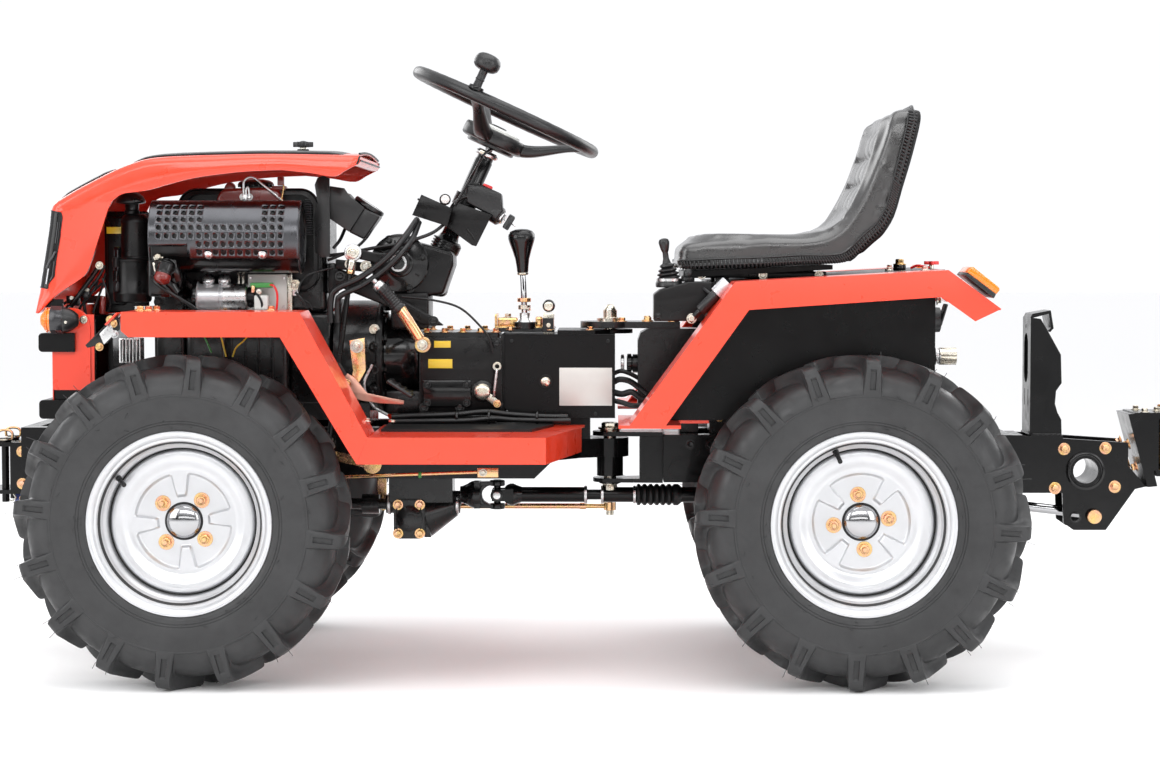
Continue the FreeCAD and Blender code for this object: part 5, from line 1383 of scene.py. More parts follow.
p = Piece("steering_wheel_rim", "steering_wheel", "soft_black")
rp = [sp(192 * math.cos(2 * pi * k / 120), 192 * math.sin(2 * pi * k / 120), 0) for k in range(120)]
p.add(sweep(rp, 12.6, 20, True, rfun=lambda t: 1.0 - 0.012 * math.cos(2 * pi * t * 40)))
p.add(lathe([(0, -80), (47, -80), (50, -78), (50.5, -73), (56, -73), (63, -71), (65.5, -68), (66, -58), (65, -47), (62.5, -44), (58, -43.4), (50, -45), (0, -45)], SC, SN, 56))
p.add(lathe([(0, -44), (47, -44.5), (50, -43), (49, -39), (42, -36.5), (20, -34.6), (0, -34.2)], SC, SN, 48), "label_pale")
p.add(lathe([(0, -34.4), (16, -34.4), (17, -33), (15, -31.6), (0, -31.2)], SC, SN, 32), "muffler_grey")
for k in range(3):
    a = math.radians((0, 109, 251)[k])
    ca, sa = math.cos(a), math.sin(a)
    rows = []
    for t in range(19):
        f = t / 18.0
        r = 44 + (189 - 44) * f
        low = -72 + 62 * smooth01((f - 0.05) / 0.92)
        high = -46 + 48 * smooth01(f * 1.05)
        h, th = (low + high) / 2, (high - low) / 2 * (1 - 0.35 * smooth01((f - 0.8) / 0.2))
        w = 21.0 - 9.0 * smooth01(f * 1.6) + 6.0 * smooth01((f - 0.86) / 0.14)
        row = []
        for q in range(14):
            b = 2 * pi * q / 14
            cy, cz = w * math.copysign(abs(math.cos(b)) ** 0.55, math.cos(b)), th * math.copysign(abs(math.sin(b)) ** 0.55, math.sin(b))
            row.append(sp(r * ca - cy * sa, r * sa + cy * ca, h + cz))
        rows.append(row)
    vs, fs = [], []
    for r in rows:
        vs += r
    for i in range(18):
        for q in range(14):
            fs.append((i * 14 + q, i * 14 + (q + 1) % 14, (i + 1) * 14 + (q + 1) % 14, (i + 1) * 14 + q))
    fs.append(tuple(range(14)))
    fs.append(tuple(18 * 14 + q for q in reversed(range(14))))
    p.add((vs, fs))
# spinner knob, ribbed
cu, cv = -62.0, -181.0
p.add(lathe([(0, 8), (9.5, 8), (10.0, 12), (9.0, 14), (8.4, 30), (9.4, 31), (9.4, 33), (8.6, 34), (8.6, 50), (10, 52), (0, 52)], sp(cu, cv, 0), SN, 40))
p.add(lathe([(0, 50), (13, 50), (20, 52.5), (25.0, 57.5), (26.6, 64), (26.2, 71), (23.0, 78), (17, 82.6), (9, 84.6), (0, 85.2)], sp(cu, cv, 0), SN, 48))
p.add(lathe([(10, 9), (15, 10), (16, 13), (15, 17), (10, 18)], sp(cu, cv, 0), SN, 32), "gloss_black")
p.add(rod(sp(0, 0, -122), sp(0, 0, -78), 7.8, 0.8), "steel")
p.make(replaces=("steering_wheel",), sharp=40)

# ============================ COLUMN AND SWITCHES ==========================
p = Piece("steering_column_tube", "front", "gloss_black")
CT = lambda t: Vector((-211.0 + 0.416 * t, 0, 1104.0 + 0.9094 * t))
p.add(lathe([(0, -322), (24, -322), (27, -319), (28, -300), (27, -287), (22, -283), (20, -276), (18.5, -272), (18.5, -108), (17.0, -106), (17.0, -98), (0, -98)], SC, SN, 44))
p.add(lathe([(10, -98.5), (23.0, -98), (24.4, -96), (24.4, -92), (22.0, -90), (20.0, -88.5), (19.0, -86.3), (10, -86.3)], SC, SN, 44), "steel")
p.add(obox(CT(-93) + Vector((-6, -20, 3)), SU, SVV, SN, 14, 16, 7, 1.2), "bright_zinc")
for k in range(5):
    p.add(ring(CT(-312 + 6 * k), SN, 24, 30.0 - 0.8 * (k % 2), 3.0), "rubber")
p.make(replaces=("steering_column",), sharp=38)

p = Piece("switch_brackets", "front", "satin_black")
p.add(prism([(-377.4, 937.0), (-315.7, 909.3), (-325.9, 873.5), (-396.2, 895.9)], "xz", -72, -69, 1.0))
p.add(prism([(-311.6, 923.1), (-237.5, 896.2), (-268.9, 833.3), (-277.9, 835.5), (-329.6, 873.7)], "xz", -50, -47, 1.0))
p.add(prism([(-385, 930), (-318, 904), (-318, 901), (-386, 926)], "xz", -69, -20, 0.8))
p.add(prism([(-316, 921), (-240, 896), (-241, 892), (-318, 917)], "xz", -47, 22, 0.8))
p.add(rbox(-300, -262, -47, 20, 874, 900, 4))
p.add(rbox(-360, -330, -68, -18, 886, 916, 4))
p.add(sweep([(-287, -51, 868), (-279, -51, 858), (-272, -51, 847)], 2.2, 8), "black_void")
# round clamp on the column
p.add(ring(CT(-210), SN, 17.5, 25.0, 26.0), "satin_black")
# pale round button on the left bracket
p.add(lathe([(0, 0), (10.6, 0), (11.4, 1.5), (11.4, 5), (10, 6.5), (9.0, 6.8), (0, 7.4)], (-330.5, -66, 926), (0.12, -0.96, 0.2), 36), "satin_black")
p.add(lathe([(0, 6.5), (8.8, 6.5), (8.4, 8.2), (5, 9.2), (0, 9.6)], (-330.5, -66, 926), (0.12, -0.96, 0.2), 36), "lens_clear")
# rocker switch body with red button
p.add(prism([(-290.1, 957.3), (-258.6, 957.3), (-218.0, 939.2), (-215.8, 903.2), (-240.5, 894.2), (-290.1, 921.2)], "xz", -44, 10, 5, 3), "soft_black")
p.add(obox((-247.3, -18, 953), (0.93, 0, -0.36), (0, 1, 0), (0.36, 0, 0.93), 20, 26, 9, 2.5, 3), "button_red")
p.add(obox((-274, -18, 958.5), (1, 0, 0), (0, 1, 0), (0, 0, 1), 22, 34, 4, 1.5), "gloss_black")
p.add(sweep(spline([(-288, -40, 934), (-300, -44, 930), (-316, -40, 916), (-322, -40, 900)], 6), 4.0, 10), "hose")
# key switch
kd = Vector((0.82, -0.25, -0.5)).normalized()
p.add(lathe([(0, -18), (17, -18), (19, -16), (19, 0), (16, 3), (0, 3)], (-222, -30, 893), kd, 32), "soft_black")
p.add(lathe([(0, 2), (12, 2), (13, 4), (13, 8), (10.5, 10), (0, 10)], (-222, -30, 893), kd, 32), "steel")
p.add(obox(Vector((-222, -30, 893)) + kd * 14, kd, (0, 1, 0.2), (0.5, 0, 0.82), 10, 3, 4, 0.6), "steel")
p.add(obox(Vector((-222, -30, 893)) + kd * 22, kd, (0, 1, 0.2), (0.5, 0, 0.82), 14, 15, 30, 2.4), "soft_black")
p.add(rod(Vector((-222, -30, 893)) + kd * 27, Vector((-222, -30, 893)) + kd * 38, 1.4, 0.4, 8), "steel")
p.make(sharp=38)

# ============================ INSTRUMENT BOX ===============================
p = Piece("instrument_pod", "front", "soft_black")
p.add(prism([(-568.7, 972.7), (-555.4, 968.3), (-555.4, 813.2), (-573.1, 811.0), (-584.2, 822.1), (-586.4, 893.0), (-579.8, 919.6), (-585.5, 955.0), (-579.8, 969.2)], "xz", -122, -119, 1.0))
p.add(prism([(-555.6, 952.9), (-526.8, 948.4), (-515.7, 932.0), (-486.9, 909.9), (-518.0, 862.0), (-555.6, 887.7)], "xz", -119, -116, 0.9))
p.add(prism([(-545, 945), (-520, 938), (-500, 915), (-520, 880), (-545, 897)], "xz", -116, -50, 3))
p.add(prism([(-492, 912), (-456.2, 893.3), (-474, 868), (-488.6, 846.5), (-519.8, 862.1)], "xz", -112, -48, 4, 3))
gd = Vector((0.55, 0, 0.835))
p.add(lathe([(0, -40), (26, -40), (28.5, -37), (29.2, -8), (32, -5), (32.4, 0), (30.5, 3.0), (27.5, 3.4), (27, 1.2), (0, 1.2)], (-480, -80, 914), gd, 48), "gloss_black")
p.add(lathe([(29.0, -5), (32.8, -4), (33.0, 0), (31.2, 3.4), (28.5, 3.6)], (-480, -80, 914), gd, 48), "soft_black")
p.add(lathe([(0, 1.3), (27.2, 1.3), (27.2, 1.6), (0, 1.8)], (-480, -80, 914), gd, 48), "dial_white")
for k in range(11):
    a = math.radians(-40 + 26 * k)
    d1 = Vector((0.835, 0, -0.55)) * math.cos(a) + Vector((0, 1, 0)) * math.sin(a)
    c = Vector((-480, -80, 914)) + gd * 1.9
    p.add(rod(c + d1 * 21, c + d1 * 25.5, 0.6, 0.1, 6), "black_void")
p.add(rod(Vector((-480, -80, 914)) + gd * 2.4, Vector((-480, -80, 914)) + gd * 2.4 + Vector((0.5, 0.7, -0.33)) * 20, 0.9, 0.2, 6), "button_red")
p.add(lathe([(27.6, 3.0), (0, 3.9)], (-480, -80, 914), gd, 48), "lens_clear")
# finned regulator behind the bracket
p.add(rbox(-586, -562, -118, -70, 828, 930, 3), "steel")
for k in range(9):
    p.add(rbox(-588.5, -560, -118, -72, 833 + 11 * k, 836 + 11 * k, 0.8, 1), "steel")
p.make(replaces=("instrument_box",), sharp=38)

# ============================ STEERING BOX =================================
p = Piece("steering_gear", "front", "satin_black")
hs = [(-447.6, 848.9), (-431.9, 853.4), (-373.6, 838.5), (-316.1, 822.8), (-313.1, 815), (-313.1, 795.2), (-333.3, 736.9), (-373.6, 732.4), (-398.3, 723.4), (-449.8, 759.3), (-452, 780)]
p.add(prism(hs, "xz", -86, 36, 7, 3))
p.add(lathe([(0, 0), (57.5, 0), (58.5, 1.5), (58.5, 9), (56, 11.5), (46, 12.6), (38, 15.5), (28, 16.6), (27, 19.5), (25.5, 20.4), (17.5, 20.8), (16, 24.0), (9.5, 24.5), (9, 26), (0, 26.2)],
            (-419.7, -84, 799.8), (0, -1, 0), 72), "gloss_black")
for k in range(8):
    a = math.radians(12 + 45 * k)
    p.add(obox((-419.7 + 37 * math.cos(a), -97, 799.8 + 37 * math.sin(a)), (math.cos(a), 0, math.sin(a)), (0, 1, 0), (-math.sin(a), 0, math.cos(a)), 20, 5, 4, 1.2))
for x, z in ((-373.0, 811.0), (-399.7, 750.9), (-446.4, 756.0), (-440, 845)):
    p.add(bolt((x, -90, z), (0, -1, 0), 12, 7, stud=3), "gloss_black")
p.add(prism([(-346.2, 828), (-314, 819), (-334, 730), (-377.9, 735.9), (-372.5, 837)], "xz", -20, 44, 9, 3))
p.add(lathe([(0, 0), (24, 0), (26, 4), (26, 20), (21, 26), (0, 26)], (-334, 0, 822), (0.416, 0, 0.9094), 36))
p.add(rbox(-438, -362, -92, 38, 667, 742, 6, 3))
# tie beam to the clutch housing
p.add(prism([(-553.1, 793.2), (-477.5, 766.5), (-424.1, 733.1), (-353.0, 693.1), (-330.7, 675.3), (-370.8, 675.3), (-459.7, 719.8), (-548.7, 755.4)], "xz", -100, -82, 4, 3))
p.add(rbox(-562, -546, -100, -40, 738, 800, 3))
p.add(bolt((-538, -101, 774), (0, -1, 0), 12, 6), "gloss_black")
p.add(bolt((-352, -101, 684), (0, -1, 0), 12, 7), "gloss_black")
p.make(replaces=("steering_box",), sharp=38)

# pitman arm, its ball, and the link down to the relay shaft
PXA, PZA, BXA, BZA = -417.0, 800.0, -505.7, 820.6
p = Piece("pitman_arm_forging", "pitman_arm", "satin_black")
pa = []
for k in range(13):
    f = k / 12.0
    x, z = PXA + (BXA - PXA) * f, PZA + (BZA - PZA) * f
    w = 17.0 - 7.5 * smooth01(f * 1.5) + 3.0 * smooth01((f - 0.8) / 0.2)
    nx, nz = -(BZA - PZA) / 91.0, (BXA - PXA) / 91.0
    pa.append(((x + nx * w, z + nz * w), (x - nx * w, z - nz * w)))
p.add(prism([q[0] for q in pa] + [q[1] for q in reversed(pa)], "xz", -157, -145, 2.5, 3))
p.add(lathe([(9.1, -6), (20, -6), (22.5, -3.5), (22.5, 6), (20, 8), (9.1, 8)], (PXA, -151, PZA), (0, -1, 0), 44))
p.add(hexhead((PXA, -158.5, PZA), (0, -1, 0), 24, 9), "gloss_black")
p.add(ring((PXA, -158, PZA), (0, -1, 0), 12, 17, 2.5), "steel")
p.add(lathe([(0, -6), (12, -6), (14, -4), (14, 4), (12, 6), (0, 6)], (BXA, -151, BZA), (0, -1, 0), 36))
p.add(rod((BXA, -157, BZA), (BXA, -177, BZA), 6.0, 0.8), "bright_zinc")
p.make(replaces=("pitman_arm",), sharp=40)
EXA, EZA = -470.0 - 88.7, 402.0 + 20.6
p = Piece("drag_link_rod", "drag_link", "satin_black")
for x, z in ((BXA, BZA), (EXA, EZA)):
    p.add(lathe([(6.1, -6), (13, -6), (16.6, -4), (17.4, 0), (16.6, 4), (13, 6), (6.1, 6)], (x, -165, z), (0, -1, 0), 40), "steel")
    p.add(lathe([(6.1, 6), (11.5, 6), (12.5, 7.4), (10.5, 9), (6.1, 9)], (x, -165, z), (0, -1, 0), 36), "bright_zinc")
d = (Vector((EXA, 0, EZA)) - Vector((BXA, 0, BZA))).normalized()
A, B = Vector((BXA, -165, BZA)), Vector((EXA, -165, EZA))
p.add(rod(A + d * 14, B - d * 14, 5.4, 0.8, 20))
p.add(rod(A + d * 14, A + d * 34, 9.0, 1.4, 24), "bright_zinc")
p.add(rod(B - d * 34, B - d * 14, 9.0, 1.4, 24), "bright_zinc")
p.add(hexhead(A + d * 34, d, 15, 8), "yellow_zinc")
p.make(replaces=("drag_link",), sharp=40)
# zinc fittings beside the ball
p = Piece("steering_link_nuts", "front", "bright_zinc")
p.add(bolt((-515.4, -120, 798.0), (0, -1, 0), 13, 8), "bright_zinc")
p.add(bolt((-484.7, -120, 793.6), (0, -1, 0), 13, 8), "bright_zinc")
p.add(prism([(-545, 808), (-478, 800), (-440, 792), (-440, 780), (-480, 782), (-545, 788)], "xz", -118, -100, 3), "satin_black")
p.make(sharp=40)

# ============================ LEVERS AND PEDAL =============================
p = Piece("hand_lever_assembly", "front", "soft_black")
A, B = Vector((-456.9, -205, 764.4)), Vector((-428.6, -205, 732.9))
d = Vector((-456.9 + 428.6, 0, 764.4 - 732.9)).normalized()
p.add(lathe([(0, 0), (13.4, 0), (14.2, 3), (14.2, 7), (13.0, 9), (13.0, 52), (14.0, 55), (12.5, 58), (0, 58)], (-409.5, -205, 709.6), d, 36))
for k in range(8):
    p.add(ring(Vector((-409.5, -205, 709.6)) + d * (10 + 5.2 * k), d, 12, 14.0, 2.2, 0.8, 32))
p.add(lathe([(0, 55), (11, 55), (12.2, 57), (12.2, 66), (10, 70), (5, 72), (5, 78), (0, 79)], (-409.5, -205, 709.6), d, 32), "steel")
p.add(rod((-409, -205, 712), (-372, -205, 652), 10.4, 1.4), "yellow_zinc")
p.add(obox((-391, -196, 680), (0.53, 0, -0.85), (0, 1, 0), (0.85, 0, 0.53), 70, 4, 20, 1), "yellow_zinc")
p.add(ring((-366, -205, 641), (0, 1, 0), 6, 15.5, 14), "yellow_zinc")
p.add(rod((-366, -214, 641), (-366, -96, 641), 6.6, 1), "bright_zinc")
p.add(bolt((-366, -214, 641), (0, -1, 0), 12, 6), "bright_zinc")
p.add(rod((-386, -98, 664), (-386, -192, 668), 5, 1), "bright_zinc")
p.make(replaces=("hand_lever",), sharp=40)

p = Piece("gear_lever", "front", "chrome_rod")
p.add(lathe([(0, -3), (10.5, -3), (11.4, 0), (12.0, 8), (14.2, 24), (19.5, 42), (25.0, 58), (27.0, 66), (25.6, 73), (20.0, 79), (11, 82.4), (0, 83.4)],
            (-175.2, -60, 784), (-0.035, 0, 1), 44), "gloss_black")
p.add(lathe([(10.0, -8), (11.5, -6.5), (11.5, -3.5), (10, -2.5)], (-175.2, -60, 784), (-0.035, 0, 1), 36), "bright_zinc")
p.add(lathe([(0, 0), (27.3, 0), (26.4, 5), (22, 10.6), (13, 14.4), (0, 15.6)], (-177.6, -60, 853), (-0.035, 0, 1), 44), "gloss_black")
p.add(rod((-171, -60, 684), (-175.0, -60, 784), 6.0, 0.6), "chrome_rod")
p.add(lathe([(0, 0), (21, 0), (22, 2), (19, 6), (16, 13), (12, 18), (10.5, 22), (10.5, 30), (0, 30)], (-171.2, -60, 670), (0, 0, 1), 36), "steel")
p.add(ring((-171.9, -60, 707), (0, 0, 1), 6, 12.6, 9), "bright_zinc")
p.add(ring((-172.4, -60, 722), (0, 0, 1), 6, 13.6, 8), "yellow_zinc")
p.add(bolt((-163, -68, 707), (0.5, -1, 0), 7, 4, False), "bright_zinc")
# flat lever with ball
p.add(prism([(-133.8, 701), (-111.4, 701), (-112.8, 656), (-133.8, 656)], "xz", -77, -72, 1.2), "bright_zinc")
p.add(ball((-122.6, -74, 714.5), 12.8, (0, 0, 1), 28, 16), "gloss_black")
p.add(rod((-122.6, -88, 714), (-122.6, -60, 714), 9.0, 1.5), "bright_zinc")
p.add(bolt((-123, -78, 676), (0, -1, 0), 9, 4), "bright_zinc")
p.make(replaces=("gear_levers",), sharp=40)

p = Piece("brake_pedal_assembly", "front", "yellow_zinc")
p.add(prism([(-507.0, 650.6), (-476.8, 655.8), (-474.7, 592.4), (-481.0, 581.0), (-504.9, 540.4), (-509.0, 550.8), (-499.7, 592.4)], "xz", -236, -231, 1.2), "yellow_zinc")
p.add(prism([(-523.1, 569.3), (-510.1, 587.5), (-494.5, 577.1), (-471.1, 548.5), (-429.6, 539.7), (-399.5, 534.5), (-401.0, 526.2), (-445.2, 528.3), (-480.5, 533.5), (-507.5, 541.8), (-524.1, 555.3)], "xz", -243, -238, 1.2), "copper_pink")
q = (-491.9, 639.4)
p.add(bolt((q[0], -237, q[1]), (0, -1, 0), 15, 9, stud=3), "bright_zinc")
q = (-511.7, 565.7)
p.add(bolt((q[0], -243, q[1]), (0, -1, 0), 11, 6), "yellow_zinc")
p.add(rod((-491, -236, 640), (-491, -98, 640), 8, 1), "bright_zinc")
ax = Vector((0.84, 0, -0.54)).normalized()
az = Vector((0.54, 0, 0.84)).normalized()
pc = Vector((-407, -240, 558))
p.add(obox(pc, ax, (0, 1, 0), az, 58, 64, 7, 3.0, 3), "soft_black")
for k in range(4):
    p.add(obox(pc + ax * (-21 + 14 * k) + az * 4.2, ax, (0, 1, 0), az, 6.0, 58, 3.0, 1.2), "soft_black")
p.add(sweep(spline([(-470, -150, 600), (-486, -150, 560), (-470, -150, 520), (-440, -150, 500)], 8), 3.0, 8), "steel")
p.make(replaces=("brake_pedal",), sharp=38)

# ============================ GEARBOX ======================================
p = Piece("gearbox_details", "front", "satin_black")
p.add(rbox(-452, -376, -78, 78, 497, 545, 6, 3), "cast_black")
# bell housing flange rings and bolts
p.add(lathe([(112, 0), (114, 1), (115, 4), (115, 12), (113, 14), (112, 14)], (-552, 0, 612), (1, 0, 0), 72))
p.add(lathe([(112, 84), (115.5, 86), (116, 92), (113, 97), (80, 98)], (-552, 0, 612), (1, 0, 0), 72))
for k in range(10):
    a = 2 * pi * k / 10 + 0.25
    p.add(bolt((-455, 98 * math.cos(a), 612 + 98 * math.sin(a)), (1, 0, 0), 12, 7), "gloss_black")
p.add(lathe([(80, 0), (82.5, 2), (82.5, 8), (81, 10), (81, 60), (82.5, 62), (82.5, 70), (80, 73)], (-455, 0, 614), (1, 0, 0), 64), "gloss_black")
for z in (548, 590, 634, 668):
    p.add(bolt((-470, -112.5 if z in (590, 634) else -100, z), (0, -1, 0), 12, 7), "bright_zinc" if z == 668 else "gloss_black")
# gear case lid and bolts
p.add(rbox(-379, -218, -96.4, -94.5, 503, 646, 3))
for x in (-366, -330, -294, -258, -228):
    p.add(bolt((x, -90, 662), (0, 0, 1), 11, 6), "yellow_zinc")
    p.add(bolt((x, 90 - 8, 662), (0, 0, 1), 11, 6), "yellow_zinc")
for x, z in ((-372, 512), (-372, 640), (-226, 640), (-300, 512)):
    p.add(bolt((x, -96.5, z), (0, -1, 0), 11, 6), "gloss_black")
# blank stickers
for x0, x1, z0, z1 in ((-351.0, -317.9, 631.4, 644.8), (-362.8, -314.7, 590.3, 608.5)):
    p.add(rbox(x0, x1, -97.4, -96.2, z0, z1, 0.3), "label_yellow")
# range lever hub
h = Vector((-254.1, -112, 544.1))
p.add(lathe([(0, 0), (20, 0), (21.5, 2), (21.5, 9), (19, 11), (16.4, 12), (16.4, 20), (15, 22), (0, 22)], (h.x, -96, h.z), (0, -1, 0), 44), "soft_black")
for k in range(18):
    a = 2 * pi * k / 18
    p.add(rod((h.x + 20.6 * math.cos(a), -98, h.z + 20.6 * math.sin(a)), (h.x + 20.6 * math.cos(a), -105, h.z + 20.6 * math.sin(a)), 1.9, 0.5, 8), "soft_black")
p.add(lathe([(0, 0), (15.6, 0), (16.4, 1.5), (16.0, 7), (12.6, 9.4), (7, 10.2), (0, 10.4)], (h.x, -110, h.z), (0, -1, 0), 36), "bright_zinc")
l1 = Vector((-224.8, -114, 520.3))
p.add(obox(((h.x + l1.x) / 2, -110, (h.z + l1.z) / 2), (l1.x - h.x, 0, l1.z - h.z), (0, 1, 0), (-(l1.z - h.z), 0, l1.x - h.x), 46, 6, 15, 2.5), "bright_zinc")
p.add(bolt((l1.x, -113, l1.z), (0, -1, 0), 9, 5), "yellow_zinc")
# cable eye and rod beside the box
e = Vector((-224.9, -112, 594.7))
p.add(ring((e.x, -112, e.z), (0, 1, 0), 4.2, 8.8, 5), "bright_zinc")
p.add(rod((e.x, -112, e.z - 6), (-231.8, -112, 533.5), 3.2, 0.8, 14), "steel")
# lower mounting box
a, b = (-374.8, 567.5), (-276.1, 511.4)
p.add(rbox(a[0], b[0], -99.5, -92, b[1], a[1], 4, 2), "gloss_black")
for x, z in ((a[0] + 10, b[1] + 10), (b[0] - 10, b[1] + 10), (a[0] + 10, a[1] - 10), (b[0] - 10, a[1] - 10)):
    p.add(bolt((x, -99.5, z), (0, -1, 0), 9, 5), "gloss_black")
# brass-coloured plate and the pivot nut's plates
p.add(rbox(-232, -115, -56, 56, 668.5, 672.5, 1), "brass")
p.add(rbox(-232, -228, -50, 50, 668.5, 697, 1.2), "yellow_zinc")
p.add(rbox(-226, -186, -44, -16, 672, 690, 3), "yellow_zinc")
p.add(rbox(-150, -136, -50, -20, 672, 692, 3), "yellow_zinc")
p.add(bolt((-206, -30, 690), (0, 0, 1), 11, 6), "bright_zinc")
for x, y in ((-200, -74), (-40, -74), (-200, 74), (-40, 74), (-120, -78), (-120, 78)):
    p.add(bolt((x, y, 666), (0, 0, 1), 10, 5), "yellow_zinc")
p.make(sharp=38)

p = Piece("gearbox_box_trim", "front", "gloss_black")
# painted shade: a near-black slab fills the gap between the gear case lid and the box
p.add(rbox(-218, -209.6, -86, 86, 500, 657, 0.6), "black_void")
c = Vector((-128.5, -91, 563.3))
p.add(lathe([(0, 0), (9.4, 0), (9.8, 1.5), (9.0, 5.5), (6.0, 7.2), (0, 7.6)], (c.x, -91, c.z), (0, -1, 0), 32), "bright_zinc")
p.add(ring((c.x, -90.6, c.z), (0, -1, 0), 9, 14, 2.4), "satin_black")
a, b = (-101.2, 591.1), (4.2, 515.2)
p.add(rbox(a[0], b[0], -91.2, -90.0, b[1], a[1], 0.4), "label_pale")
for x, z in ((-180.3, 497.5), (-29.0, 499.1), (-196.4, 644.6), (-3.9, 644.6)):
    p.add(socket((x, -90.0, z), (0, -1, 0), 4.0, 2.6), "gloss_black")
p.add(prism([(-190.6, 490.5), (-190.6, 491.6), (10.5, 491.6), (10.5, 490.5)], "xz", -91, 91, 0.3))
p.add(sweep([(-190, -90.6, 491), (-210.6, -90.6, 512), (-211, -90.6, 657.5), (9.6, -90.6, 657.5), (9.6, -90.6, 491)], 0.9, 6, True), "satin_black")
p.make(sharp=38)

# steel acorn nut and washers over the upper pivot
p = Piece("pivot_nut", "rear", "bright_zinc")
p.add(ring((0, 0, 684.5), (0, 0, 1), 8, 27, 3.4), "gloss_black")
p.add(ring((0, 0, 687.5), (0, 0, 1), 8, 17, 2.2), "bright_zinc")
p.add(hexhead((0, 0, 689), (0, 0, 1), 24, 14))
p.add(lathe([(10.8, 702), (10.6, 707), (9.0, 712), (5.4, 715.5), (0, 716.5)], (0, 0, 0), (0, 0, 1), 32))
p.add(hexhead((0, 0, 349), (0, 0, -1), 26, 12))
p.add(ring((0, 0, 352), (0, 0, 1), 10, 22, 3.4), "gloss_black")
p.make(replaces=(), sharp=38)

# cables and hoses on the front half
p = Piece("control_cables", "front", "hose")
for pts, r in (([(-383.4, -110, 886.5), (-398.6, -160, 858.7), (-418.5, -192, 830.0), (-448.5, -195, 801.0), (-489.9, -195, 771.4), (-536.0, -193, 749.0), (-547, -190, 727), (-548, -186, 684)], 6.2),
               ([(-379.8, -104, 880.6), (-388.0, -160, 850.0), (-408.7, -194, 818.9), (-438.8, -197, 789.3), (-482.7, -197, 758.1), (-524.9, -196, 738.0), (-533.5, -192, 722.6), (-534, -188, 684)], 5.8),
               ([(-256.1, -80, 1010), (-270, -66, 986), (-282.9, -50, 965.0), (-300, -50, 935), (-311.9, -52, 915.8)], 2.6),
               ([(-413.6, -120, 733.5), (-351.6, -124, 726.8), (-298.4, -120, 711.3), (-258.6, -118, 675.9), (-240, -116, 650), (-232.0, -113, 622)], 2.2),
               ([(-330, -60, 880), (-352, -80, 862), (-380, -96, 850), (-420, -108, 838), (-470, -112, 830), (-520, -108, 820), (-560, -100, 815)], 3.6),
               ([(-470, -80, 880), (-486, -96, 850), (-510, -104, 828), (-545, -106, 812), (-562, -104, 806)], 3.0),
               ([(-530, -70, 870), (-540, -80, 846), (-552, -90, 830)], 3.4)):
    p.add(wire(pts, r, 8, 7))
p.add(wire([(-256, -80, 1012), (-244, -60, 1024), (-232, -30, 1030)], 2.6, 8, 6))
p.make(sharp=60)

# hoses along the floor beside the gearbox, held by ties
p = Piece("floor_hoses", "front", "hose")
p.add(wire([(-434.1, -125, 494.4), (-386.3, -125, 497.0), (-306.6, -125, 499.7), (-248.2, -125, 505.0), (-195.1, -125, 499.7), (-136.6, -125, 496.0), (-83.5, -125, 494.9)], 5.6, 10, 8))
p.add(wire([(-433.0, -138, 486.2), (-358.8, -138, 487.3), (-284.7, -138, 488.3), (-231.7, -138, 492.6), (-189.3, -138, 489.9), (-120.4, -138, 488.3), (-78.0, -138, 488.3)], 5.2, 10, 8))
p.add(wire([(-432.5, -112, 490.9), (-392.6, -112, 488.7), (-318.1, -112, 491.9), (-264.8, -112, 494.1), (-211.5, -112, 493.0)], 4.4, 10, 8))
for x, z in ((-306.4, 494.0), (-242.7, 494.0), (-147.2, 494.0)):
    p.add(ring((x, -129, z), (1, 0, 0), 12, 13.6, 5), "gloss_black")
p.make(sharp=60)

# hoses over the pivot
for nm, pts, r in (("pivot_hose_a", [(6, -52, 560), (20, -54, 566), (40, -52, 562), (60, -50, 548), (74, -50, 536)], 6.0),
                   ("pivot_hose_b", [(6, -44, 540), (24, -46, 536), (44, -46, 540), (62, -46, 528), (76, -46, 520)], 6.4),
                   ("pivot_hose_c", [(6, -60, 524), (24, -62, 520), (46, -62, 514), (66, -58, 516), (78, -54, 526)], 5.2),
                   ("pivot_hose_d", [(4, -34, 575), (22, -36, 582), (42, -36, 576), (60, -34, 566)], 4.4)):
    q = Piece(nm, ("front", "rear", (8, 0, 550), (62, 0, 550)), "hose")
    q.add(wire(pts, r, 12, 8))
    q.make(sharp=60)

# ============================ PLATFORM AND FENDERS =========================
p = Piece("front_fender_fittings", "front", "red_paint")
for s in (-1, 1):
    # pressed oval slot in the leg's inner face, small bolts on top
    # painted shade: the slot is a near-black box standing for its shaded recess
    p.add(obox((-515, s * 300, 597), (0.52, 0, -0.85), (0, 1, 0), (0.85, 0, 0.52), 26, 3, 8, 1.2), "black_void")
    for x in (-896, -880):
        p.add(bolt((x, s * 330, 711), (0, 0, 1), 12, 6), "yellow_zinc")
    for x in (-648, -868):
        p.add(bolt((x, s * 312, 711), (0, 0, 1), 12, 6), "yellow_zinc")
    for x in (-415,):
        p.add(socket((x, s * 340, 500 - 1), (0, 0, 1), 7.0, 4.0), "bright_zinc")
    p.add(bolt((-463, s * 338, 500), (0.2, 0, 1), 9, 4), "bright_zinc")
p.make(sharp=40)
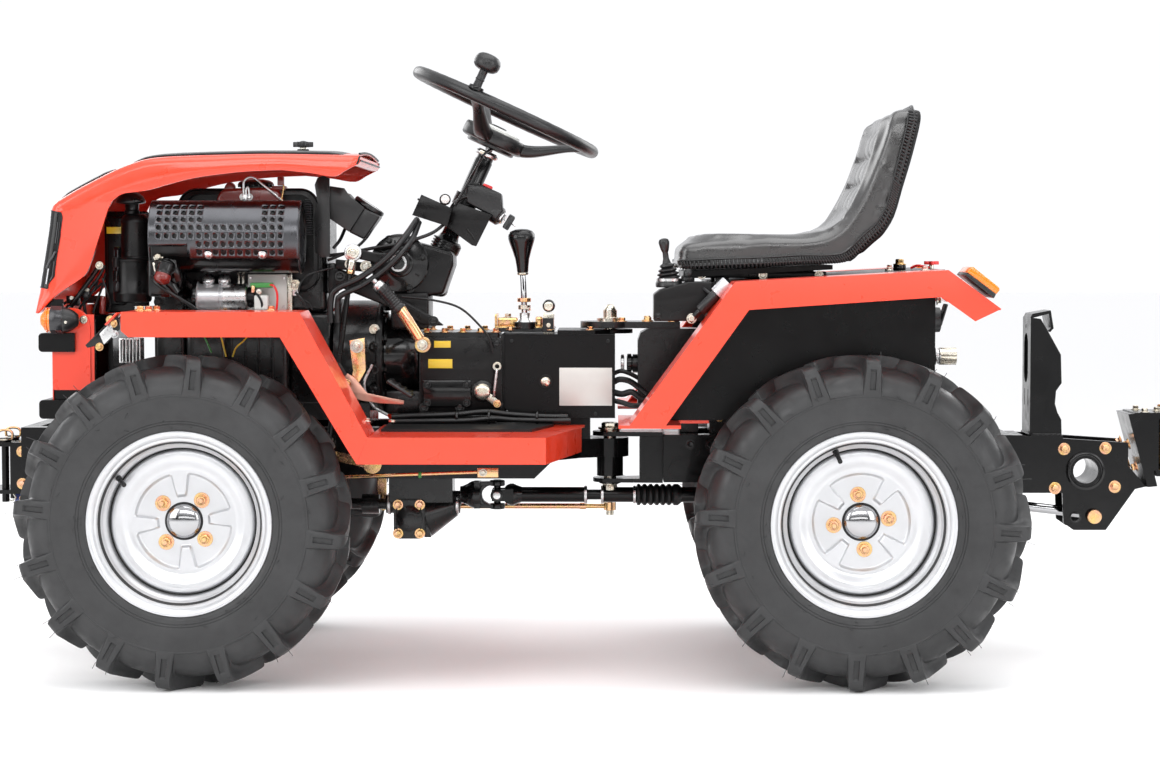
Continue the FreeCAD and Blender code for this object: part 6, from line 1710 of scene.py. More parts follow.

# front corner flaps: a bent sheet with a steel strip as painted highlight, its bolts and a small finned casting
p = Piece("front_flap_sheets", "front", "gloss_black")
for s in (-1, 1):
    yo = s * 350
    fl = [(-934.9, 702.7), (-931.1, 676.2), (-955.7, 648.5), (-965.2, 646.8), (-993.6, 640.2)]
    top = [(-934.1, 706.5), (-967.1, 674.3), (-996.7, 644.0)]
    p.add(prism([top[0], fl[0], fl[1], fl[2], fl[3], fl[4], top[2], top[1]], "xz", yo - 1.5, yo + 1.5, 0.6), "gloss_black")
    t0, t1 = Vector((top[0][0], 0, top[0][1])), Vector((top[2][0], 0, top[2][1]))
    mdl = (t0 + t1) / 2
    ax2 = (t1 - t0).normalized()
    nz = Vector((ax2.z, 0, -ax2.x))
    p.add(obox((mdl.x, s * 332, mdl.z), ax2, (0, 1, 0), nz, (t1 - t0).length, 38, 3, 0.8), "gloss_black")
    L2 = (t1 - t0).length
    q1 = t0 + ax2 * (L2 * 0.17)
    p.add(obox((q1.x, s * 340, q1.z - 0.5), ax2, (0, 1, 0), nz, L2 * 0.36, 56, 4, 0.8), "red_paint")
    # painted highlight: a steel strip across the black sheet stands in for its bright reflection
    dn = Vector((0.42, 0, -1)).normalized()
    q2 = t0 + ax2 * (L2 * 0.42) + dn * 14
    p.add(obox((q2.x, s * 353, q2.z), ax2, (0, 1, 0), dn, L2 * 0.34, 2.4, 22, 0.8), "steel")
    for (x, z), m in (((-949.5, 693.8), "brass"), ((-943.2, 686.6), "yellow_zinc"), ((-970.3, 642.1), "yellow_zinc"), ((-941.3, 666.1), "steel")):
        p.add(bolt((x, s * 351.5, z), (0, s, 0), 9, 5), m)
p.make(replaces=("fender_flaps",), sharp=40)

p = Piece("oil_cooler", "front", "steel")
a, b = (-954.7, 655.1), (-911.0, 606.5)
p.add(rbox(a[0], b[0], -240, -205, b[1], a[1], 2), "steel")
# painted shade: near-black strips sit in the gaps between the fins
for k in range(6):
    x = a[0] + 5 + (b[0] - a[0] - 10) * k / 5
    p.add(rbox(x - 1.3, x + 1.3, -243.5, -238, b[1] + 3, a[1] - 3, 0.4, 1), "black_void")
    p.add(rbox(x + 1.6, x + 4.2, -245, -238, b[1] + 1, a[1] - 1, 0.6, 1), "steel")
p.make(sharp=40)

# ============================ NOSE =========================================
p = Piece("nose_fittings", "front", "gloss_black")
for s in (-1, 1):
    # indicator: amber nose, grey eight-sided collar, black tail and stalk
    def sq(vf, s=s):
        return moved(vf, lambda q: Vector((q[0], s * 232 + (q[1] - s * 232) * 0.72, 690.0 + (q[2] - 690.0))))
    c = (-1108.0, s * 232, 690.0)
    p.add(sq(lathe([(0, 0), (6, 0.4), (12, 2.6), (17.5, 7.4), (21.5, 13.5), (24.0, 19.5), (24.4, 20.5), (0, 20.5)], c, (1, 0, 0), 40)), "amber")
    for k in range(4):
        p.add(sq(lathe([(9 + 4.4 * k, 1.0 + 3.4 * k), (10.2 + 4.4 * k, 0.6 + 3.4 * k), (11.4 + 4.4 * k, 2.2 + 3.6 * k)], c, (1, 0, 0), 40)), "amber")
    p.add(sq(lathe([(0, 19.5), (26.0, 19.5), (27.4, 21.0), (27.4, 42.5), (26.0, 44.0), (0, 44.0)], c, (1, 0, 0), 8)), "muffler_grey")
    p.add(sq(lathe([(0, 43.5), (24.4, 43.5), (24.8, 46), (22.6, 56), (17.0, 66), (11.5, 72.5), (5, 74.5), (0, 74.8)], c, (1, 0, 0), 24)), "soft_black")
    p.add(rbox(-1080, -1060, min(s * 205, s * 226), max(s * 205, s * 226), 668, 684, 3), "soft_black")
    p.add(rod((-1056, s * 247, 686), (-1056, s * 250, 686), 3.0, 0.6, 12), "bright_zinc")
    p.add(bolt((-1030, s * 205.2, 690), (0, s, 0), 9, 4), "bright_zinc")
p.make(replaces=("front_indicators",), sharp=38)

# front hitch: handles of the pins, blue bit under the clevis
p = Piece("front_hitch_fittings", "front", "yellow_zinc")
for y in (-36, 36):
    c = Vector((-1226, y, 446))
    p.add(sweep(spline([c + Vector((-14, 0, -2)), c + Vector((-15, 0, 8)), c + Vector((-8, 0, 15)), c + Vector((8, 0, 15)), c + Vector((15, 0, 8)), c + Vector((14, 0, -2))], 6), 2.6, 10), "yellow_zinc")
    p.add(ring((-1226, y, 441.0), (0, 0, 1), 7, 14, 3), "bright_zinc")
    p.add(sweep(spline([(-1226, y, 322), (-1214, y, 318), (-1206, y, 324), (-1210, y, 332)], 6), 1.7, 8), "bright_zinc")
for y in (-62, 62):
    s = 1 if y > 0 else -1
    for z in (355, 420):
        p.add(bolt((-1186, y, z), (0, s, 0), 13, 7), "yellow_zinc")
p.add(rbox(-1210, -1172, -30, 30, 312, 333, 4), "blue_paint")
p.add(bolt((-1190, -31, 322), (0, -1, 0), 11, 6), "yellow_zinc")
p.make(sharp=40)

# ============================ DRIVELINE ====================================
p = Piece("transfer_case_fittings", "front", "cast_black")
for x, z in ((-428, 312), (-384, 312), (-428, 254), (-384, 254)):
    p.add(bolt((x, -52, z), (0, -1, 0), 12, 7), "yellow_zinc")
p.add(lathe([(0, 0), (24, 0), (26, 2), (26, 6), (18, 9), (10, 10), (0, 10)], (-405, -52, 284), (0, -1, 0), 40))
p.add(lathe([(19.5, 0), (22, 1), (22, 6), (19.5, 7)], (-446, 0, 309), (-1, 0, 0), 40), "steel")
p.add(lathe([(19.5, 0), (22, 1), (22, 6), (19.5, 7)], (-314, 0, 309), (1, 0, 0), 40), "steel")
for k in range(5):
    p.add(rbox(-432 + 12 * k, -429 + 12 * k, -54, -50, 262, 305, 1))
# golden brake rod and its bracket, with a green tie
r0, r1 = Vector((-538.8, -140, 376.2)), Vector((-263.4, -140, 385.7))
p.add(rod(tuple(r0), tuple(r1), 3.6, 0.8, 14), "yellow_zinc")
a, b = (-263.4, 394.7), (-221.0, 375.1)
p.add(rbox(a[0], b[0], -142, -118, b[1], a[1], 2), "yellow_zinc")
q = Vector((-379.9, -140, 380.4))
p.add(ring((q.x, -140, q.z), (1, 0, 0), 4, 6.4, 6), "cable_green")
p.add(bolt((a[0] + 12, -142, (a[1] + b[1]) / 2), (0, -1, 0), 9, 5), "bright_zinc")
# web between the case and its cone
p.add(prism([(-376, 244.5), (-361.8, 244.5), (-372, 287), (-376, 287)], "xz", -40, 40, 1.5))
# forged bell of the shaft's fork, with its eyes and rounded throat
SHZ = 328.4
p.add(lathe([(16.8, -304), (17.6, -300), (21.5, -291), (26.4, -283), (28.4, -276), (28.4, -268), (26.5, -263.5), (0, -263.5)], (0, 0, SHZ), (1, 0, 0), 48), "gloss_black")
p.add(prism([(x, SHZ + z) for x, z in ((-266, 20), (-243, 20), (-250, 17), (-256, 12.5), (-259.5, 7), (-260.5, 0), (-259.5, -7), (-256, -12.5), (-250, -17), (-243, -20), (-266, -20))], "xz", -13, 13, 1.2), "gloss_black")
for s in (-1, 1):
    p.add(rod((-229.5, 0, SHZ + s * 17.6), (-229.5, 0, SHZ + s * 29.5), 15.8, 2.6, 32), "gloss_black")
    p.add(rod((-229.5, 0, SHZ + s * 29.0), (-229.5, 0, SHZ + s * 30.4), 8.5, 0.6, 24), "steel")
p.make(sharp=38)

# cross and eyes on the shaft's own fork
p = Piece("shaft_front_cross", "shaft_front", "gloss_black")
p.add(ball((-229.5, 0, SHZ), 11.5, (0, 0, 1), 28, 14))
for s in (-1, 1):
    p.add(rod((-229.5, s * 15.4, SHZ), (-229.5, s * 25.6, SHZ), 13.2, 2.2, 32))
    p.add(rod((-229.5, s * 25.2, SHZ), (-229.5, s * 26.4, SHZ), 7.6, 0.5, 24), "steel")
p.add(lathe([(15.2, -214), (19.5, -210), (22.5, -203), (22.5, -197), (19.0, -189), (16.2, -181), (15.0, -178)], (0, 0, SHZ), (1, 0, 0), 48))
p.make(sharp=38)
for nm, body, xs in (("shaft_front_rings", "shaft_front", (-52.5,)), ("shaft_rear_rings", "shaft_rear", (-18.5, 47.0))):
    p = Piece(nm, body, "steel")
    for x in xs:
        p.add(lathe([(15.6, 0), (18.4, 0.6), (18.4, 5.4), (15.6, 6)], (x, 0, SHZ), (1, 0, 0), 36))
    p.make(sharp=40)
# ============================ SEAT =========================================
SF = [(129, 800), (128, 822), (133, 838), (148, 846), (200, 850), (291, 849), (360, 849.5), (404, 853.0), (432, 862), (455, 879), (470, 901), (484, 926),
      (498, 956), (512, 996), (523, 1030), (531, 1064), (536, 1086), (546, 1100), (566, 1107)]
SB = [(137, 792), (141, 789), (147, 788), (158, 787.5), (206, 790), (301, 793), (372, 797.5), (438, 800), (466, 806), (489, 827), (508, 845), (526.6, 862),
      (546.6, 896), (562, 950), (576, 998), (586.4, 1038), (595, 1076), (595, 1093), (588, 1103)]
SW = 222.0


def seat_w(i):
    """Half width at a station, drawn in at the front and at the top."""
    n = len(SF)
    front = [176, 196, 206, 212, 219]
    top = [220, 218, 213, 204, 188]
    if i < 5:
        return front[i]
    if i >= n - 5:
        return top[i - (n - 5)]
    return SW


sf, sb = resample(SF, (), 3), resample(SB, (), 3)


def seat_wf(i):
    lo = min(i // 3, len(SF) - 2)
    f = (i - lo * 3) / 3.0
    return seat_w(lo) * (1 - f) + seat_w(lo + 1) * f


def seat_ring(i):
    F, B = sf[i], sb[i]
    w = seat_wf(i)
    n = (F - B)
    th = n.length
    n = n / th
    back = smooth01((i - 21) / 12.0) * (1 - smooth01((i - 47) / 6.0))
    pan = smooth01((i - 8) / 5.0) * (1 - smooth01((i - 18) / 5.0))
    rc = min(16.0, th * 0.42)
    pts = []
    # front/top face from the near side across, hollowed between the side bolsters
    ny = 14
    for k in range(ny + 1):
        y = -(w - rc) + 2 * (w - rc) * k / ny
        h = -(13.0 * back + 7.0 * pan) * smooth01((w - 44 - abs(y)) / 46.0)
        q = F + n * h
        pts.append((q.x, y, q.y))
    for a in (60, 30, 0):
        t = math.radians(a)
        q = F - n * rc * (1 - math.sin(t))
        pts.append((q.x, (w - rc) + rc * math.cos(t), q.y))
    q = B + n * min(7.0, th * 0.3)
    pts.append((q.x, w - 0.5, q.y))
    for k in range(9):
        y = (w - 6) * (1 - 2 * k / 8.0)
        pts.append((B.x, y, B.y))
    pts.append((q.x, -w + 0.5, q.y))
    for a in (0, 30, 60):
        t = math.radians(a)
        q = F - n * rc * (1 - math.sin(t))
        pts.append((q.x, -((w - rc) + rc * math.cos(t)), q.y))
    return pts


vs, fs = [], []
ns = len(sf)
for i in range(ns):
    vs += seat_ring(i)
m = len(vs) // ns
for i in range(ns - 1):
    for k in range(m):
        fs.append((i * m + k, i * m + (k + 1) % m, (i + 1) * m + (k + 1) % m, (i + 1) * m + k))
fs.append(tuple(range(m)))
fs.append(tuple((ns - 1) * m + k for k in reversed(range(m))))

me = bpy.data.meshes.new("seat_blank")
me.from_pydata([W(q) for q in vs], [], fs)
bm = bmesh.new()
bm.from_mesh(me)
bmesh.ops.recalc_face_normals(bm, faces=bm.faces)
bm.to_mesh(me)
bm.free()
blank = bpy.data.objects.new("seat_blank", me)
bpy.context.scene.collection.objects.link(blank)
md = blank.modifiers.new("remesh", "REMESH")
md.mode = "VOXEL"
md.voxel_size = 0.0065
md = blank.modifiers.new("even", "SMOOTH")
md.factor = 0.5
md.iterations = 4
dg = bpy.context.evaluated_depsgraph_get()
pad_mesh = bpy.data.meshes.new_from_object(blank.evaluated_get(dg))
start = [v.co.copy() for v in pad_mesh.vertices]
sim = bpy.data.objects.new("seat_swell", pad_mesh.copy())
bpy.context.scene.collection.objects.link(sim)
cl = sim.modifiers.new("swell", "CLOTH")
cs = cl.settings
cs.quality = 6
cs.mass = 0.3
cs.tension_stiffness = 22
cs.compression_stiffness = 22
cs.shear_stiffness = 12
cs.bending_stiffness = 1.2
cs.use_pressure = True
cs.uniform_pressure_force = 4.0
cs.effector_weights.gravity = 0.0
cl.collision_settings.use_self_collision = False
for fr in range(1, 21):
    bpy.context.scene.frame_set(fr)
dg = bpy.context.evaluated_depsgraph_get()
ev = sim.evaluated_get(dg).to_mesh()
moved_to = [v.co.copy() for v in ev.vertices]
sim.evaluated_get(dg).to_mesh_clear()
if len(moved_to) == len(start):
    facing = [v.normal.copy() for v in pad_mesh.vertices]
    for v, a, b, nv in zip(pad_mesh.vertices, start, moved_to, facing):
        d = b - a
        if d.length > 0.009:
            d = d * (0.009 / d.length)
        # held flat where it lies against the shell, behind and below
        d = d * (1.0 - smooth01((max(nv.x, -nv.z) - 0.05) / 0.35))
        v.co = a + d
bpy.data.objects.remove(sim, do_unlink=True)
bpy.context.scene.frame_set(1)
bpy.data.objects.remove(blank, do_unlink=True)

# one subdivision, then the sewn channels, and the flat where it rests on its plate
seat = bpy.data.objects.new("seat_pad", pad_mesh)
bpy.context.scene.collection.objects.link(seat)
md = seat.modifiers.new("sub", "SUBSURF")
md.levels = 1
md.render_levels = 1
dg = bpy.context.evaluated_depsgraph_get()
fine = bpy.data.meshes.new_from_object(seat.evaluated_get(dg))
seat.modifiers.clear()
seat.data = fine


def pillow(u, v, nu, nv):
    """Height of a row of pads in a unit square, nu across and nv along."""
    a, b = (u * nu) % 1.0, (v * nv) % 1.0
    fa = 1 - abs(2 * a - 1) ** 3.2
    fb = 1 - abs(2 * b - 1) ** 2.6
    return (max(0.0, fa) * max(0.0, fb)) ** 0.55


normals = [v.normal.copy() for v in fine.vertices]
for v, nrm in zip(fine.vertices, normals):
    x, y, z = v.co.x * 1000 - PX, v.co.y * 1000, v.co.z * 1000
    n2 = Vector((nrm.x, nrm.z))
    # backrest front
    if z > 905 and z < 1066 and nrm.x < -0.55 and abs(y) < 168:
        edge = smooth01((168 - abs(y)) / 8.0) * smooth01((z - 905) / 8.0) * smooth01((1066 - z) / 8.0)
        g = pillow((y + 168) / 336.0, (z - 905) / 161.0, 4, 3)
        v.co += nrm * ((-0.0075 + 0.0125 * g) * edge)
    elif 170 < x < 425 and z > 820 and nrm.z > 0.6 and abs(y) < 168:
        edge = smooth01((168 - abs(y)) / 8.0) * smooth01((x - 170) / 10.0) * smooth01((425 - x) / 10.0)
        g = pillow((y + 168) / 336.0, (x - 170) / 255.0, 4, 4)
        v.co += nrm * ((-0.005 + 0.0085 * g) * edge)
    # rests on its plate
    if 120 < x < 445 and abs(y) < 200 and nrm.z < -0.2:
        top = 785.6 + (max(144.0, min(435.0, x)) - 144) * 12.0 / 291.0
        if v.co.z * 1000 < top + 0.6:
            v.co.z = (top + 0.6) / 1000.0
fine.materials.clear()
fine.materials.append(MATS["vinyl"])
fine.polygons.foreach_set("use_smooth", [True] * len(fine.polygons))
fine.update()
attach(seat, "rear")
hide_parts("seat_cushion")

# ribbed welt round the edge of the shell
p = Piece("seat_welt", "rear", "soft_black")
loop = []
for i in range(1, ns - 1):
    F, B = sf[i], sb[i]
    n = (F - B).normalized()
    g = 7.5 if 6 < i < ns - 6 else 5.5
    q = B + n * min(g, (F - B).length * 0.35)
    loop.append(Vector((q.x, -(seat_wf(i) + 3.6), q.y)))
Ftop, Btop = sf[ns - 1], sb[ns - 1]
arc = []
for y in (-160, -110, -55, 0, 55, 110, 160):
    arc.append(Vector((Btop.x + 2.5, y, Btop.y + 3.0)))
front = []
for y in (165, 110, 55, 0, -55, -110, -165):
    front.append(Vector((SF[0][0] - 3.0, y, SF[0][1] - 6.0)))
ctrl = loop[::3] + arc + [Vector((q.x, -q.y, q.z)) for q in reversed(loop[::3])] + front
path = spline([tuple(q) for q in ctrl], 26, True)
p.add(sweep(path, 3.4, 8, True))
# close ribs across the band, both sides, from the front corner to the top
run, last = 0.0, None
for i in range(2, ns - 3):
    for f in (0.0, 0.25, 0.5, 0.75):
        F, B = sf[i] * (1 - f) + sf[i + 1] * f, sb[i] * (1 - f) + sb[i + 1] * f
        if last is not None:
            run += (B - last).length
        if last is None or run >= 4.4:
            n = (F - B).normalized()
            w = seat_wf(i) * (1 - f) + seat_wf(i + 1) * f
            P1, P2 = B + n * 0.5, B + n * min(17.0, (F - B).length * 0.55)
            for s in (-1, 1):
                p.add(rod((P1.x, s * (w + 4.4), P1.y), (P2.x, s * (w + 4.8), P2.y), 2.7, 0.9, 8))
            run = 0.0
        last = B
for s in (-1, 1):
    up = []
    for i in range(2, ns - 3, 2):
        F, B = sf[i], sb[i]
        n = (F - B).normalized()
        q = B + n * min(18.5, (F - B).length * 0.6)
        up.append((q.x, s * (seat_wf(i) + 5.0), q.y))
    p.add(sweep(spline(up, 2), 1.9, 8))
p.make(sharp=70)

# moulded shell behind and under the padding
p = Piece("seat_shell", "rear", "satin_black")
rows = []
for i in range(3, ns - 2):
    F, B = sf[i], sb[i]
    n = (F - B).normalized()
    w = seat_wf(i)
    q = B - n * (4.5 if i > 26 else 0.8)
    e = B + n * 4.0
    back_in = 3.0 * smooth01((i - 26) / 6.0)
    row = [(e.x, -w - 1.0, e.y)]
    for k in range(13):
        y = (-w + 4) * (1 - 2 * k / 12.0)
        rib = back_in * (math.cos(y / 26.0) * 0.5 + 0.5)
        q2 = q - n * rib
        row.append((q2.x, y, q2.y))
    row.append((e.x, w + 1.0, e.y))
    rows.append([Vector(r) for r in row])
p.add(grid([r for r in rows if r[7].z > 803]))
p.make(sharp=45, extra=solidify(1.6, 1.0), away=(400, 0, 950))

# slides, bolts and springs under the seat
p = Piece("seat_base_fittings", "rear", "satin_black")
for y in (-158, 158):
    p.add(rbox(160, 425, y - 12, y + 12, 771, 784, 2.5))
    for x in (180, 300, 410):
        p.add(bolt((x, y - 13 if y < 0 else y + 13, 777), (0, -1 if y < 0 else 1, 0), 10, 5), "bright_zinc")
for x in (222, 392):
    for y in (-138, 138):
        p.add(rod((x, y, 756), (x, y, 772), 13, 2), "rubber")
p.add(rbox(206, 224, -176, -160, 752, 776, 3), "gloss_black")
p.add(rod((150, -175, 776), (142, -196, 772), 4.0, 1.2), "soft_black")
p.make(sharp=38)

# ============================ CONSOLE ======================================
p = Piece("console_box", "rear", "satin_black")
p.add(prism([(84, 690), (84, 741), (96, 750), (150, 765), (196, 765), (196, 690)], "xz", -299, -190, 3, 3))
for x in (92, 188):
    p.add(bolt((x, -299, 699), (0, -1, 0), 8, 4), "gloss_black")
# joystick with its bellows
jb = Vector((114, -254, 764))
p.add(lathe([(0, -10), (24, -10), (26, -8), (26, -1), (24, 2), (0, 2)], jb, (0, 0, 1), 40), "soft_black")
p.add(lathe([(20, 1), (24.5, 2), (24.5, 7), (20, 8)], jb, (0, 0, 1), 40), "steel")
prof = [(20, 6), (22.5, 8), (22.5, 10), (17, 12.5), (21.0, 15), (21.0, 17.5), (15, 20), (18.0, 22.5), (18.0, 25), (11, 28), (14.5, 31), (13.5, 34), (8.5, 37), (7, 42), (5.8, 46), (5.5, 58), (6.5, 60), (8.0, 64), (9.8, 72), (10.6, 78), (8.8, 83), (4, 85), (0, 85.4)]
p.add(lathe(prof, jb, (-0.13, 0, 1), 40), "soft_black")
p.add(lathe([(0, 0), (12, 0), (13, 2), (13, 8), (0, 8)], (150, -262, 765), (0, 0, 1), 30), "soft_black")
p.add(lathe([(0, 8), (7, 8), (9, 12), (9, 20), (6, 24), (0, 25)], (150, -262, 765), (0, 0, 1), 30), "soft_black")
p.add(sweep(spline([(170, -280, 760), (182, -302, 750), (196, -318, 742), (214, -326, 752)], 8), 3.4, 8), "hose")
p.make(replaces=("console",), sharp=40)

# damper in front of the side panel, behind the fender's leg
p = Piece("leg_damper", "rear", "soft_black")
A, B = Vector((226, -338, 766)), Vector((150, -338, 690))
d = (B - A).normalized()
p.add(rod(A + d * 2, A + d * 34, 14.5, 2.0), "silver_paint")
p.add(rod(A + d * 30, A + d * 78, 11.0, 1.5), "soft_black")
p.add(rod(A + d * 74, A + d * 106, 6.0, 1.0), "gloss_black")
p.add(obox(A + Vector((-34, 0, -40)), d, (0, 1, 0), d.cross(Vector((0, 1, 0))), 40, 12, 12, 2.5), "button_red")
p.add(bolt((155, -338, 696), (0, -1, 0), 11, 5), "bright_zinc")
p.make(sharp=38)

# ============================ REAR DECK, FENDERS, LAMPS ====================
p = Piece("rear_body_fittings", "rear", "red_paint")
for s in (-1, 1):
    # tail lamp: black foot along the slope and a ribbed amber lens
    y0, y1 = sorted((s * 466, s * 348))
    p.add(prism([(655.5, 779.5), (660.0, 785.0), (713.5, 745.0), (709.5, 736.5)], "xz", y0, y1, 1.5), "soft_black")
    p.add(prism([(659.5, 784.6), (667.0, 794.5), (671.5, 795.0), (719.5, 757.0), (720.5, 751.5), (713.5, 744.0)], "xz", y0 + 1.5, y1 - 1.5, 3, 3), "amber")
    for k in range(13):
        f = (k + 0.7) / 13.6
        c = Vector((669.0 + (719.0 - 669.0) * f, (y0 + y1) / 2, 796.0 + (757.4 - 796.0) * f))
        p.add(obox(c, (0.79, 0, -0.61), (0, 1, 0), (0.61, 0, 0.79), 1.7, abs(y1 - y0) - 12, 1.8, 0.5, 1), "amber")
    p.add(bolt((648, s * 420, 770), (0.2, 0, -1), 10, 5), "brass")
    # bolts along the fender's inner edge
    for x, z in ((600, 787.6),):
        p.add(bolt((x, s * 316, z), (-0.055, 0, 1), 10, 5), "bright_zinc")
    for x, z in ((66, 500.5), (116, 500.5)):
        p.add(bolt((x, s * 250, z), (0, 0, 1), 10, 5), "yellow_zinc")
    p.add(bolt((626, s * 290, 560), (1, 0, 0), 11, 6), "bright_zinc")
    p.add(bolt((626, s * 290, 730), (1, 0, 0), 11, 6), "bright_zinc")
# knobs on the deck
p.add(rod((580, -60, 785), (580, -60, 797), 13, 2), "gloss_black")
p.add(bolt((580, -60, 797), (0, 0, 1), 15, 8), "brass")
p.add(rod((552, -120, 783), (552, -120, 789), 8, 1), "bright_zinc")
wing = []
for k in range(36):
    a = 2 * pi * k / 36
    r = 11 + 4.0 * math.cos(4 * a)
    wing.append((r * math.cos(a), r * math.sin(a)))
p.add(rod((640, -90, 786), (640, -90, 797), 5, 1), "bright_zinc")
p.add(moved(prism(wing, "xy", 0, 7, 1.5), lambda q: V3(q) + Vector((640, -90, 797))), "button_red")
p.add(sweep(spline([(600, -80, 790), (612, -86, 795), (626, -90, 793), (640, -90, 790)], 6), 2.6, 8), "button_red")
p.make(replaces=("tail_lamps",), sharp=40)

p = Piece("rear_casing_fittings", "rear", "satin_black")
for x, y in ((76, -38), (128, -38), (76, 38), (128, 38)):
    p.add(bolt((x, y, 682), (0, 0, 1), 13, 7), "yellow_zinc")
p.add(bolt((24, -42, 682), (0, 0, 1), 12, 6), "yellow_zinc")
p.add(lathe([(14, 0), (19.5, 1), (20, 4), (20, 9), (17, 10)], (34, 0, 596), (1, 0, 0), 40), "gloss_black")
p.add(lathe([(15, 0), (18.5, 1), (18.5, 6), (15, 7)], (22, 0, 596), (1, 0, 0), 40), "steel")
for z in (522, 596, 655):
    p.add(bolt((168, -50, z), (0, -1, 0), 10, 5), "gloss_black")
for x in (220, 300, 380, 460, 540, 610):
    p.add(bolt((x, -70, 648), (0, -1, 0), 11, 6), "yellow_zinc")
    p.add(bolt((x, -70, 492), (0, -1, 0), 11, 6), "yellow_zinc")
p.add(lathe([(0, 0), (46, 0), (48, 2), (48, 8), (30, 12), (0, 12)], (640, 0, 611), (1, 0, 0), 48), "cast_black")
for k in range(6):
    a = 2 * pi * k / 6
    p.add(bolt((648, 38 * math.cos(a), 611 + 38 * math.sin(a)), (1, 0, 0), 8, 4), "bright_zinc")
# electric plug socket, blanked, low on the rear panel
p.add(lathe([(0, 0), (26, 0), (27, 3), (25, 10), (24, 22), (20, 24), (0, 24)], (622, -190, 690), (1, 0, 0), 40), "soft_black")
p.add(obox((650, -190, 700), (0.3, 0, 1), (0, 1, 0), (1, 0, -0.3), 44, 44, 5, 2), "soft_black")
p.make(sharp=38)

# power take-off: splined steel stub with a groove
p = Piece("pto_spline", "rear", "steel")
outl = []
for k in range(96):
    a = 2 * pi * k / 96
    ph0 = (k % 16) / 16.0
    r = 17.45 if 0.14 < ph0 < 0.86 else 15.0
    outl.append((r * math.cos(a), 611 + r * math.sin(a)))
p.add(prism(outl, "yz", 668, 702.2, 0.6, 1, 40), "bright_zinc")
p.add(lathe([(15.0, 0), (15.0, 18), (17.4, 20), (17.4, 21), (15.2, 23), (15.2, 26), (17.0, 28), (17.0, 30)], (640, 0, 611), (1, 0, 0), 44))
p.add(lathe([(24, 0), (29.6, 0), (30.6, 2), (30.6, 8), (28.5, 10.5), (22, 11), (17, 11)], (640, 0, 611), (1, 0, 0), 48), "cast_black")
p.make(replaces=("pto_shaft",), sharp=38)

# ============================ REAR HITCH ===================================
p = Piece("rear_hitch_fittings", "rear", "gloss_black")
for s in (-1, 1):
    for x, z in ((911.3, 427.2), (994, 429), (893.7, 348.5), (1013.4, 351.4)):
        p.add(bolt((x, s * 66, z), (0, s, 0), 14, 8), "yellow_zinc")
    p.add(lathe([(30.5, 0), (37.6, 0), (38.4, 1.4), (38.4, 5), (36.4, 6.4), (33.5, 6.6), (32.5, 4.5), (30.5, 4.2)], (954.5, s * 66, 383.4), (0, s, 0), 64), "gloss_black")
# weld beads where the upright stands on the rails
for s in (-1, 1):
    pts = [(851 + 2.0 * k, s * 50.5, 455.8 + (0.5 if k % 2 else 0.0)) for k in range(29)]
    p.add(sweep(pts, 1.9, 7), "cast_black")
p.add(sweep([(844.4, y, 455.8) for y in range(-50, 51, 5)], 2.1, 7), "cast_black")
p.make(sharp=40)

p = Piece("rocker_fittings", "hitch_rocker", "gloss_black")
for s in (-1, 1):
    p.add(lathe([(0, 0), (13.4, 0), (14.6, 1.2), (14.6, 6.4), (13.2, 8.0), (0, 8.2)], (974.8, s * 54, 290.5), (0, s, 0), 40), "yellow_zinc")
    p.add(lathe([(9.2, 0), (11.6, 0.4), (11.6, 1.6), (9.2, 2)], (938.7, s * 48, 288.5), (0, s, 0), 36), "gloss_black")
# bolts of the end plate
for y in (-40, 40):
    for x, z in ((1040, 445), (1056, 400)):
        d = Vector((0.965, 0, 0.26))
        c = Vector((x + 30, y, z - 3))
        p.add(bolt(tuple(c), tuple(d), 13, 8), "bright_zinc")
        p.add(bolt((x + 6, y, z - 9), tuple(-d), 13, 8), "yellow_zinc")
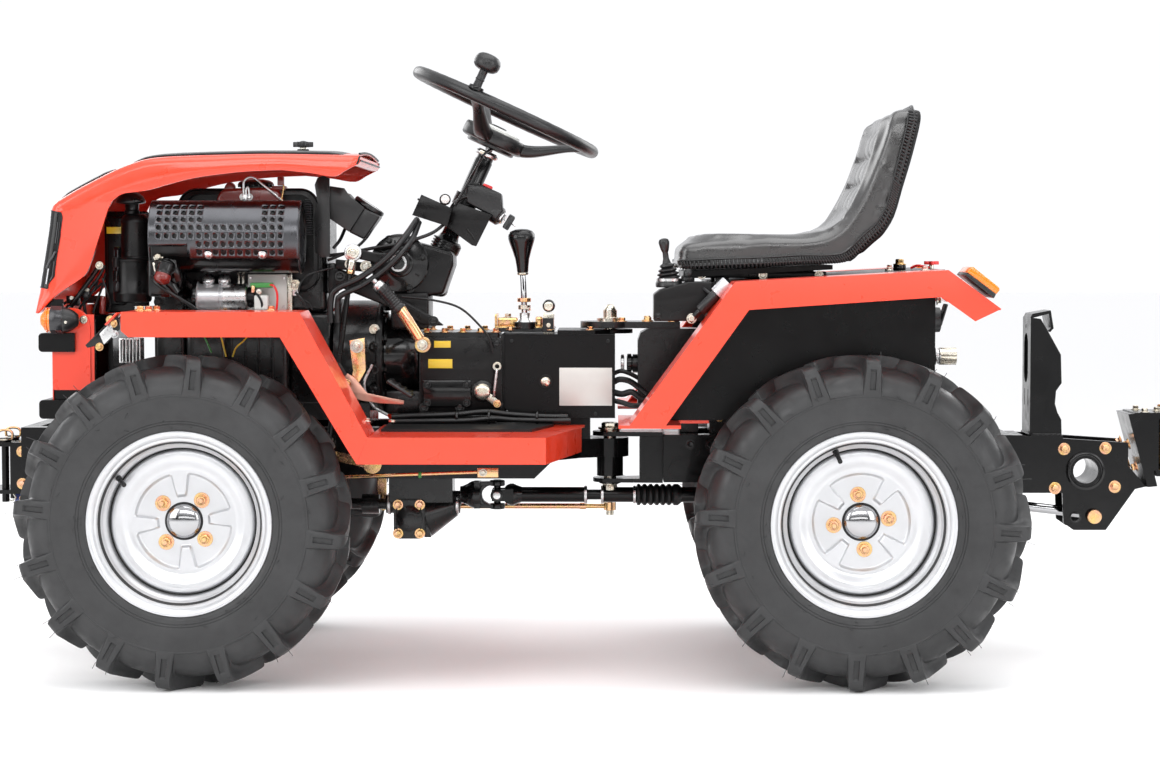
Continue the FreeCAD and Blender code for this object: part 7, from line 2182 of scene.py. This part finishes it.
# clevis pins: hex heads, bright collars and clips
for y in (-30, 30):
    p.add(rod((1128, y, 384), (1128, y, 488), 9.6, 0.8), "yellow_zinc")
    p.add(ring((1128, y, 502.5), (0, 0, 1), 7, 15, 3.5), "bright_zinc")
    p.add(hexhead((1128, y, 504), (0, 0, 1), 19, 8), "yellow_zinc")
    p.add(ring((1128, y, 369.5), (0, 0, 1), 7, 14, 3.0), "bright_zinc")
    p.add(sweep(spline([(1128, y - 10, 364), (1138, y, 362), (1128, y + 10, 364)], 6), 1.8, 8), "bright_zinc")
for x, y in ((1076, -46), (1076, 46), (1110, 0)):
    p.add(bolt((x, y, 500), (0, 0, 1), 11, 6), "bright_zinc")
p.make(sharp=40)

# rings and hose ports of the lift cylinder
p = Piece("lift_cylinder_rings", "lift_cylinder", "steel")
cd = Vector((974.8 - 622.0, 0, 290.5 - 331.0)).normalized()
c0 = Vector((622.0, 0, 331.0))
p.add(lathe([(21, 0), (23.4, 1), (23.4, 12), (21, 14)], c0 + cd * 206, cd, 40), "gloss_black")
p.add(lathe([(10, 0), (18, 0), (19, 2), (12, 5), (10, 5)], c0 + cd * 222, cd, 40), "bright_zinc")
p.add(lathe([(21, 0), (22.6, 1), (22.6, 10), (21, 11)], c0 + cd * 24, cd, 40), "gloss_black")
for t in (40, 196):
    q = c0 + cd * t
    p.add(rod(q + Vector((0, -18, 6)), q + Vector((0, -27, 10)), 7, 1), "bright_zinc")
p.make(sharp=40)

# tower and rails of the rear frame
p = Piece("rear_frame_fittings", "rear", "gloss_black")
for s in (-1, 1):
    for x in (400, 580):
        p.add(bolt((x, s * 120, 412), (0, s, 0), 13, 7), "yellow_zinc")
    for x in (160, 200):
        p.add(bolt((x, s * 120, 440), (0, s, 0), 12, 6), "gloss_black")
    p.add(sweep([(107.5, y, 458.5) for y in range(-118, 119, 6)], 2.0, 7), "cast_black")
p.add(ring((0, 0, 462.2), (0, 0, 1), 13, 24, 4.2), "bright_zinc")
p.add(hexhead((0, 0, 464.5), (0, 0, 1), 30, 12), "bright_zinc")
p.make(sharp=40)
